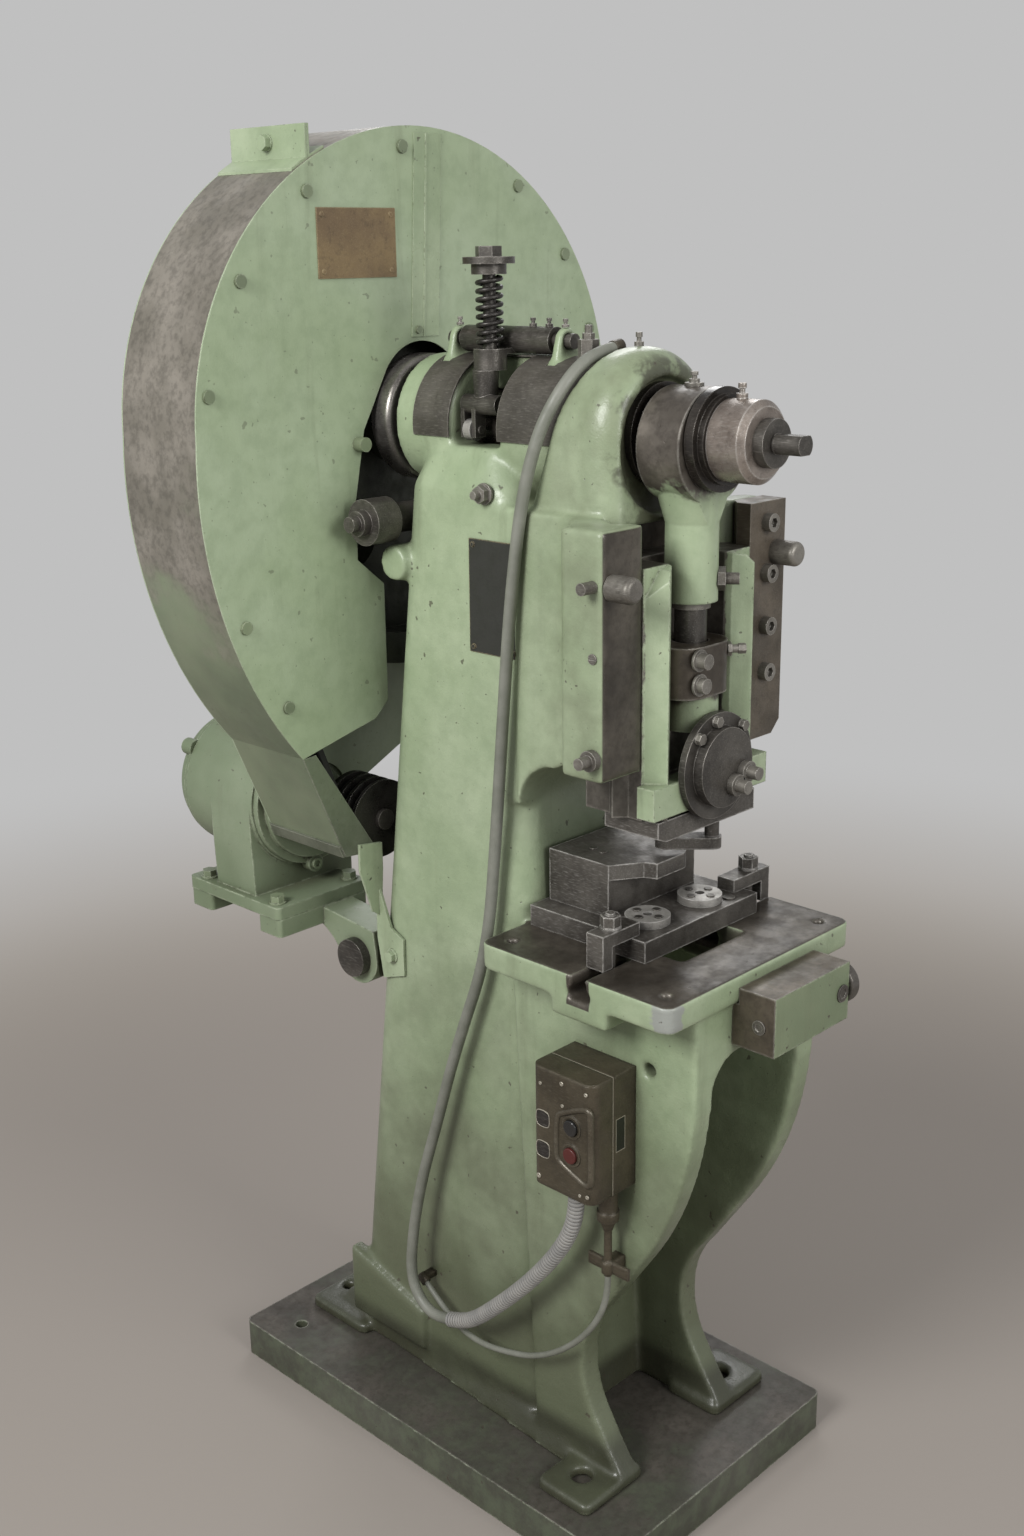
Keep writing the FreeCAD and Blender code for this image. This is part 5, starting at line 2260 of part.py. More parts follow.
NODES = {
    "base_plate": base_plate,
    "frame_casting": frame_casting,
    "right_gib_plate": right_gib_plate,
    "way_fasteners": way_fasteners,
    "trip_pins": trip_pins,
    "trip_lever": trip_lever,
    "trip_roller": trip_roller,
    "spring_bolt": spring_bolt,
    "clutch_spring": clutch_spring,
    "oil_fittings": oil_fittings,
    "saddle_cover": saddle_cover,
    "crankshaft": crankshaft,
    "clutch_sleeve": clutch_sleeve,
    "shaft_bushes": shaft_bushes,
    "shaft_collars": shaft_collars,
    "front_hub": front_hub,
    "connecting_rod": connecting_rod,
    "big_end_bush": big_end_bush,
    "rod_fittings": rod_fittings,
    "ball_spindle": ball_spindle,
    "slide": slide,
    "socket_cap": socket_cap,
    "clamp_cover": clamp_cover,
    "slide_screws": slide_screws,
    "upper_tool": upper_tool,
    "die_base": die_base,
    "die_block": die_block,
    "guide_flanges": guide_flanges,
    "table_screws": table_screws,
    "die_clamps": die_clamps,
    "clamp_bolts": clamp_bolts,
    "front_block": front_block,
    "block_knob": block_knob,
    "flywheel": flywheel,
    "hub_ring": hub_ring,
    "v_belts": v_belts,
    "motor_pulley": motor_pulley,
    "motor_shaft": motor_shaft,
    "motor_housing": motor_housing,
    "motor_front_shield": motor_front_shield,
    "motor_rear_cap": motor_rear_cap,
    "motor_bolts": motor_bolts,
    "motor_bracket": motor_bracket,
    "bracket_pin": bracket_pin,
    "stay_shaft": stay_shaft,
    "guard_face_plate": guard_face_plate,
    "guard_band": guard_band,
    "guard_back_plate": guard_back_plate,
    "guard_trim": guard_trim,
    "guard_screws": guard_screws,
    "name_plates": name_plates,
    "guard_strap": guard_strap,
    "control_box_cover": control_box_cover,
    "control_box_back": control_box_back,
    "start_button": start_button,
    "stop_button": stop_button,
    "box_fittings": box_fittings,
    "ribbed_conduit": ribbed_conduit,
    "main_cable": main_cable,
    "thin_cable": thin_cable,
}

os.makedirs("parts", exist_ok=True)
for name, make in NODES.items():
    shape = make()
    volume = round(shape.Volume / 1000.0, 1)
    print(name, "solids", len(shape.Solids), "volume", volume, "valid", shape.isValid())
    shape.exportStep("parts/" + name + ".step")
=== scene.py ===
import math

import bpy
import numpy as np
from mathutils import Matrix, Vector


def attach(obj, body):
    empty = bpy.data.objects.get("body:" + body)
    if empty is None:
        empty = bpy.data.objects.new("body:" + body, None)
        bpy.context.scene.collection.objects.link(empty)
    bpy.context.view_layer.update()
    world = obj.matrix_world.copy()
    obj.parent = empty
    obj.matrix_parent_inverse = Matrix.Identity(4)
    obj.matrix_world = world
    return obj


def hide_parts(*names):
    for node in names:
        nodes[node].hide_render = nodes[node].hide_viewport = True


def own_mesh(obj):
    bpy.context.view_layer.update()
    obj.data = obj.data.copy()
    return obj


# The looks of the mechanical stamping press. Metres, in the frame of the CAD part:
# X to the operator's right, Y to the back, Z up.

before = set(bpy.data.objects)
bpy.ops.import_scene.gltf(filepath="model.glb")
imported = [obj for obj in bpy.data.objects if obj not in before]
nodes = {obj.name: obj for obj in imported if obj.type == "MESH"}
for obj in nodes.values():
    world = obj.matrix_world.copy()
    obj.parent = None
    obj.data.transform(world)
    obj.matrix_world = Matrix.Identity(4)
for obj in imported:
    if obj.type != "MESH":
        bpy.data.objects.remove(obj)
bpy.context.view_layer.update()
scene = bpy.context.scene

CAMERA_PLACE = (-1.5335, -1.4865, 1.600)
CAMERA_AZIMUTH = -45.816
CAMERA_DOWN = 16.894
CAMERA_ROLL = -0.865
LENS_MM = 39.902
SENSOR_MM = 36.0

SHAFT_Z = 1.397
MOTOR_X = -0.085
MOTOR_Z = 0.866
BOX_FACE = -0.200        # outer face of the control box, along X


# ------------------------------------------------------------------ camera
def make_camera():
    azimuth, down, roll = (math.radians(a) for a in (CAMERA_AZIMUTH, CAMERA_DOWN, CAMERA_ROLL))
    flat = math.cos(down)
    forward = Vector((-math.sin(azimuth) * flat, math.cos(azimuth) * flat, -math.sin(down)))
    level = Vector((math.cos(azimuth), math.sin(azimuth), 0))
    above = level.cross(forward)
    right = level * math.cos(roll) + above * math.sin(roll)
    up = above * math.cos(roll) - level * math.sin(roll)
    data = bpy.data.cameras.new("camera")
    data.lens = LENS_MM
    data.sensor_width = SENSOR_MM
    data.clip_start = 0.05
    camera = bpy.data.objects.new("camera", data)
    turn = Matrix((right, up, -forward)).transposed().to_4x4()
    camera.matrix_world = Matrix.Translation(CAMERA_PLACE) @ turn
    scene.collection.objects.link(camera)
    scene.camera = camera


# --------------------------------------------------------------- materials
def linear(colour):
    """A colour written as sRGB hex, in the renderer's linear numbers."""
    parts = [int(colour[i:i + 2], 16) / 255 for i in (0, 2, 4)]
    return tuple(c / 12.92 if c <= 0.04045 else ((c + 0.055) / 1.055) ** 2.4 for c in parts) + (1.0,)


class Shade:
    """A node material made layer by layer, in the object's own metres."""

    def __init__(self, name):
        self.material = bpy.data.materials.new(name)
        self.material.use_nodes = True
        self.tree = self.material.node_tree
        self.tree.nodes.clear()
        self.output = self.node("ShaderNodeOutputMaterial")
        self.surface = self.node("ShaderNodeBsdfPrincipled")
        self.join(self.surface.outputs[0], self.output.inputs[0])
        self.place = self.node("ShaderNodeTexCoord").outputs["Object"]
        self.normal = None

    def node(self, kind, **settings):
        made = self.tree.nodes.new(kind)
        for key, value in settings.items():
            setattr(made, key, value)
        return made

    def join(self, value, socket):
        if isinstance(value, bpy.types.NodeSocket):
            self.tree.links.new(value, socket)
        else:
            socket.default_value = value

    def stretched(self, sizes):
        mapping = self.node("ShaderNodeMapping")
        self.join(self.place, mapping.inputs["Vector"])
        self.join(sizes, mapping.inputs["Scale"])
        return mapping.outputs[0]

    def noise(self, scale, detail=3.0, roughness=0.55, distortion=0.0, stretch=None):
        made = self.node("ShaderNodeTexNoise")
        self.join(self.stretched(stretch) if stretch else self.place, made.inputs["Vector"])
        self.join(scale, made.inputs["Scale"])
        self.join(detail, made.inputs["Detail"])
        self.join(roughness, made.inputs["Roughness"])
        self.join(distortion, made.inputs["Distortion"])
        return made.outputs[0]

    def span(self, value, low, high, to_low=0.0, to_high=1.0):
        made = self.node("ShaderNodeMapRange", interpolation_type="SMOOTHSTEP")
        for key, number in (("Value", value), ("From Min", low), ("From Max", high),
                            ("To Min", to_low), ("To Max", to_high)):
            self.join(number, made.inputs[key])
        return made.outputs[0]

    def math(self, operation, a, b=0.0, clamp=False):
        made = self.node("ShaderNodeMath", operation=operation, use_clamp=clamp)
        self.join(a, made.inputs[0])
        self.join(b, made.inputs[1])
        return made.outputs[0]

    def mix(self, share, a, b):
        """Inputs 6 and 7 of the mix node are its two colours."""
        made = self.node("ShaderNodeMix", data_type="RGBA")
        self.join(share, made.inputs[0])
        self.join(a, made.inputs[6])
        self.join(b, made.inputs[7])
        return made.outputs[2]

    def axis(self, index):
        made = self.node("ShaderNodeSeparateXYZ")
        self.join(self.place, made.inputs[0])
        return made.outputs[index]

    def facing(self, index):
        """How far the surface faces along one axis, from -1 to 1."""
        made = self.node("ShaderNodeSeparateXYZ")
        self.join(self.node("ShaderNodeNewGeometry").outputs["Normal"], made.inputs[0])
        return made.outputs[index]

    def edge(self, width, low=0.012, high=0.18):
        """1 along sharp edges, 0 on flat ground."""
        rounded = self.node("ShaderNodeBevel", samples=3)
        self.join(width, rounded.inputs["Radius"])
        dot = self.node("ShaderNodeVectorMath", operation="DOT_PRODUCT")
        self.join(rounded.outputs[0], dot.inputs[0])
        self.join(self.node("ShaderNodeNewGeometry").outputs["Normal"], dot.inputs[1])
        return self.span(self.math("SUBTRACT", 1.0, dot.outputs["Value"]), low, high)

    def hollow(self, reach, low=0.25, high=0.85):
        """1 deep in corners, 0 in the open."""
        made = self.node("ShaderNodeAmbientOcclusion", samples=4)
        self.join(reach, made.inputs["Distance"])
        return self.span(made.outputs["AO"], low, high, 1.0, 0.0)

    def soften(self, width):
        """Rounds the light on sharp edges."""
        rounded = self.node("ShaderNodeBevel", samples=4)
        self.join(width, rounded.inputs["Radius"])
        self.normal = rounded.outputs[0]

    def bump(self, height, distance, strength=1.0):
        made = self.node("ShaderNodeBump")
        self.join(height, made.inputs["Height"])
        self.join(distance, made.inputs["Distance"])
        self.join(strength, made.inputs["Strength"])
        if self.normal is not None:
            self.join(self.normal, made.inputs["Normal"])
        self.normal = made.outputs[0]

    def finish(self, colour, roughness, metal=0.0, specular=0.5, coat=0.0):
        self.join(colour, self.surface.inputs["Base Color"])
        self.join(roughness, self.surface.inputs["Roughness"])
        self.join(metal, self.surface.inputs["Metallic"])
        self.surface.inputs["Specular IOR Level"].default_value = specular
        self.surface.inputs["Coat Weight"].default_value = coat
        self.surface.inputs["Coat Roughness"].default_value = 0.16
        if self.normal is not None:
            self.join(self.normal, self.surface.inputs["Normal"])
        return self.material


def within(shade, value, low, high, soft=0.0015):
    """1 where a value lies between two limits."""
    return shade.math("MULTIPLY", shade.span(value, low - soft, low + soft),
                      shade.span(value, high - soft, high + soft, 1.0, 0.0))


def both(shade, *masks):
    whole = masks[0]
    for mask in masks[1:]:
        whole = shade.math("MULTIPLY", whole, mask)
    return whole


def either(shade, *masks):
    whole = masks[0]
    for mask in masks[1:]:
        whole = shade.math("MAXIMUM", whole, mask)
    return whole


def steel_layer(shade, dark, light, edge, gloss):
    """Colour and roughness of bare, handled steel, with rubbed edges that also carry a painted highlight."""
    cloud = shade.span(shade.noise(14.0, 5.0), 0.35, 0.68)
    spots = shade.span(shade.noise(90.0, 4.0, 0.7), 0.42, 0.66)
    colour = shade.mix(cloud, linear(dark), linear(light))
    colour = shade.mix(shade.math("MULTIPLY", spots, 0.35), colour, linear("2a241e"))
    # Bright edges: rubbed bare metal, partly a painted highlight.
    rubbed_and_highlit = shade.math("MULTIPLY", edge, shade.span(shade.noise(85.0, 3.0), 0.3, 0.6, 0.3, 0.9))
    colour = shade.mix(rubbed_and_highlit, colour, linear("aaa69d"))
    return colour, shade.span(shade.noise(55.0, 3.0), 0.3, 0.7, gloss, gloss + 0.22)


def green_paint(name, base="909f7f", faded="a0ad8f", edge_width=0.004, grime_and_shade=0.65, chips=0.7, gloss=0.27,
                bare=None, bare_dark="3d3831", bare_light="5b554c", bare_gloss=0.3, soft=0.0025, grain=0.00035,
                overlays=()):
    """Old sage green brush paint: faded patches, grime and painted shade in the corners, pale worn edges with
    a painted highlight, dark chips along the edges.
    """
    shade = Shade(name)
    patches = shade.span(shade.noise(5.0, 3.0), 0.36, 0.66)
    colour = shade.mix(patches, linear(base), linear(faded))
    mottle = shade.span(shade.noise(38.0, 4.0, 0.65), 0.35, 0.7)
    colour = shade.mix(shade.math("MULTIPLY", mottle, 0.25), colour, linear("708063"))
    streaks = shade.span(shade.noise(26.0, 4.0, 0.6, 0.4, stretch=(1.0, 1.0, 0.09)), 0.54, 0.76)
    colour = shade.mix(shade.math("MULTIPLY", streaks, 0.28), colour, linear("5d604a"))
    # Colour overlays: stains, and on some materials painted shade or painted highlights.
    for overlay, tone in overlays:
        colour = shade.mix(overlay(shade), colour, linear(tone))
    # Painted shade with grime: the paint darkens deep in corners.
    corner = shade.hollow(0.05)
    colour = shade.mix(shade.math("MULTIPLY", corner, grime_and_shade), colour, linear("42412f"))
    edge = shade.edge(edge_width)
    # Pale worn paint along the edges, partly a painted highlight.
    pale = shade.math("MULTIPLY", edge, shade.span(shade.noise(60.0, 3.0), 0.35, 0.6))
    colour = shade.mix(shade.math("MULTIPLY", pale, 0.6), colour, linear("c3ccb2"))
    chip = shade.math("MULTIPLY", edge, shade.span(shade.noise(150.0, 4.0, 0.7), 0.55, 0.6))
    nick = shade.span(shade.noise(75.0, 2.0, 0.5), 0.72, 0.74)
    speck = shade.span(shade.noise(230.0, 2.0, 0.5), 0.735, 0.75)
    chip = shade.math("MULTIPLY", either(shade, chip, nick, speck), chips)
    colour = shade.mix(chip, colour, linear("433c33"))
    rough = shade.span(shade.noise(22.0, 3.0), 0.3, 0.7, gloss, gloss + 0.16)
    rough = shade.math("ADD", rough, shade.math("MULTIPLY", corner, 0.2), True)
    metal = 0.0
    height = shade.math("ADD", shade.math("MULTIPLY", shade.noise(420.0, 2.0), 0.35), shade.noise(70.0, 3.0))
    if bare is not None:
        mask = bare(shade)
        under, under_rough = steel_layer(shade, bare_dark, bare_light, edge, bare_gloss)
        colour = shade.mix(mask, colour, under)
        rough = shade.mix(mask, rough, under_rough)
        metal = shade.math("MULTIPLY", mask, 0.45)
        smoother = shade.math("SUBTRACT", 1.0, shade.math("MULTIPLY", mask, 0.7))
        height = shade.math("MULTIPLY", height, smoother)
    height = shade.math("SUBTRACT", height, shade.math("MULTIPLY", chip, 0.6))
    if soft:
        shade.soften(soft)
    shade.bump(height, grain * 3.0, 0.5)
    return shade.finish(colour, rough, metal, 0.45, 0.1)


def bare_steel(name, dark, light, bright, metal=0.5, gloss=0.3, edge_width=0.0018, edge_share=0.8, grease=0.4,
               brushed=(1.0, 0.12, 1.0), grain=0.0002, soft=0.0012, overlays=()):
    """Machined steel that has gone dark: clouds, fine scratches, bright rubbed edges with a painted highlight,
    oil and painted shade in the corners.
    """
    shade = Shade(name)
    cloud = shade.span(shade.noise(13.0, 5.0, 0.6), 0.34, 0.68)
    colour = shade.mix(cloud, linear(dark), linear(light))
    spots = shade.span(shade.noise(160.0, 4.0, 0.7), 0.5, 0.7)
    colour = shade.mix(shade.math("MULTIPLY", spots, 0.3), colour, linear("241f1a"))
    fine = shade.noise(900.0, 2.0, 0.5, stretch=brushed)
    colour = shade.mix(shade.span(fine, 0.5, 0.75, 0.0, 0.18), colour, linear(bright))
    # Colour overlays: stains, and on some materials painted shade or painted highlights.
    for overlay, tone in overlays:
        colour = shade.mix(overlay(shade), colour, linear(tone))
    # Bright edges: rubbed bare metal, partly a painted highlight.
    edge = shade.edge(edge_width, 0.006, 0.09)
    rubbed_and_highlit = shade.math("MULTIPLY", edge, shade.span(shade.noise(85.0, 3.0), 0.3, 0.6, 0.25, 1.0))
    colour = shade.mix(shade.math("MULTIPLY", rubbed_and_highlit, edge_share), colour, linear(bright))
    # Painted shade with oil: the steel darkens deep in corners, as much as grease says.
    corner = shade.hollow(0.025)
    colour = shade.mix(shade.math("MULTIPLY", corner, grease), colour, linear("16120f"))
    rough = shade.span(shade.noise(48.0, 3.0), 0.3, 0.7, gloss, gloss + 0.24)
    shade.soften(soft)
    height = shade.math("ADD", shade.math("MULTIPLY", fine, 0.5), shade.noise(240.0, 3.0))
    shade.bump(height, grain * 2.0, 0.4)
    return shade.finish(colour, rough, metal, 0.5)


def plain_cover(name, colour, other, rough_low, rough_high, scale=300.0, grain=0.0001, dirt_and_shade=0.4, coat=0.0):
    """Rubber, plastic or cord sheath: faint mottling, a soft grain, and dirt with painted shade in the folds.
    """
    shade = Shade(name)
    tone = shade.mix(shade.span(shade.noise(30.0, 4.0), 0.3, 0.7), linear(colour), linear(other))
    # Painted shade with dirt: darkened deep in the folds.
    tone = shade.mix(shade.math("MULTIPLY", shade.hollow(0.006), dirt_and_shade), tone, linear("1c1a17"))
    rough = shade.span(shade.noise(70.0, 3.0), 0.3, 0.7, rough_low, rough_high)
    shade.bump(shade.noise(scale, 3.0), grain * 2.0, 0.5)
    return shade.finish(tone, rough, 0.0, 0.4, coat)


def machined_casting(shade):
    """The casting's bare ground: table top, slots, way faces, the head's recess and the bores."""
    x, y, z = (shade.axis(k) for k in range(3))
    up, front = shade.facing(2), shade.facing(1)
    ragged = shade.span(shade.noise(45.0, 4.0, 0.65), 0.3, 0.7, -0.0016, 0.0016)
    table = both(shade, within(shade, z, 0.7905, 0.7945, 0.0008), shade.span(up, 0.7, 0.9))
    slot = both(shade, within(shade, y, -0.2895, -0.2545, 0.0008), within(shade, z, 0.755, 0.7925, 0.0008))
    wide = shade.math("ADD", shade.math("ABSOLUTE", x), ragged)
    ways = both(shade, shade.span(wide, 0.096, 0.098), within(shade, z, 1.0275, 1.31, 0.001),
                shade.span(front, -0.9, -0.7, 1.0, 0.0), within(shade, y, -0.31, -0.262, 0.001))
    inside = both(shade, within(shade, wide, -1.0, 0.0985, 0.0008), within(shade, z, 1.03, 1.30, 0.001),
                  within(shade, y, -0.31, -0.205, 0.001))
    side = shade.math("ABSOLUTE", x)
    rows = either(shade, within(shade, y, -0.388, -0.372, 0.0008), within(shade, y, -0.147, -0.131, 0.0008))
    holes = both(shade, within(shade, side, 0.142, 0.158, 0.0008), rows, within(shade, z, 0.74, 0.794))
    drop = both(shade, within(shade, side, -1.0, 0.063), within(shade, y, -0.333, -0.199),
                within(shade, z, 0.70, 0.794))
    return either(shade, table, slot, ways, inside, holes, drop)


def foot_dirt(shade):
    """Oil and dust on top of the feet."""
    cloud = shade.span(shade.noise(9.0, 4.0), 0.2, 0.6, 0.55, 0.9)
    return both(shade, shade.span(shade.axis(2), 0.125, 0.095), cloud)


def corner_wear(shade):
    """The table's front left corner is rubbed bright."""
    along = shade.math("ADD", shade.axis(0), shade.axis(1))
    ragged = shade.span(shade.noise(70.0, 4.0, 0.7), 0.35, 0.65, -0.004, 0.004)
    return both(shade, shade.span(shade.math("ADD", along, ragged), -0.563, -0.567),
                within(shade, shade.axis(2), 0.762, 0.793, 0.001))


def from_shaft(shade):
    """Distance from the main shaft's axis."""
    across = shade.math("POWER", shade.axis(0), 2.0)
    above = shade.math("POWER", shade.math("SUBTRACT", shade.axis(2), SHAFT_Z), 2.0)
    return shade.math("SQRT", shade.math("ADD", across, above))


def shaft_grease(shade):
    """Thrown oil round the shaft's front end, and its run below."""
    ragged = shade.span(shade.noise(24.0, 4.0, 0.65), 0.3, 0.7, -0.02, 0.02)
    ring = shade.span(shade.math("ADD", from_shaft(shade), ragged), 0.088, 0.070)
    sideways = shade.math("ABSOLUTE", shade.math("ADD", shade.axis(0), ragged))
    run = both(shade, shade.span(sideways, 0.07, 0.04), within(shade, shade.axis(2), 1.27, 1.34, 0.02))
    front = both(shade, shade.span(shade.facing(1), -0.3, -0.8), shade.span(shade.axis(1), -0.19, -0.205))
    return shade.math("MULTIPLY", both(shade, either(shade, ring, run), front), 0.7)


def low_shade_and_dirt(shade):
    """The casting is darker towards the floor: painted shade and dirt."""
    ragged = shade.span(shade.noise(6.0, 4.0, 0.6), 0.3, 0.7, -0.12, 0.12)
    return shade.span(shade.math("ADD", shade.axis(2), ragged), 0.85, 0.16, 0.0, 0.9)


def head_dirt(shade):
    """Oily dust on the head's front and the ways."""
    cloud = shade.span(shade.noise(16.0, 4.0, 0.6), 0.3, 0.7, 0.2, 0.6)
    return both(shade, shade.span(shade.axis(1), -0.10, -0.20), shade.span(shade.axis(2), 0.96, 1.04), cloud)


def painted_slot_shade(shade):
    """Painted shade: the cut-out in the box's front side is only a dark patch."""
    return both(shade, within(shade, shade.axis(0), -0.1568, -0.1416, 0.0004),
                within(shade, shade.axis(2), 0.5715, 0.6138, 0.0004),
                shade.span(shade.axis(1), -0.3112, -0.3116))


def slot_rim_highlight(shade):
    """A painted highlight: the bright edge round the cut-out."""
    return both(shade, within(shade, shade.axis(0), -0.1576, -0.1408, 0.0003),
                within(shade, shade.axis(2), 0.5707, 0.6146, 0.0003),
                shade.span(shade.axis(1), -0.3112, -0.3116))


def box_seam_highlight(shade):
    """A painted highlight along the joint of the box's two halves."""
    return shade.math("MULTIPLY", within(shade, shade.axis(0), -0.1636, -0.1624, 0.0002), 0.8)


def column_plate(shade):
    """1 on the plate on the column, 0 on the one on the guard."""
    return shade.span(shade.axis(1), 0.10, 0.09)


def bare_base(shade):
    ragged = shade.span(shade.noise(30.0, 4.0, 0.65), 0.3, 0.7, -0.004, 0.004)
    top = shade.span(shade.math("ADD", shade.axis(2), ragged), 0.04, 0.05)
    worn = shade.span(shade.noise(7.0, 5.0, 0.7), 0.34, 0.6, 0.3, 1.0)
    return both(shade, shade.span(shade.facing(2), 0.7, 0.9), top, worn)


def bare_rod(shade):
    ragged = shade.span(shade.noise(26.0, 4.0, 0.65), 0.3, 0.7, -0.012, 0.012)
    z = shade.math("ADD", shade.axis(2), ragged)
    return either(shade, shade.span(z, 1.338, 1.352), shade.span(shade.axis(1), -0.262, -0.259))


def bare_slide(shade):
    y, z = shade.axis(1), shade.axis(2)
    ragged = shade.span(shade.noise(40.0, 4.0, 0.65), 0.3, 0.7, -0.002, 0.002)
    inner = shade.span(shade.math("ADD", y, ragged), -0.2985, -0.2965)
    pocket = both(shade, within(shade, shade.math("ABSOLUTE", shade.axis(0)), -1.0, 0.0525),
                  shade.span(shade.math("ADD", z, shade.math("MULTIPLY", ragged, 6.0)), 1.085, 1.10))
    low = shade.span(z, 0.973, 0.976, 1.0, 0.0)
    return either(shade, inner, pocket, low)


def bare_cap(shade):
    """The rod's socket is bare above and painted below."""
    ragged = shade.span(shade.noise(40.0, 4.0, 0.65), 0.3, 0.7, -0.006, 0.006)
    return shade.span(shade.math("ADD", shade.axis(2), ragged), 1.094, 1.104)


def bare_block(shade):
    ragged = shade.span(shade.noise(60.0, 4.0, 0.65), 0.3, 0.7, -0.15, 0.15)
    front = shade.math("ADD", shade.math("MULTIPLY", shade.facing(1), -1.0), ragged)
    return shade.span(front, 0.7, 0.85, 1.0, 0.0)


def bare_band(shade):
    """The guard's rim is bare grey sheet above, and green again low down."""
    ragged = shade.span(shade.noise(7.0, 4.0, 0.6), 0.3, 0.7, -0.10, 0.10)
    z = shade.math("ADD", shade.axis(2), ragged)
    return shade.span(z, 1.13, 1.30, 0.0, 0.93)


def bare_trim(shade):
    """Darker metal on the guard's chute, low down."""
    z = shade.axis(2)
    return both(shade, shade.span(z, 1.02, 1.03, 1.0, 0.0), shade.span(z, 0.96, 0.75, 0.6, 0.95))


materials = {
    "cast": green_paint("cast_green", soft=0.0, bare=machined_casting, edge_width=0.006, grain=0.0005,
                        overlays=((low_shade_and_dirt, "545844"), (foot_dirt, "37382c"), (head_dirt, "686d56"),
                                (shaft_grease, "302a23"), (corner_wear, "8f928c"))),
    "sheet": green_paint("sheet_green", base="99a888", faded="a1af92", grime_and_shade=0.4, chips=0.4, gloss=0.3,
                         edge_width=0.002, soft=0.001, grain=0.0002),
    "band": green_paint("band_sheet", base="616a55", faded="777f67", grime_and_shade=0.3, chips=0.3, gloss=0.34,
                        bare=bare_band, bare_dark="7a746a", bare_light="938c82", edge_width=0.001,
                        soft=0.001, grain=0.00015),
    "motor": green_paint("motor_green", base="6b775d", faded="7f8a71", grime_and_shade=0.8, chips=0.6, gloss=0.4),
    "trim": green_paint("trim_green", grime_and_shade=0.35, bare=bare_trim, bare_dark="4f5049", bare_light="6b6b62",
                        edge_width=0.0015, soft=0.001),
    "base": green_paint("base_green", base="43443a", faded="515148", grime_and_shade=0.5, chips=0.9, gloss=0.5,
                        bare=bare_base, bare_dark="423e39", bare_light="5a554e", bare_gloss=0.52,
                        edge_width=0.004),
    "rod": green_paint("rod_green", bare=bare_rod, bare_dark="534d46", bare_light="7f786e", soft=0.004),
    "cap": green_paint("cap_green", bare=bare_cap, bare_dark="433c33", bare_light="5f574c", grime_and_shade=0.9),
    "slide": green_paint("slide_green", bare=bare_slide, bare_dark="4a463f", bare_light="726d65"),
    "block": green_paint("block_green", base="69745a", faded="7b866a", bare=bare_block, chips=0.8,
                         bare_dark="4b443a", bare_light="655c50"),
    "strap": green_paint("strap_green", grime_and_shade=0.4, chips=0.9, edge_width=0.002, soft=0.001),
    "fitting": green_paint("painted_fitting", base="68725a", faded="818c70", grime_and_shade=0.7, chips=1.0,
                           edge_width=0.002, soft=0.0008, grain=0.0002),
    "brown": bare_steel("brown_steel", "463f35", "62594d", "aaa397", metal=0.25, gloss=0.36),
    "hub": bare_steel("hub_brown", "695f57", "958b82", "dedad3", metal=0.55, gloss=0.2, edge_width=0.003),
    "dark": bare_steel("dark_steel", "3c3935", "5d5953", "b4afa7", metal=0.55, gloss=0.28, edge_width=0.0014),
    "tool": bare_steel("tool_steel", "403c37", "605c56", "d6d3cd", metal=0.45, gloss=0.3, edge_width=0.0028,
                       edge_share=0.95),
    "bright": bare_steel("bright_steel", "8a8781", "aaa7a1", "e2e0dc", metal=0.4, gloss=0.36, grease=0.7),
    "saddle": bare_steel("saddle_brown", "3f3b35", "55514a", "a09b92", metal=0.2, gloss=0.4,
                         edge_width=0.0015),
    "screw": bare_steel("worn_screws", "5d5952", "86827a", "c9c5bd", metal=0.5, gloss=0.3, edge_width=0.0012),
    "grease": bare_steel("greasy_collar", "1f1c19", "37322d", "7d776f", metal=0.4, gloss=0.16,
                         edge_share=0.5),
    "black": bare_steel("blackened", "282624", "403d3a", "a5a19a", metal=0.6, gloss=0.24, edge_width=0.001),
    "bronze": bare_steel("bearing_bronze", "5c4a2c", "8a7346", "c2a96f", metal=0.9, gloss=0.25),
    "box": bare_steel("box_shell", "3a3428", "4c4537", "857d6c", metal=0.3, gloss=0.3, edge_width=0.003,
                      edge_share=0.4, grease=0.5, soft=0.007,
                      overlays=((slot_rim_highlight, "a49c8c"), (painted_slot_shade, "23241d"), (box_seam_highlight, "b5ad9d"))),
    "relief": bare_steel("box_relief", "40392d", "565043", "9a9384", metal=0.3, gloss=0.26, edge_width=0.002,
                         edge_share=0.3, soft=0.002),
    "rim": bare_steel("thin_rims", "8f897c", "aaa495", "cfcabd", metal=0.5, gloss=0.3, edge_width=0.0005),
    "wheel": bare_steel("wheel_iron", "2a2b26", "43463b", "77766c", metal=0.3, gloss=0.35),
    "ring": bare_steel("clutch_ring", "605c57", "8b8781", "d8d5cf", metal=0.75, gloss=0.2, grease=0.6),
    "plates": bare_steel("data_plates", "6a5840", "7e6b4b", "b0a07c", metal=0.15, gloss=0.42, grease=0.2,
                         edge_width=0.0016, edge_share=0.85, overlays=((column_plate, "2f2f2b"),)),
    "rubber": plain_cover("belt_rubber", "1d1d1c", "2b2a28", 0.6, 0.8),
    "sheath": plain_cover("cable_sheath", "6d6f65", "7c7d74", 0.42, 0.6, 500.0),
    "conduit": plain_cover("conduit_sheath", "7f7e7b", "918f8a", 0.45, 0.62, 500.0, dirt_and_shade=0.8),
    "red": plain_cover("red_button", "3d1814", "4e1d19", 0.3, 0.45, coat=0.2),
    "black_plastic": plain_cover("black_button", "1a1a1a", "262524", 0.25, 0.4, coat=0.3),
}

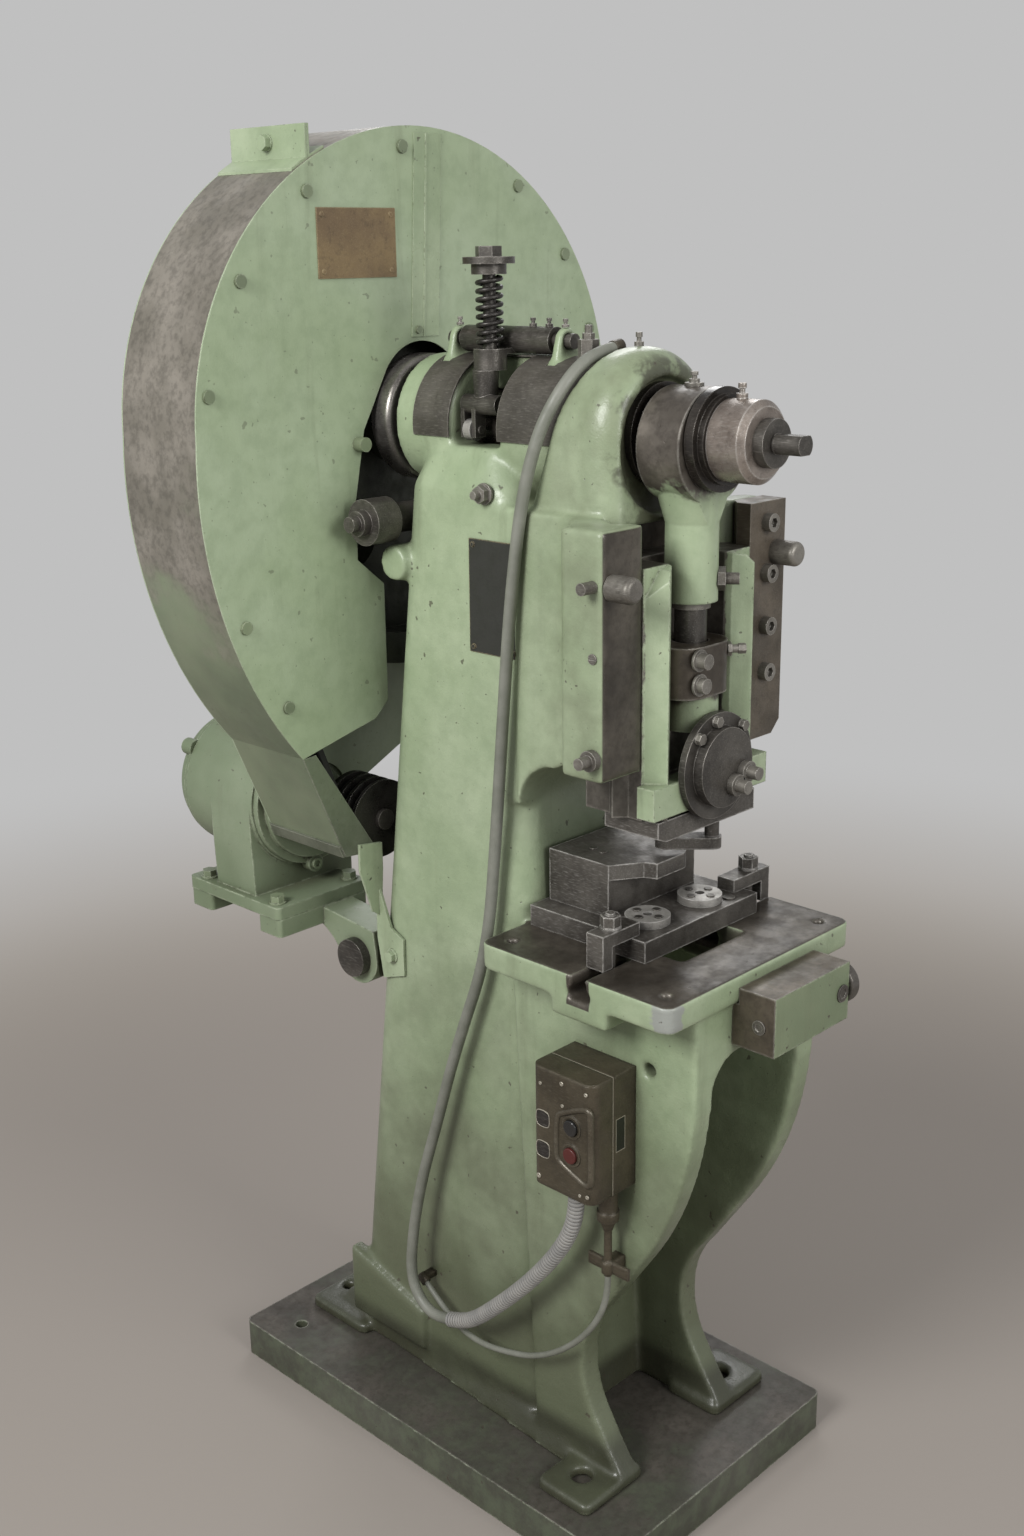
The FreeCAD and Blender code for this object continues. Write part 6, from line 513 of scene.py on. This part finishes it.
FINISHES = {
    "cast": ["frame_casting"],
    "sheet": ["guard_face_plate", "guard_back_plate"],
    "band": ["guard_band"],
    "motor": ["motor_housing", "motor_front_shield", "motor_rear_cap", "motor_bracket"],
    "trim": ["guard_trim"],
    "base": ["base_plate"],
    "rod": ["connecting_rod"],
    "slide": ["slide"],
    "block": ["front_block"],
    "strap": ["guard_strap"],
    "fitting": ["guard_screws", "motor_bolts"],
    "brown": ["right_gib_plate"],
    "cap": ["socket_cap"],
    "hub": ["front_hub"],
    "dark": ["stay_shaft", "trip_pins", "trip_lever", "spring_bolt", "ball_spindle", "motor_shaft",
             "bracket_pin", "block_knob", "table_screws", "clamp_cover", "crankshaft"],
    "tool": ["upper_tool", "die_base", "die_block", "die_clamps", "clamp_bolts"],
    "bright": ["trip_roller", "guide_flanges"],
    "ring": ["hub_ring"],
    "saddle": ["saddle_cover"],
    "screw": ["way_fasteners", "rod_fittings", "slide_screws", "oil_fittings"],
    "grease": ["shaft_collars", "clutch_sleeve"],
    "black": ["clutch_spring", "motor_pulley"],
    "bronze": ["shaft_bushes", "big_end_bush"],
    "box": ["control_box_cover", "control_box_back", "box_fittings"],
    "wheel": ["flywheel"],
    "plates": ["name_plates"],
    "rubber": ["v_belts"],
    "conduit": ["ribbed_conduit"],
    "sheath": ["main_cable", "thin_cable"],
    "red": ["stop_button"],
    "black_plastic": ["start_button"],
}


def dress(obj, finish):
    obj.data.materials.clear()
    obj.data.materials.append(materials[finish])


def dress_frame():
    for finish, names in FINISHES.items():
        for name in names:
            dress(nodes[name], finish)


# ------------------------------------------------------------------ pieces
def add_mesh(name, points, faces, finish, smooth=True):
    mesh = bpy.data.meshes.new(name)
    mesh.from_pydata([tuple(p) for p in points], [], faces)
    mesh.validate()
    if smooth:
        mesh.shade_smooth()
    obj = bpy.data.objects.new(name, mesh)
    scene.collection.objects.link(obj)
    dress(obj, finish)
    return obj


def applied(obj):
    """The mesh with its modifiers applied."""
    bpy.context.view_layer.update()
    graph = bpy.context.evaluated_depsgraph_get()
    mesh = bpy.data.meshes.new_from_object(obj.evaluated_get(graph))
    obj.modifiers.clear()
    obj.data = mesh
    return obj


CASTING_VOXEL = 0.0036
CASTING_PASSES = 14
CASTING_KEEP = 0.42          # share of the triangles that is kept
TABLE_SHARE = 0.15           # how far the smoothing moves the machined faces
WAY_SHARE = 0.1
FOOT_SHARE = 0.1


def soft_casting():
    """The frame as it left the sand: corners and joints of the casting run into each other."""
    obj = bpy.data.objects.new("soft_casting", nodes["frame_casting"].data.copy())
    scene.collection.objects.link(obj)
    remesh = obj.modifiers.new("skin", "REMESH")
    remesh.mode = "VOXEL"
    remesh.voxel_size = CASTING_VOXEL
    applied(obj)
    mesh = obj.data
    count = len(mesh.vertices)
    places = np.zeros(count * 3)
    mesh.vertices.foreach_get("co", places)
    places = places.reshape(-1, 3)
    x, y, z = places.T
    share = np.ones(count)
    share[(z > 0.787) & (z < 0.80)] = TABLE_SHARE
    share[(np.abs(x) < 0.1) & (y < -0.19) & (z > 1.0) & (z < 1.32)] = WAY_SHARE
    share[(z < 0.0575)] = FOOT_SHARE
    hold = obj.vertex_groups.new(name="hold")
    for level in np.unique(share):
        hold.add(np.nonzero(share == level)[0].tolist(), float(level), "REPLACE")
    smooth = obj.modifiers.new("flow", "SMOOTH")
    smooth.factor = 0.5
    smooth.iterations = CASTING_PASSES
    smooth.vertex_group = "hold"
    applied(obj)
    fewer = obj.modifiers.new("fewer", "DECIMATE")
    fewer.ratio = CASTING_KEEP
    applied(obj)
    obj.vertex_groups.clear()
    obj.data.shade_smooth()
    dress(obj, "cast")
    return obj


def route(points, name):
    """A cord's own line: a smooth curve that the points pull on."""
    data = bpy.data.curves.new(name, "CURVE")
    data.dimensions = "3D"
    spline = data.splines.new("NURBS")
    spline.points.add(len(points) - 1)
    for knot, point in zip(spline.points, points):
        knot.co = (*point, 1.0)
    spline.order_u = 3
    spline.use_endpoint_u = True
    spline.resolution_u = 16
    data.resolution_u = 16
    obj = bpy.data.objects.new(name, data)
    scene.collection.objects.link(obj)
    return obj


def cord(points, name, radius, finish):
    obj = route(points, name)
    obj.data.bevel_depth = radius
    obj.data.bevel_resolution = 8
    obj.data.use_fill_caps = True
    dress(obj, finish)
    return obj


def line_of(points):
    """Points along a cord's own line, and their distance from its start."""
    guide = route(points, "guide")
    bpy.context.view_layer.update()
    mesh = bpy.data.meshes.new_from_object(guide.evaluated_get(bpy.context.evaluated_depsgraph_get()))
    line = np.array([v.co for v in mesh.vertices])
    bpy.data.objects.remove(guide)
    bpy.data.meshes.remove(mesh)
    steps = np.linalg.norm(np.diff(line, axis=0), axis=1)
    return line, np.concatenate([[0.0], np.cumsum(steps)])


def swept(name, centres, radii, sides, finish):
    """A tube through the centres with its own radius at each."""
    heading = np.gradient(centres, axis=0)
    heading /= np.linalg.norm(heading, axis=1)[:, None]
    across = np.array([1.0, 0.0, 0.0]) - heading * heading[:, :1]
    across /= np.linalg.norm(across, axis=1)[:, None]
    other = np.cross(heading, across)
    turn = np.arange(sides) * 2 * math.pi / sides
    rings = (centres[:, None, :] + radii[:, None, None] * (np.cos(turn)[None, :, None] * across[:, None, :]
             + np.sin(turn)[None, :, None] * other[:, None, :]))
    count = len(centres)
    faces = [(a * sides + k, a * sides + (k + 1) % sides,
              (a + 1) * sides + (k + 1) % sides, (a + 1) * sides + k)
             for a in range(count - 1) for k in range(sides)]
    faces.append(tuple(range(sides))[::-1])
    faces.append(tuple(range((count - 1) * sides, count * sides)))
    return add_mesh(name, rings.reshape(-1, 3), faces, finish)


CONDUIT_LINE = (
    (-0.163, -0.254, 0.503), (-0.163, -0.254, 0.470), (-0.163, -0.240, 0.428), (-0.163, -0.208, 0.378),
    (-0.163, -0.160, 0.320), (-0.163, -0.108, 0.266), (-0.1615, -0.072, 0.232), (-0.160, -0.042, 0.212),
    (-0.160, -0.018, 0.204),
)
CABLE_LINE = (
    (-0.160, -0.018, 0.204), (-0.160, 0.0086, 0.1952), (-0.1585, 0.036, 0.201), (-0.156, 0.057, 0.2195),
    (-0.153, 0.066, 0.246), (-0.150, 0.064, 0.290), (-0.147, 0.056, 0.344), (-0.143, 0.042, 0.406),
    (-0.138, 0.020, 0.480), (-0.134, -0.006, 0.570), (-0.131, -0.034, 0.650), (-0.128, -0.058, 0.715),
    (-0.125, -0.074, 0.790), (-0.124, -0.084, 0.880), (-0.1235, -0.094, 0.980), (-0.123, -0.104, 1.084),
    (-0.122, -0.113, 1.180), (-0.119, -0.121, 1.255), (-0.116, -0.129, 1.315), (-0.1135, -0.141, 1.366),
    (-0.107, -0.154, 1.410), (-0.092, -0.167, 1.446), (-0.067, -0.173, 1.473), (-0.038, -0.175, 1.487),
    (-0.008, -0.175, 1.4915),
)
THIN_LINE = (
    (-0.145, -0.289, 0.388), (-0.145, -0.289, 0.352), (-0.149, -0.266, 0.300), (-0.150, -0.222, 0.250),
    (-0.150, -0.168, 0.212), (-0.150, -0.112, 0.193), (-0.150, -0.064, 0.184), (-0.144, -0.020, 0.184),
    (-0.136, 0.022, 0.194), (-0.132, 0.058, 0.214),
)


CONDUIT_RIBS = 73
CONDUIT_RINGS = 8            # rings of vertices to a rib
CONDUIT_SIDES = 28
CONDUIT_ROOT_R = 0.0078
CONDUIT_RIB_HEIGHT = 0.0027


def cables():
    line, along = line_of(CONDUIT_LINE)
    ribs = CONDUIT_RIBS
    places = np.linspace(0.0, along[-1], ribs * CONDUIT_RINGS + 1)
    centres = np.stack([np.interp(places, along, line[:, k]) for k in range(3)], axis=1)
    crest = 1.6 * np.sin(math.pi * ((places / along[-1] * ribs) % 1.0))
    radii = CONDUIT_ROOT_R + CONDUIT_RIB_HEIGHT * np.clip(crest, 0, 1)
    conduit = swept("conduit", centres, radii, CONDUIT_SIDES, "conduit")
    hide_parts("ribbed_conduit")
    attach(conduit, "frame")
    main = cord(CABLE_LINE, "main_lead", 0.0075, "sheath")
    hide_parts("main_cable")
    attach(main, "frame")
    thin = cord(THIN_LINE, "thin_lead", 0.004, "sheath")
    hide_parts("thin_cable")
    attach(thin, "frame")


SPRING_X = -0.046
SPRING_Y = -0.015
SPRING_FOOT_Z = 1.489
SPRING_HEAD_Z = 1.574
SPRING_R = 0.014
SPRING_WIRE_R = 0.0029
SPRING_TURNS = 8
SPRING_TURN_STEPS = 40
SPRING_GAP = 0.0005          # room at each end


def coil_spring():
    """The clutch's open spring of round wire."""
    wire, radius, curls = SPRING_WIRE_R, SPRING_R, SPRING_TURNS
    low, high = SPRING_FOOT_Z + wire + SPRING_GAP, SPRING_HEAD_Z - wire - SPRING_GAP
    steps = curls * SPRING_TURN_STEPS
    turn = np.linspace(0, 2 * math.pi * curls, steps + 1)
    centres = np.stack([SPRING_X + radius * np.cos(turn), SPRING_Y + radius * np.sin(turn),
                        low + (high - low) * np.linspace(0, 1, steps + 1)], axis=1)
    heading = np.gradient(centres, axis=0)
    heading /= np.linalg.norm(heading, axis=1)[:, None]
    out = np.stack([np.cos(turn), np.sin(turn), np.zeros_like(turn)], axis=1)
    other = np.cross(heading, out)
    sides = 12
    ring = np.arange(sides) * 2 * math.pi / sides
    shell = (centres[:, None, :] + wire * (np.cos(ring)[None, :, None] * out[:, None, :]
             + np.sin(ring)[None, :, None] * other[:, None, :])).reshape(-1, 3)
    faces = [(a * sides + k, (a + 1) * sides + k,
              (a + 1) * sides + (k + 1) % sides, a * sides + (k + 1) % sides)
             for a in range(steps) for k in range(sides)]
    faces.append(tuple(range(sides)))
    faces.append(tuple(range(steps * sides, (steps + 1) * sides))[::-1])
    spring = add_mesh("coil_spring", shell, faces, "black")
    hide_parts("clutch_spring")
    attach(spring, "lever")
    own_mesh(spring)


BELT_Y = (0.178, 0.197, 0.216)
WHEEL_BELT_R = 0.325
MOTOR_BELT_R = 0.054
WHEEL_STEPS = 48
MOTOR_STEPS = 24


def belt_ring(y):
    """One belt round the wheel and the motor's pulley, rounded a little at its corners."""
    motor = np.array([MOTOR_X, MOTOR_Z])
    wheel = np.array([0.0, SHAFT_Z])
    away = motor - wheel
    reach = np.linalg.norm(away)
    along = away / reach
    side = np.array([along[1], -along[0]])
    half = [(0.0064, 0.00035), (0.0061, 0.0009), (0.0041, 0.0096), (0.0036, 0.00995)]
    profile = half + [(-shift, inset) for shift, inset in reversed(half)]
    loops = []
    for shift, inset in profile:
        big, small = WHEEL_BELT_R - inset, MOTOR_BELT_R - inset
        lean = math.asin((big - small) / reach)
        loop = []
        for k in range(WHEEL_STEPS + 1):
            a = math.pi / 2 - lean + (math.pi + 2 * lean) * k / WHEEL_STEPS
            loop.append(wheel + big * (math.cos(a) * along + math.sin(a) * side))
        for k in range(MOTOR_STEPS + 1):
            a = -(math.pi / 2 - lean) + (math.pi - 2 * lean) * k / MOTOR_STEPS
            loop.append(motor + small * (math.cos(a) * along + math.sin(a) * side))
        loops.append([(p[0], y + shift, p[1]) for p in loop])
    count = len(loops[0])
    points = [p for loop in loops for p in loop]
    width = len(profile)
    faces = [(a * count + k, a * count + (k + 1) % count, ((a + 1) % width) * count + (k + 1) % count,
              ((a + 1) % width) * count + k) for a in range(width) for k in range(count)]
    return points, faces


def belts():
    points, faces = [], []
    for y in BELT_Y:
        more, sides = belt_ring(y)
        faces += [tuple(i + len(points) for i in f) for f in sides]
        points += more
    belt = add_mesh("belts", points, faces, "rubber")
    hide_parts("v_belts")
    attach(belt, "frame")


def tube_loop(name, points, radius, finish):
    """A smooth closed ring of round section through the points."""
    data = bpy.data.curves.new(name, "CURVE")
    data.dimensions = "3D"
    data.bevel_depth = radius
    data.bevel_resolution = 5
    spline = data.splines.new("NURBS")
    spline.points.add(len(points) - 1)
    for knot, point in zip(spline.points, points):
        knot.co = (*point, 1.0)
    spline.order_u = 3
    spline.use_cyclic_u = True
    spline.resolution_u = 6
    guide = bpy.data.objects.new("guide", data)
    scene.collection.objects.link(guide)
    bpy.context.view_layer.update()
    mesh = bpy.data.meshes.new_from_object(guide.evaluated_get(bpy.context.evaluated_depsgraph_get()))
    bpy.data.objects.remove(guide)
    mesh.name = name
    mesh.shade_smooth()
    obj = bpy.data.objects.new(name, mesh)
    scene.collection.objects.link(obj)
    dress(obj, finish)
    return obj


def turned_head(name, y, z, radius, height):
    """A small round screw head with a hollow in its middle, on the box's outer face."""
    profile = [(radius, -0.0004), (radius, height * 0.6), (radius * 0.8, height), (radius * 0.45, height),
               (radius * 0.35, height * 0.45), (0.00005, height * 0.4)]
    sides = 20
    turn = [2 * math.pi * k / sides for k in range(sides)]
    points = [(BOX_FACE - h, y + r * math.cos(a), z + r * math.sin(a)) for r, h in profile for a in turn]
    faces = [(a * sides + k, (a + 1) * sides + k,
              (a + 1) * sides + (k + 1) % sides, a * sides + (k + 1) % sides)
             for a in range(len(profile) - 1) for k in range(sides)]
    return add_mesh(name, points, faces, "rim")


def box_relief():
    """What stands out of the box's face: the rim of the button panel, two bare framed plates, the screws."""
    pieces = []
    rim = ((-0.2556, 0.6170), (-0.2640, 0.6235), (-0.2980, 0.6400), (-0.3075, 0.6400), (-0.3085, 0.6300),
           (-0.3095, 0.5500), (-0.3070, 0.5425), (-0.3000, 0.5400), (-0.2646, 0.5545), (-0.2565, 0.5610),
           (-0.2552, 0.5680))
    pieces.append(tube_loop("panel_rim", [(BOX_FACE + 0.0012, y, z) for y, z in rim], 0.0040, "relief"))
    for number, middle in enumerate(((-0.2332, 0.6050), (-0.2332, 0.5640))):
        half, round_off = 0.0108, 0.004
        corners = []
        for sy, sz in ((1, 1), (1, -1), (-1, -1), (-1, 1)):
            first, second = (half, half - round_off), (half - round_off, half)
            order = (second, first) if sy * sz > 0 else (first, second)
            corners += [(middle[0] + sy * a, middle[1] + sz * b) for a, b in order]
        loop = [(BOX_FACE - 0.0001, y, z) for y, z in corners]
        pieces.append(tube_loop("plate_rim_%d" % number, loop, 0.0007, "rim"))
        count = len(corners)
        points = [(BOX_FACE - h, y, z) for h in (-0.0003, 0.0004) for y, z in corners]
        faces = [tuple(range(count)), tuple(range(2 * count - 1, count - 1, -1))]
        faces += [(k, (k + 1) % count, count + (k + 1) % count, count + k) for k in range(count)]
        pieces.append(add_mesh("bare_plate_%d" % number, points, faces, "black", smooth=False))
    for number, (y, z, radius) in enumerate(((-0.2299, 0.6510, 0.0024), (-0.2641, 0.6615, 0.0030),
                                             (-0.3020, 0.6600, 0.0026), (-0.2652, 0.6330, 0.0024),
                                             (-0.3040, 0.5262, 0.0026), (-0.2925, 0.5240, 0.0022),
                                             (-0.2260, 0.5257, 0.0034))):
        pieces.append(turned_head("box_screw_%d" % number, y, z, radius, 0.0013))
    for piece in pieces:
        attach(piece, "frame")


# ------------------------------------------------------------- studio
FLOOR_R = 4.6
SWEEP_R = 1.8                # the curve from the floor up into the backdrop
WALL_TOP = 9.0
SKY = (0.90, 0.90, 0.92, 1.0)
SKY_STRENGTH = 0.50


def studio():
    """A pale floor with a round backdrop far behind, and soft lamps."""
    def lathe(name, profile):
        sides = 96
        points = [(r * math.cos(2 * math.pi * k / sides), r * math.sin(2 * math.pi * k / sides), z)
                  for r, z in profile for k in range(sides)]
        faces = [(a * sides + k, a * sides + (k + 1) % sides,
                  (a + 1) * sides + (k + 1) % sides, (a + 1) * sides + k)
                 for a in range(len(profile) - 1) for k in range(sides)]
        mesh = bpy.data.meshes.new(name)
        mesh.from_pydata(points, [], faces)
        mesh.shade_smooth()
        obj = bpy.data.objects.new(name, mesh)
        scene.collection.objects.link(obj)
        return obj
    floor = lathe("floor", [(0.0005, 0.0), (FLOOR_R, 0.0)])
    sweep = [(FLOOR_R + SWEEP_R * math.sin(a), SWEEP_R - SWEEP_R * math.cos(a))
             for a in np.linspace(0, math.pi / 2, 16)]
    wall = lathe("backdrop", [(FLOOR_R, 0.0)] + sweep[1:] + [(FLOOR_R + SWEEP_R, WALL_TOP)])
    wall.visible_diffuse = False
    wall.visible_shadow = False
    shade = Shade("studio_floor")
    rise = shade.span(shade.axis(2), 0.0, 1.5)
    away = shade.node("ShaderNodeVectorMath", operation="LENGTH")
    shade.join(shade.place, away.inputs[0])
    shade.bump(shade.noise(60.0, 4.0), 0.0006, 0.3)
    material = shade.finish(linear("938c85"), 0.85, 0.0, 0.2)
    seen = shade.node("ShaderNodeLightPath")
    glow = shade.node("ShaderNodeEmission")
    far = shade.math("MAXIMUM", rise, shade.span(away.outputs["Value"], 1.5, 3.4))
    shade.join(shade.mix(far, linear("a19a92"), linear("c0c0c0")), glow.inputs[0])
    blend = shade.node("ShaderNodeMixShader")
    rays = either(shade, seen.outputs["Is Camera Ray"], seen.outputs["Is Glossy Ray"],
                  seen.outputs["Is Transmission Ray"])
    shade.join(shade.math("MULTIPLY", rays, shade.span(away.outputs["Value"], 1.1, 2.4)), blend.inputs[0])
    shade.join(shade.surface.outputs[0], blend.inputs[1])
    shade.join(glow.outputs[0], blend.inputs[2])
    shade.join(blend.outputs[0], shade.output.inputs[0])
    for obj in (floor, wall):
        obj.data.materials.append(material)
    world = bpy.data.worlds.new("studio")
    world.use_nodes = True
    world.node_tree.nodes["Background"].inputs[0].default_value = SKY
    world.node_tree.nodes["Background"].inputs[1].default_value = SKY_STRENGTH
    scene.world = world
    for name, place, aim, size, power in (
            ("key", (-3.3, -0.2, 3.0), (0.0, 0.0, 0.9), 1.3, 128.0),
            ("front", (-0.2, -3.6, 2.4), (0.0, 0.0, 0.9), 1.6, 70.0),
            ("rear", (2.6, 2.2, 3.2), (0.0, 0.0, 1.0), 1.6, 30.0)):
        lamp = bpy.data.lights.new(name, "AREA")
        lamp.size = size
        lamp.energy = power
        obj = bpy.data.objects.new(name, lamp)
        obj.location = place
        obj.rotation_euler = (Vector(aim) - Vector(place)).to_track_quat("-Z", "Y").to_euler()
        scene.collection.objects.link(obj)
    scene.view_settings.view_transform = "Standard"


make_camera()
dress_frame()
cables()
coil_spring()
belts()
box_relief()
casting = soft_casting()
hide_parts("frame_casting")
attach(casting, "frame")
studio()

bpy.context.view_layer.update()
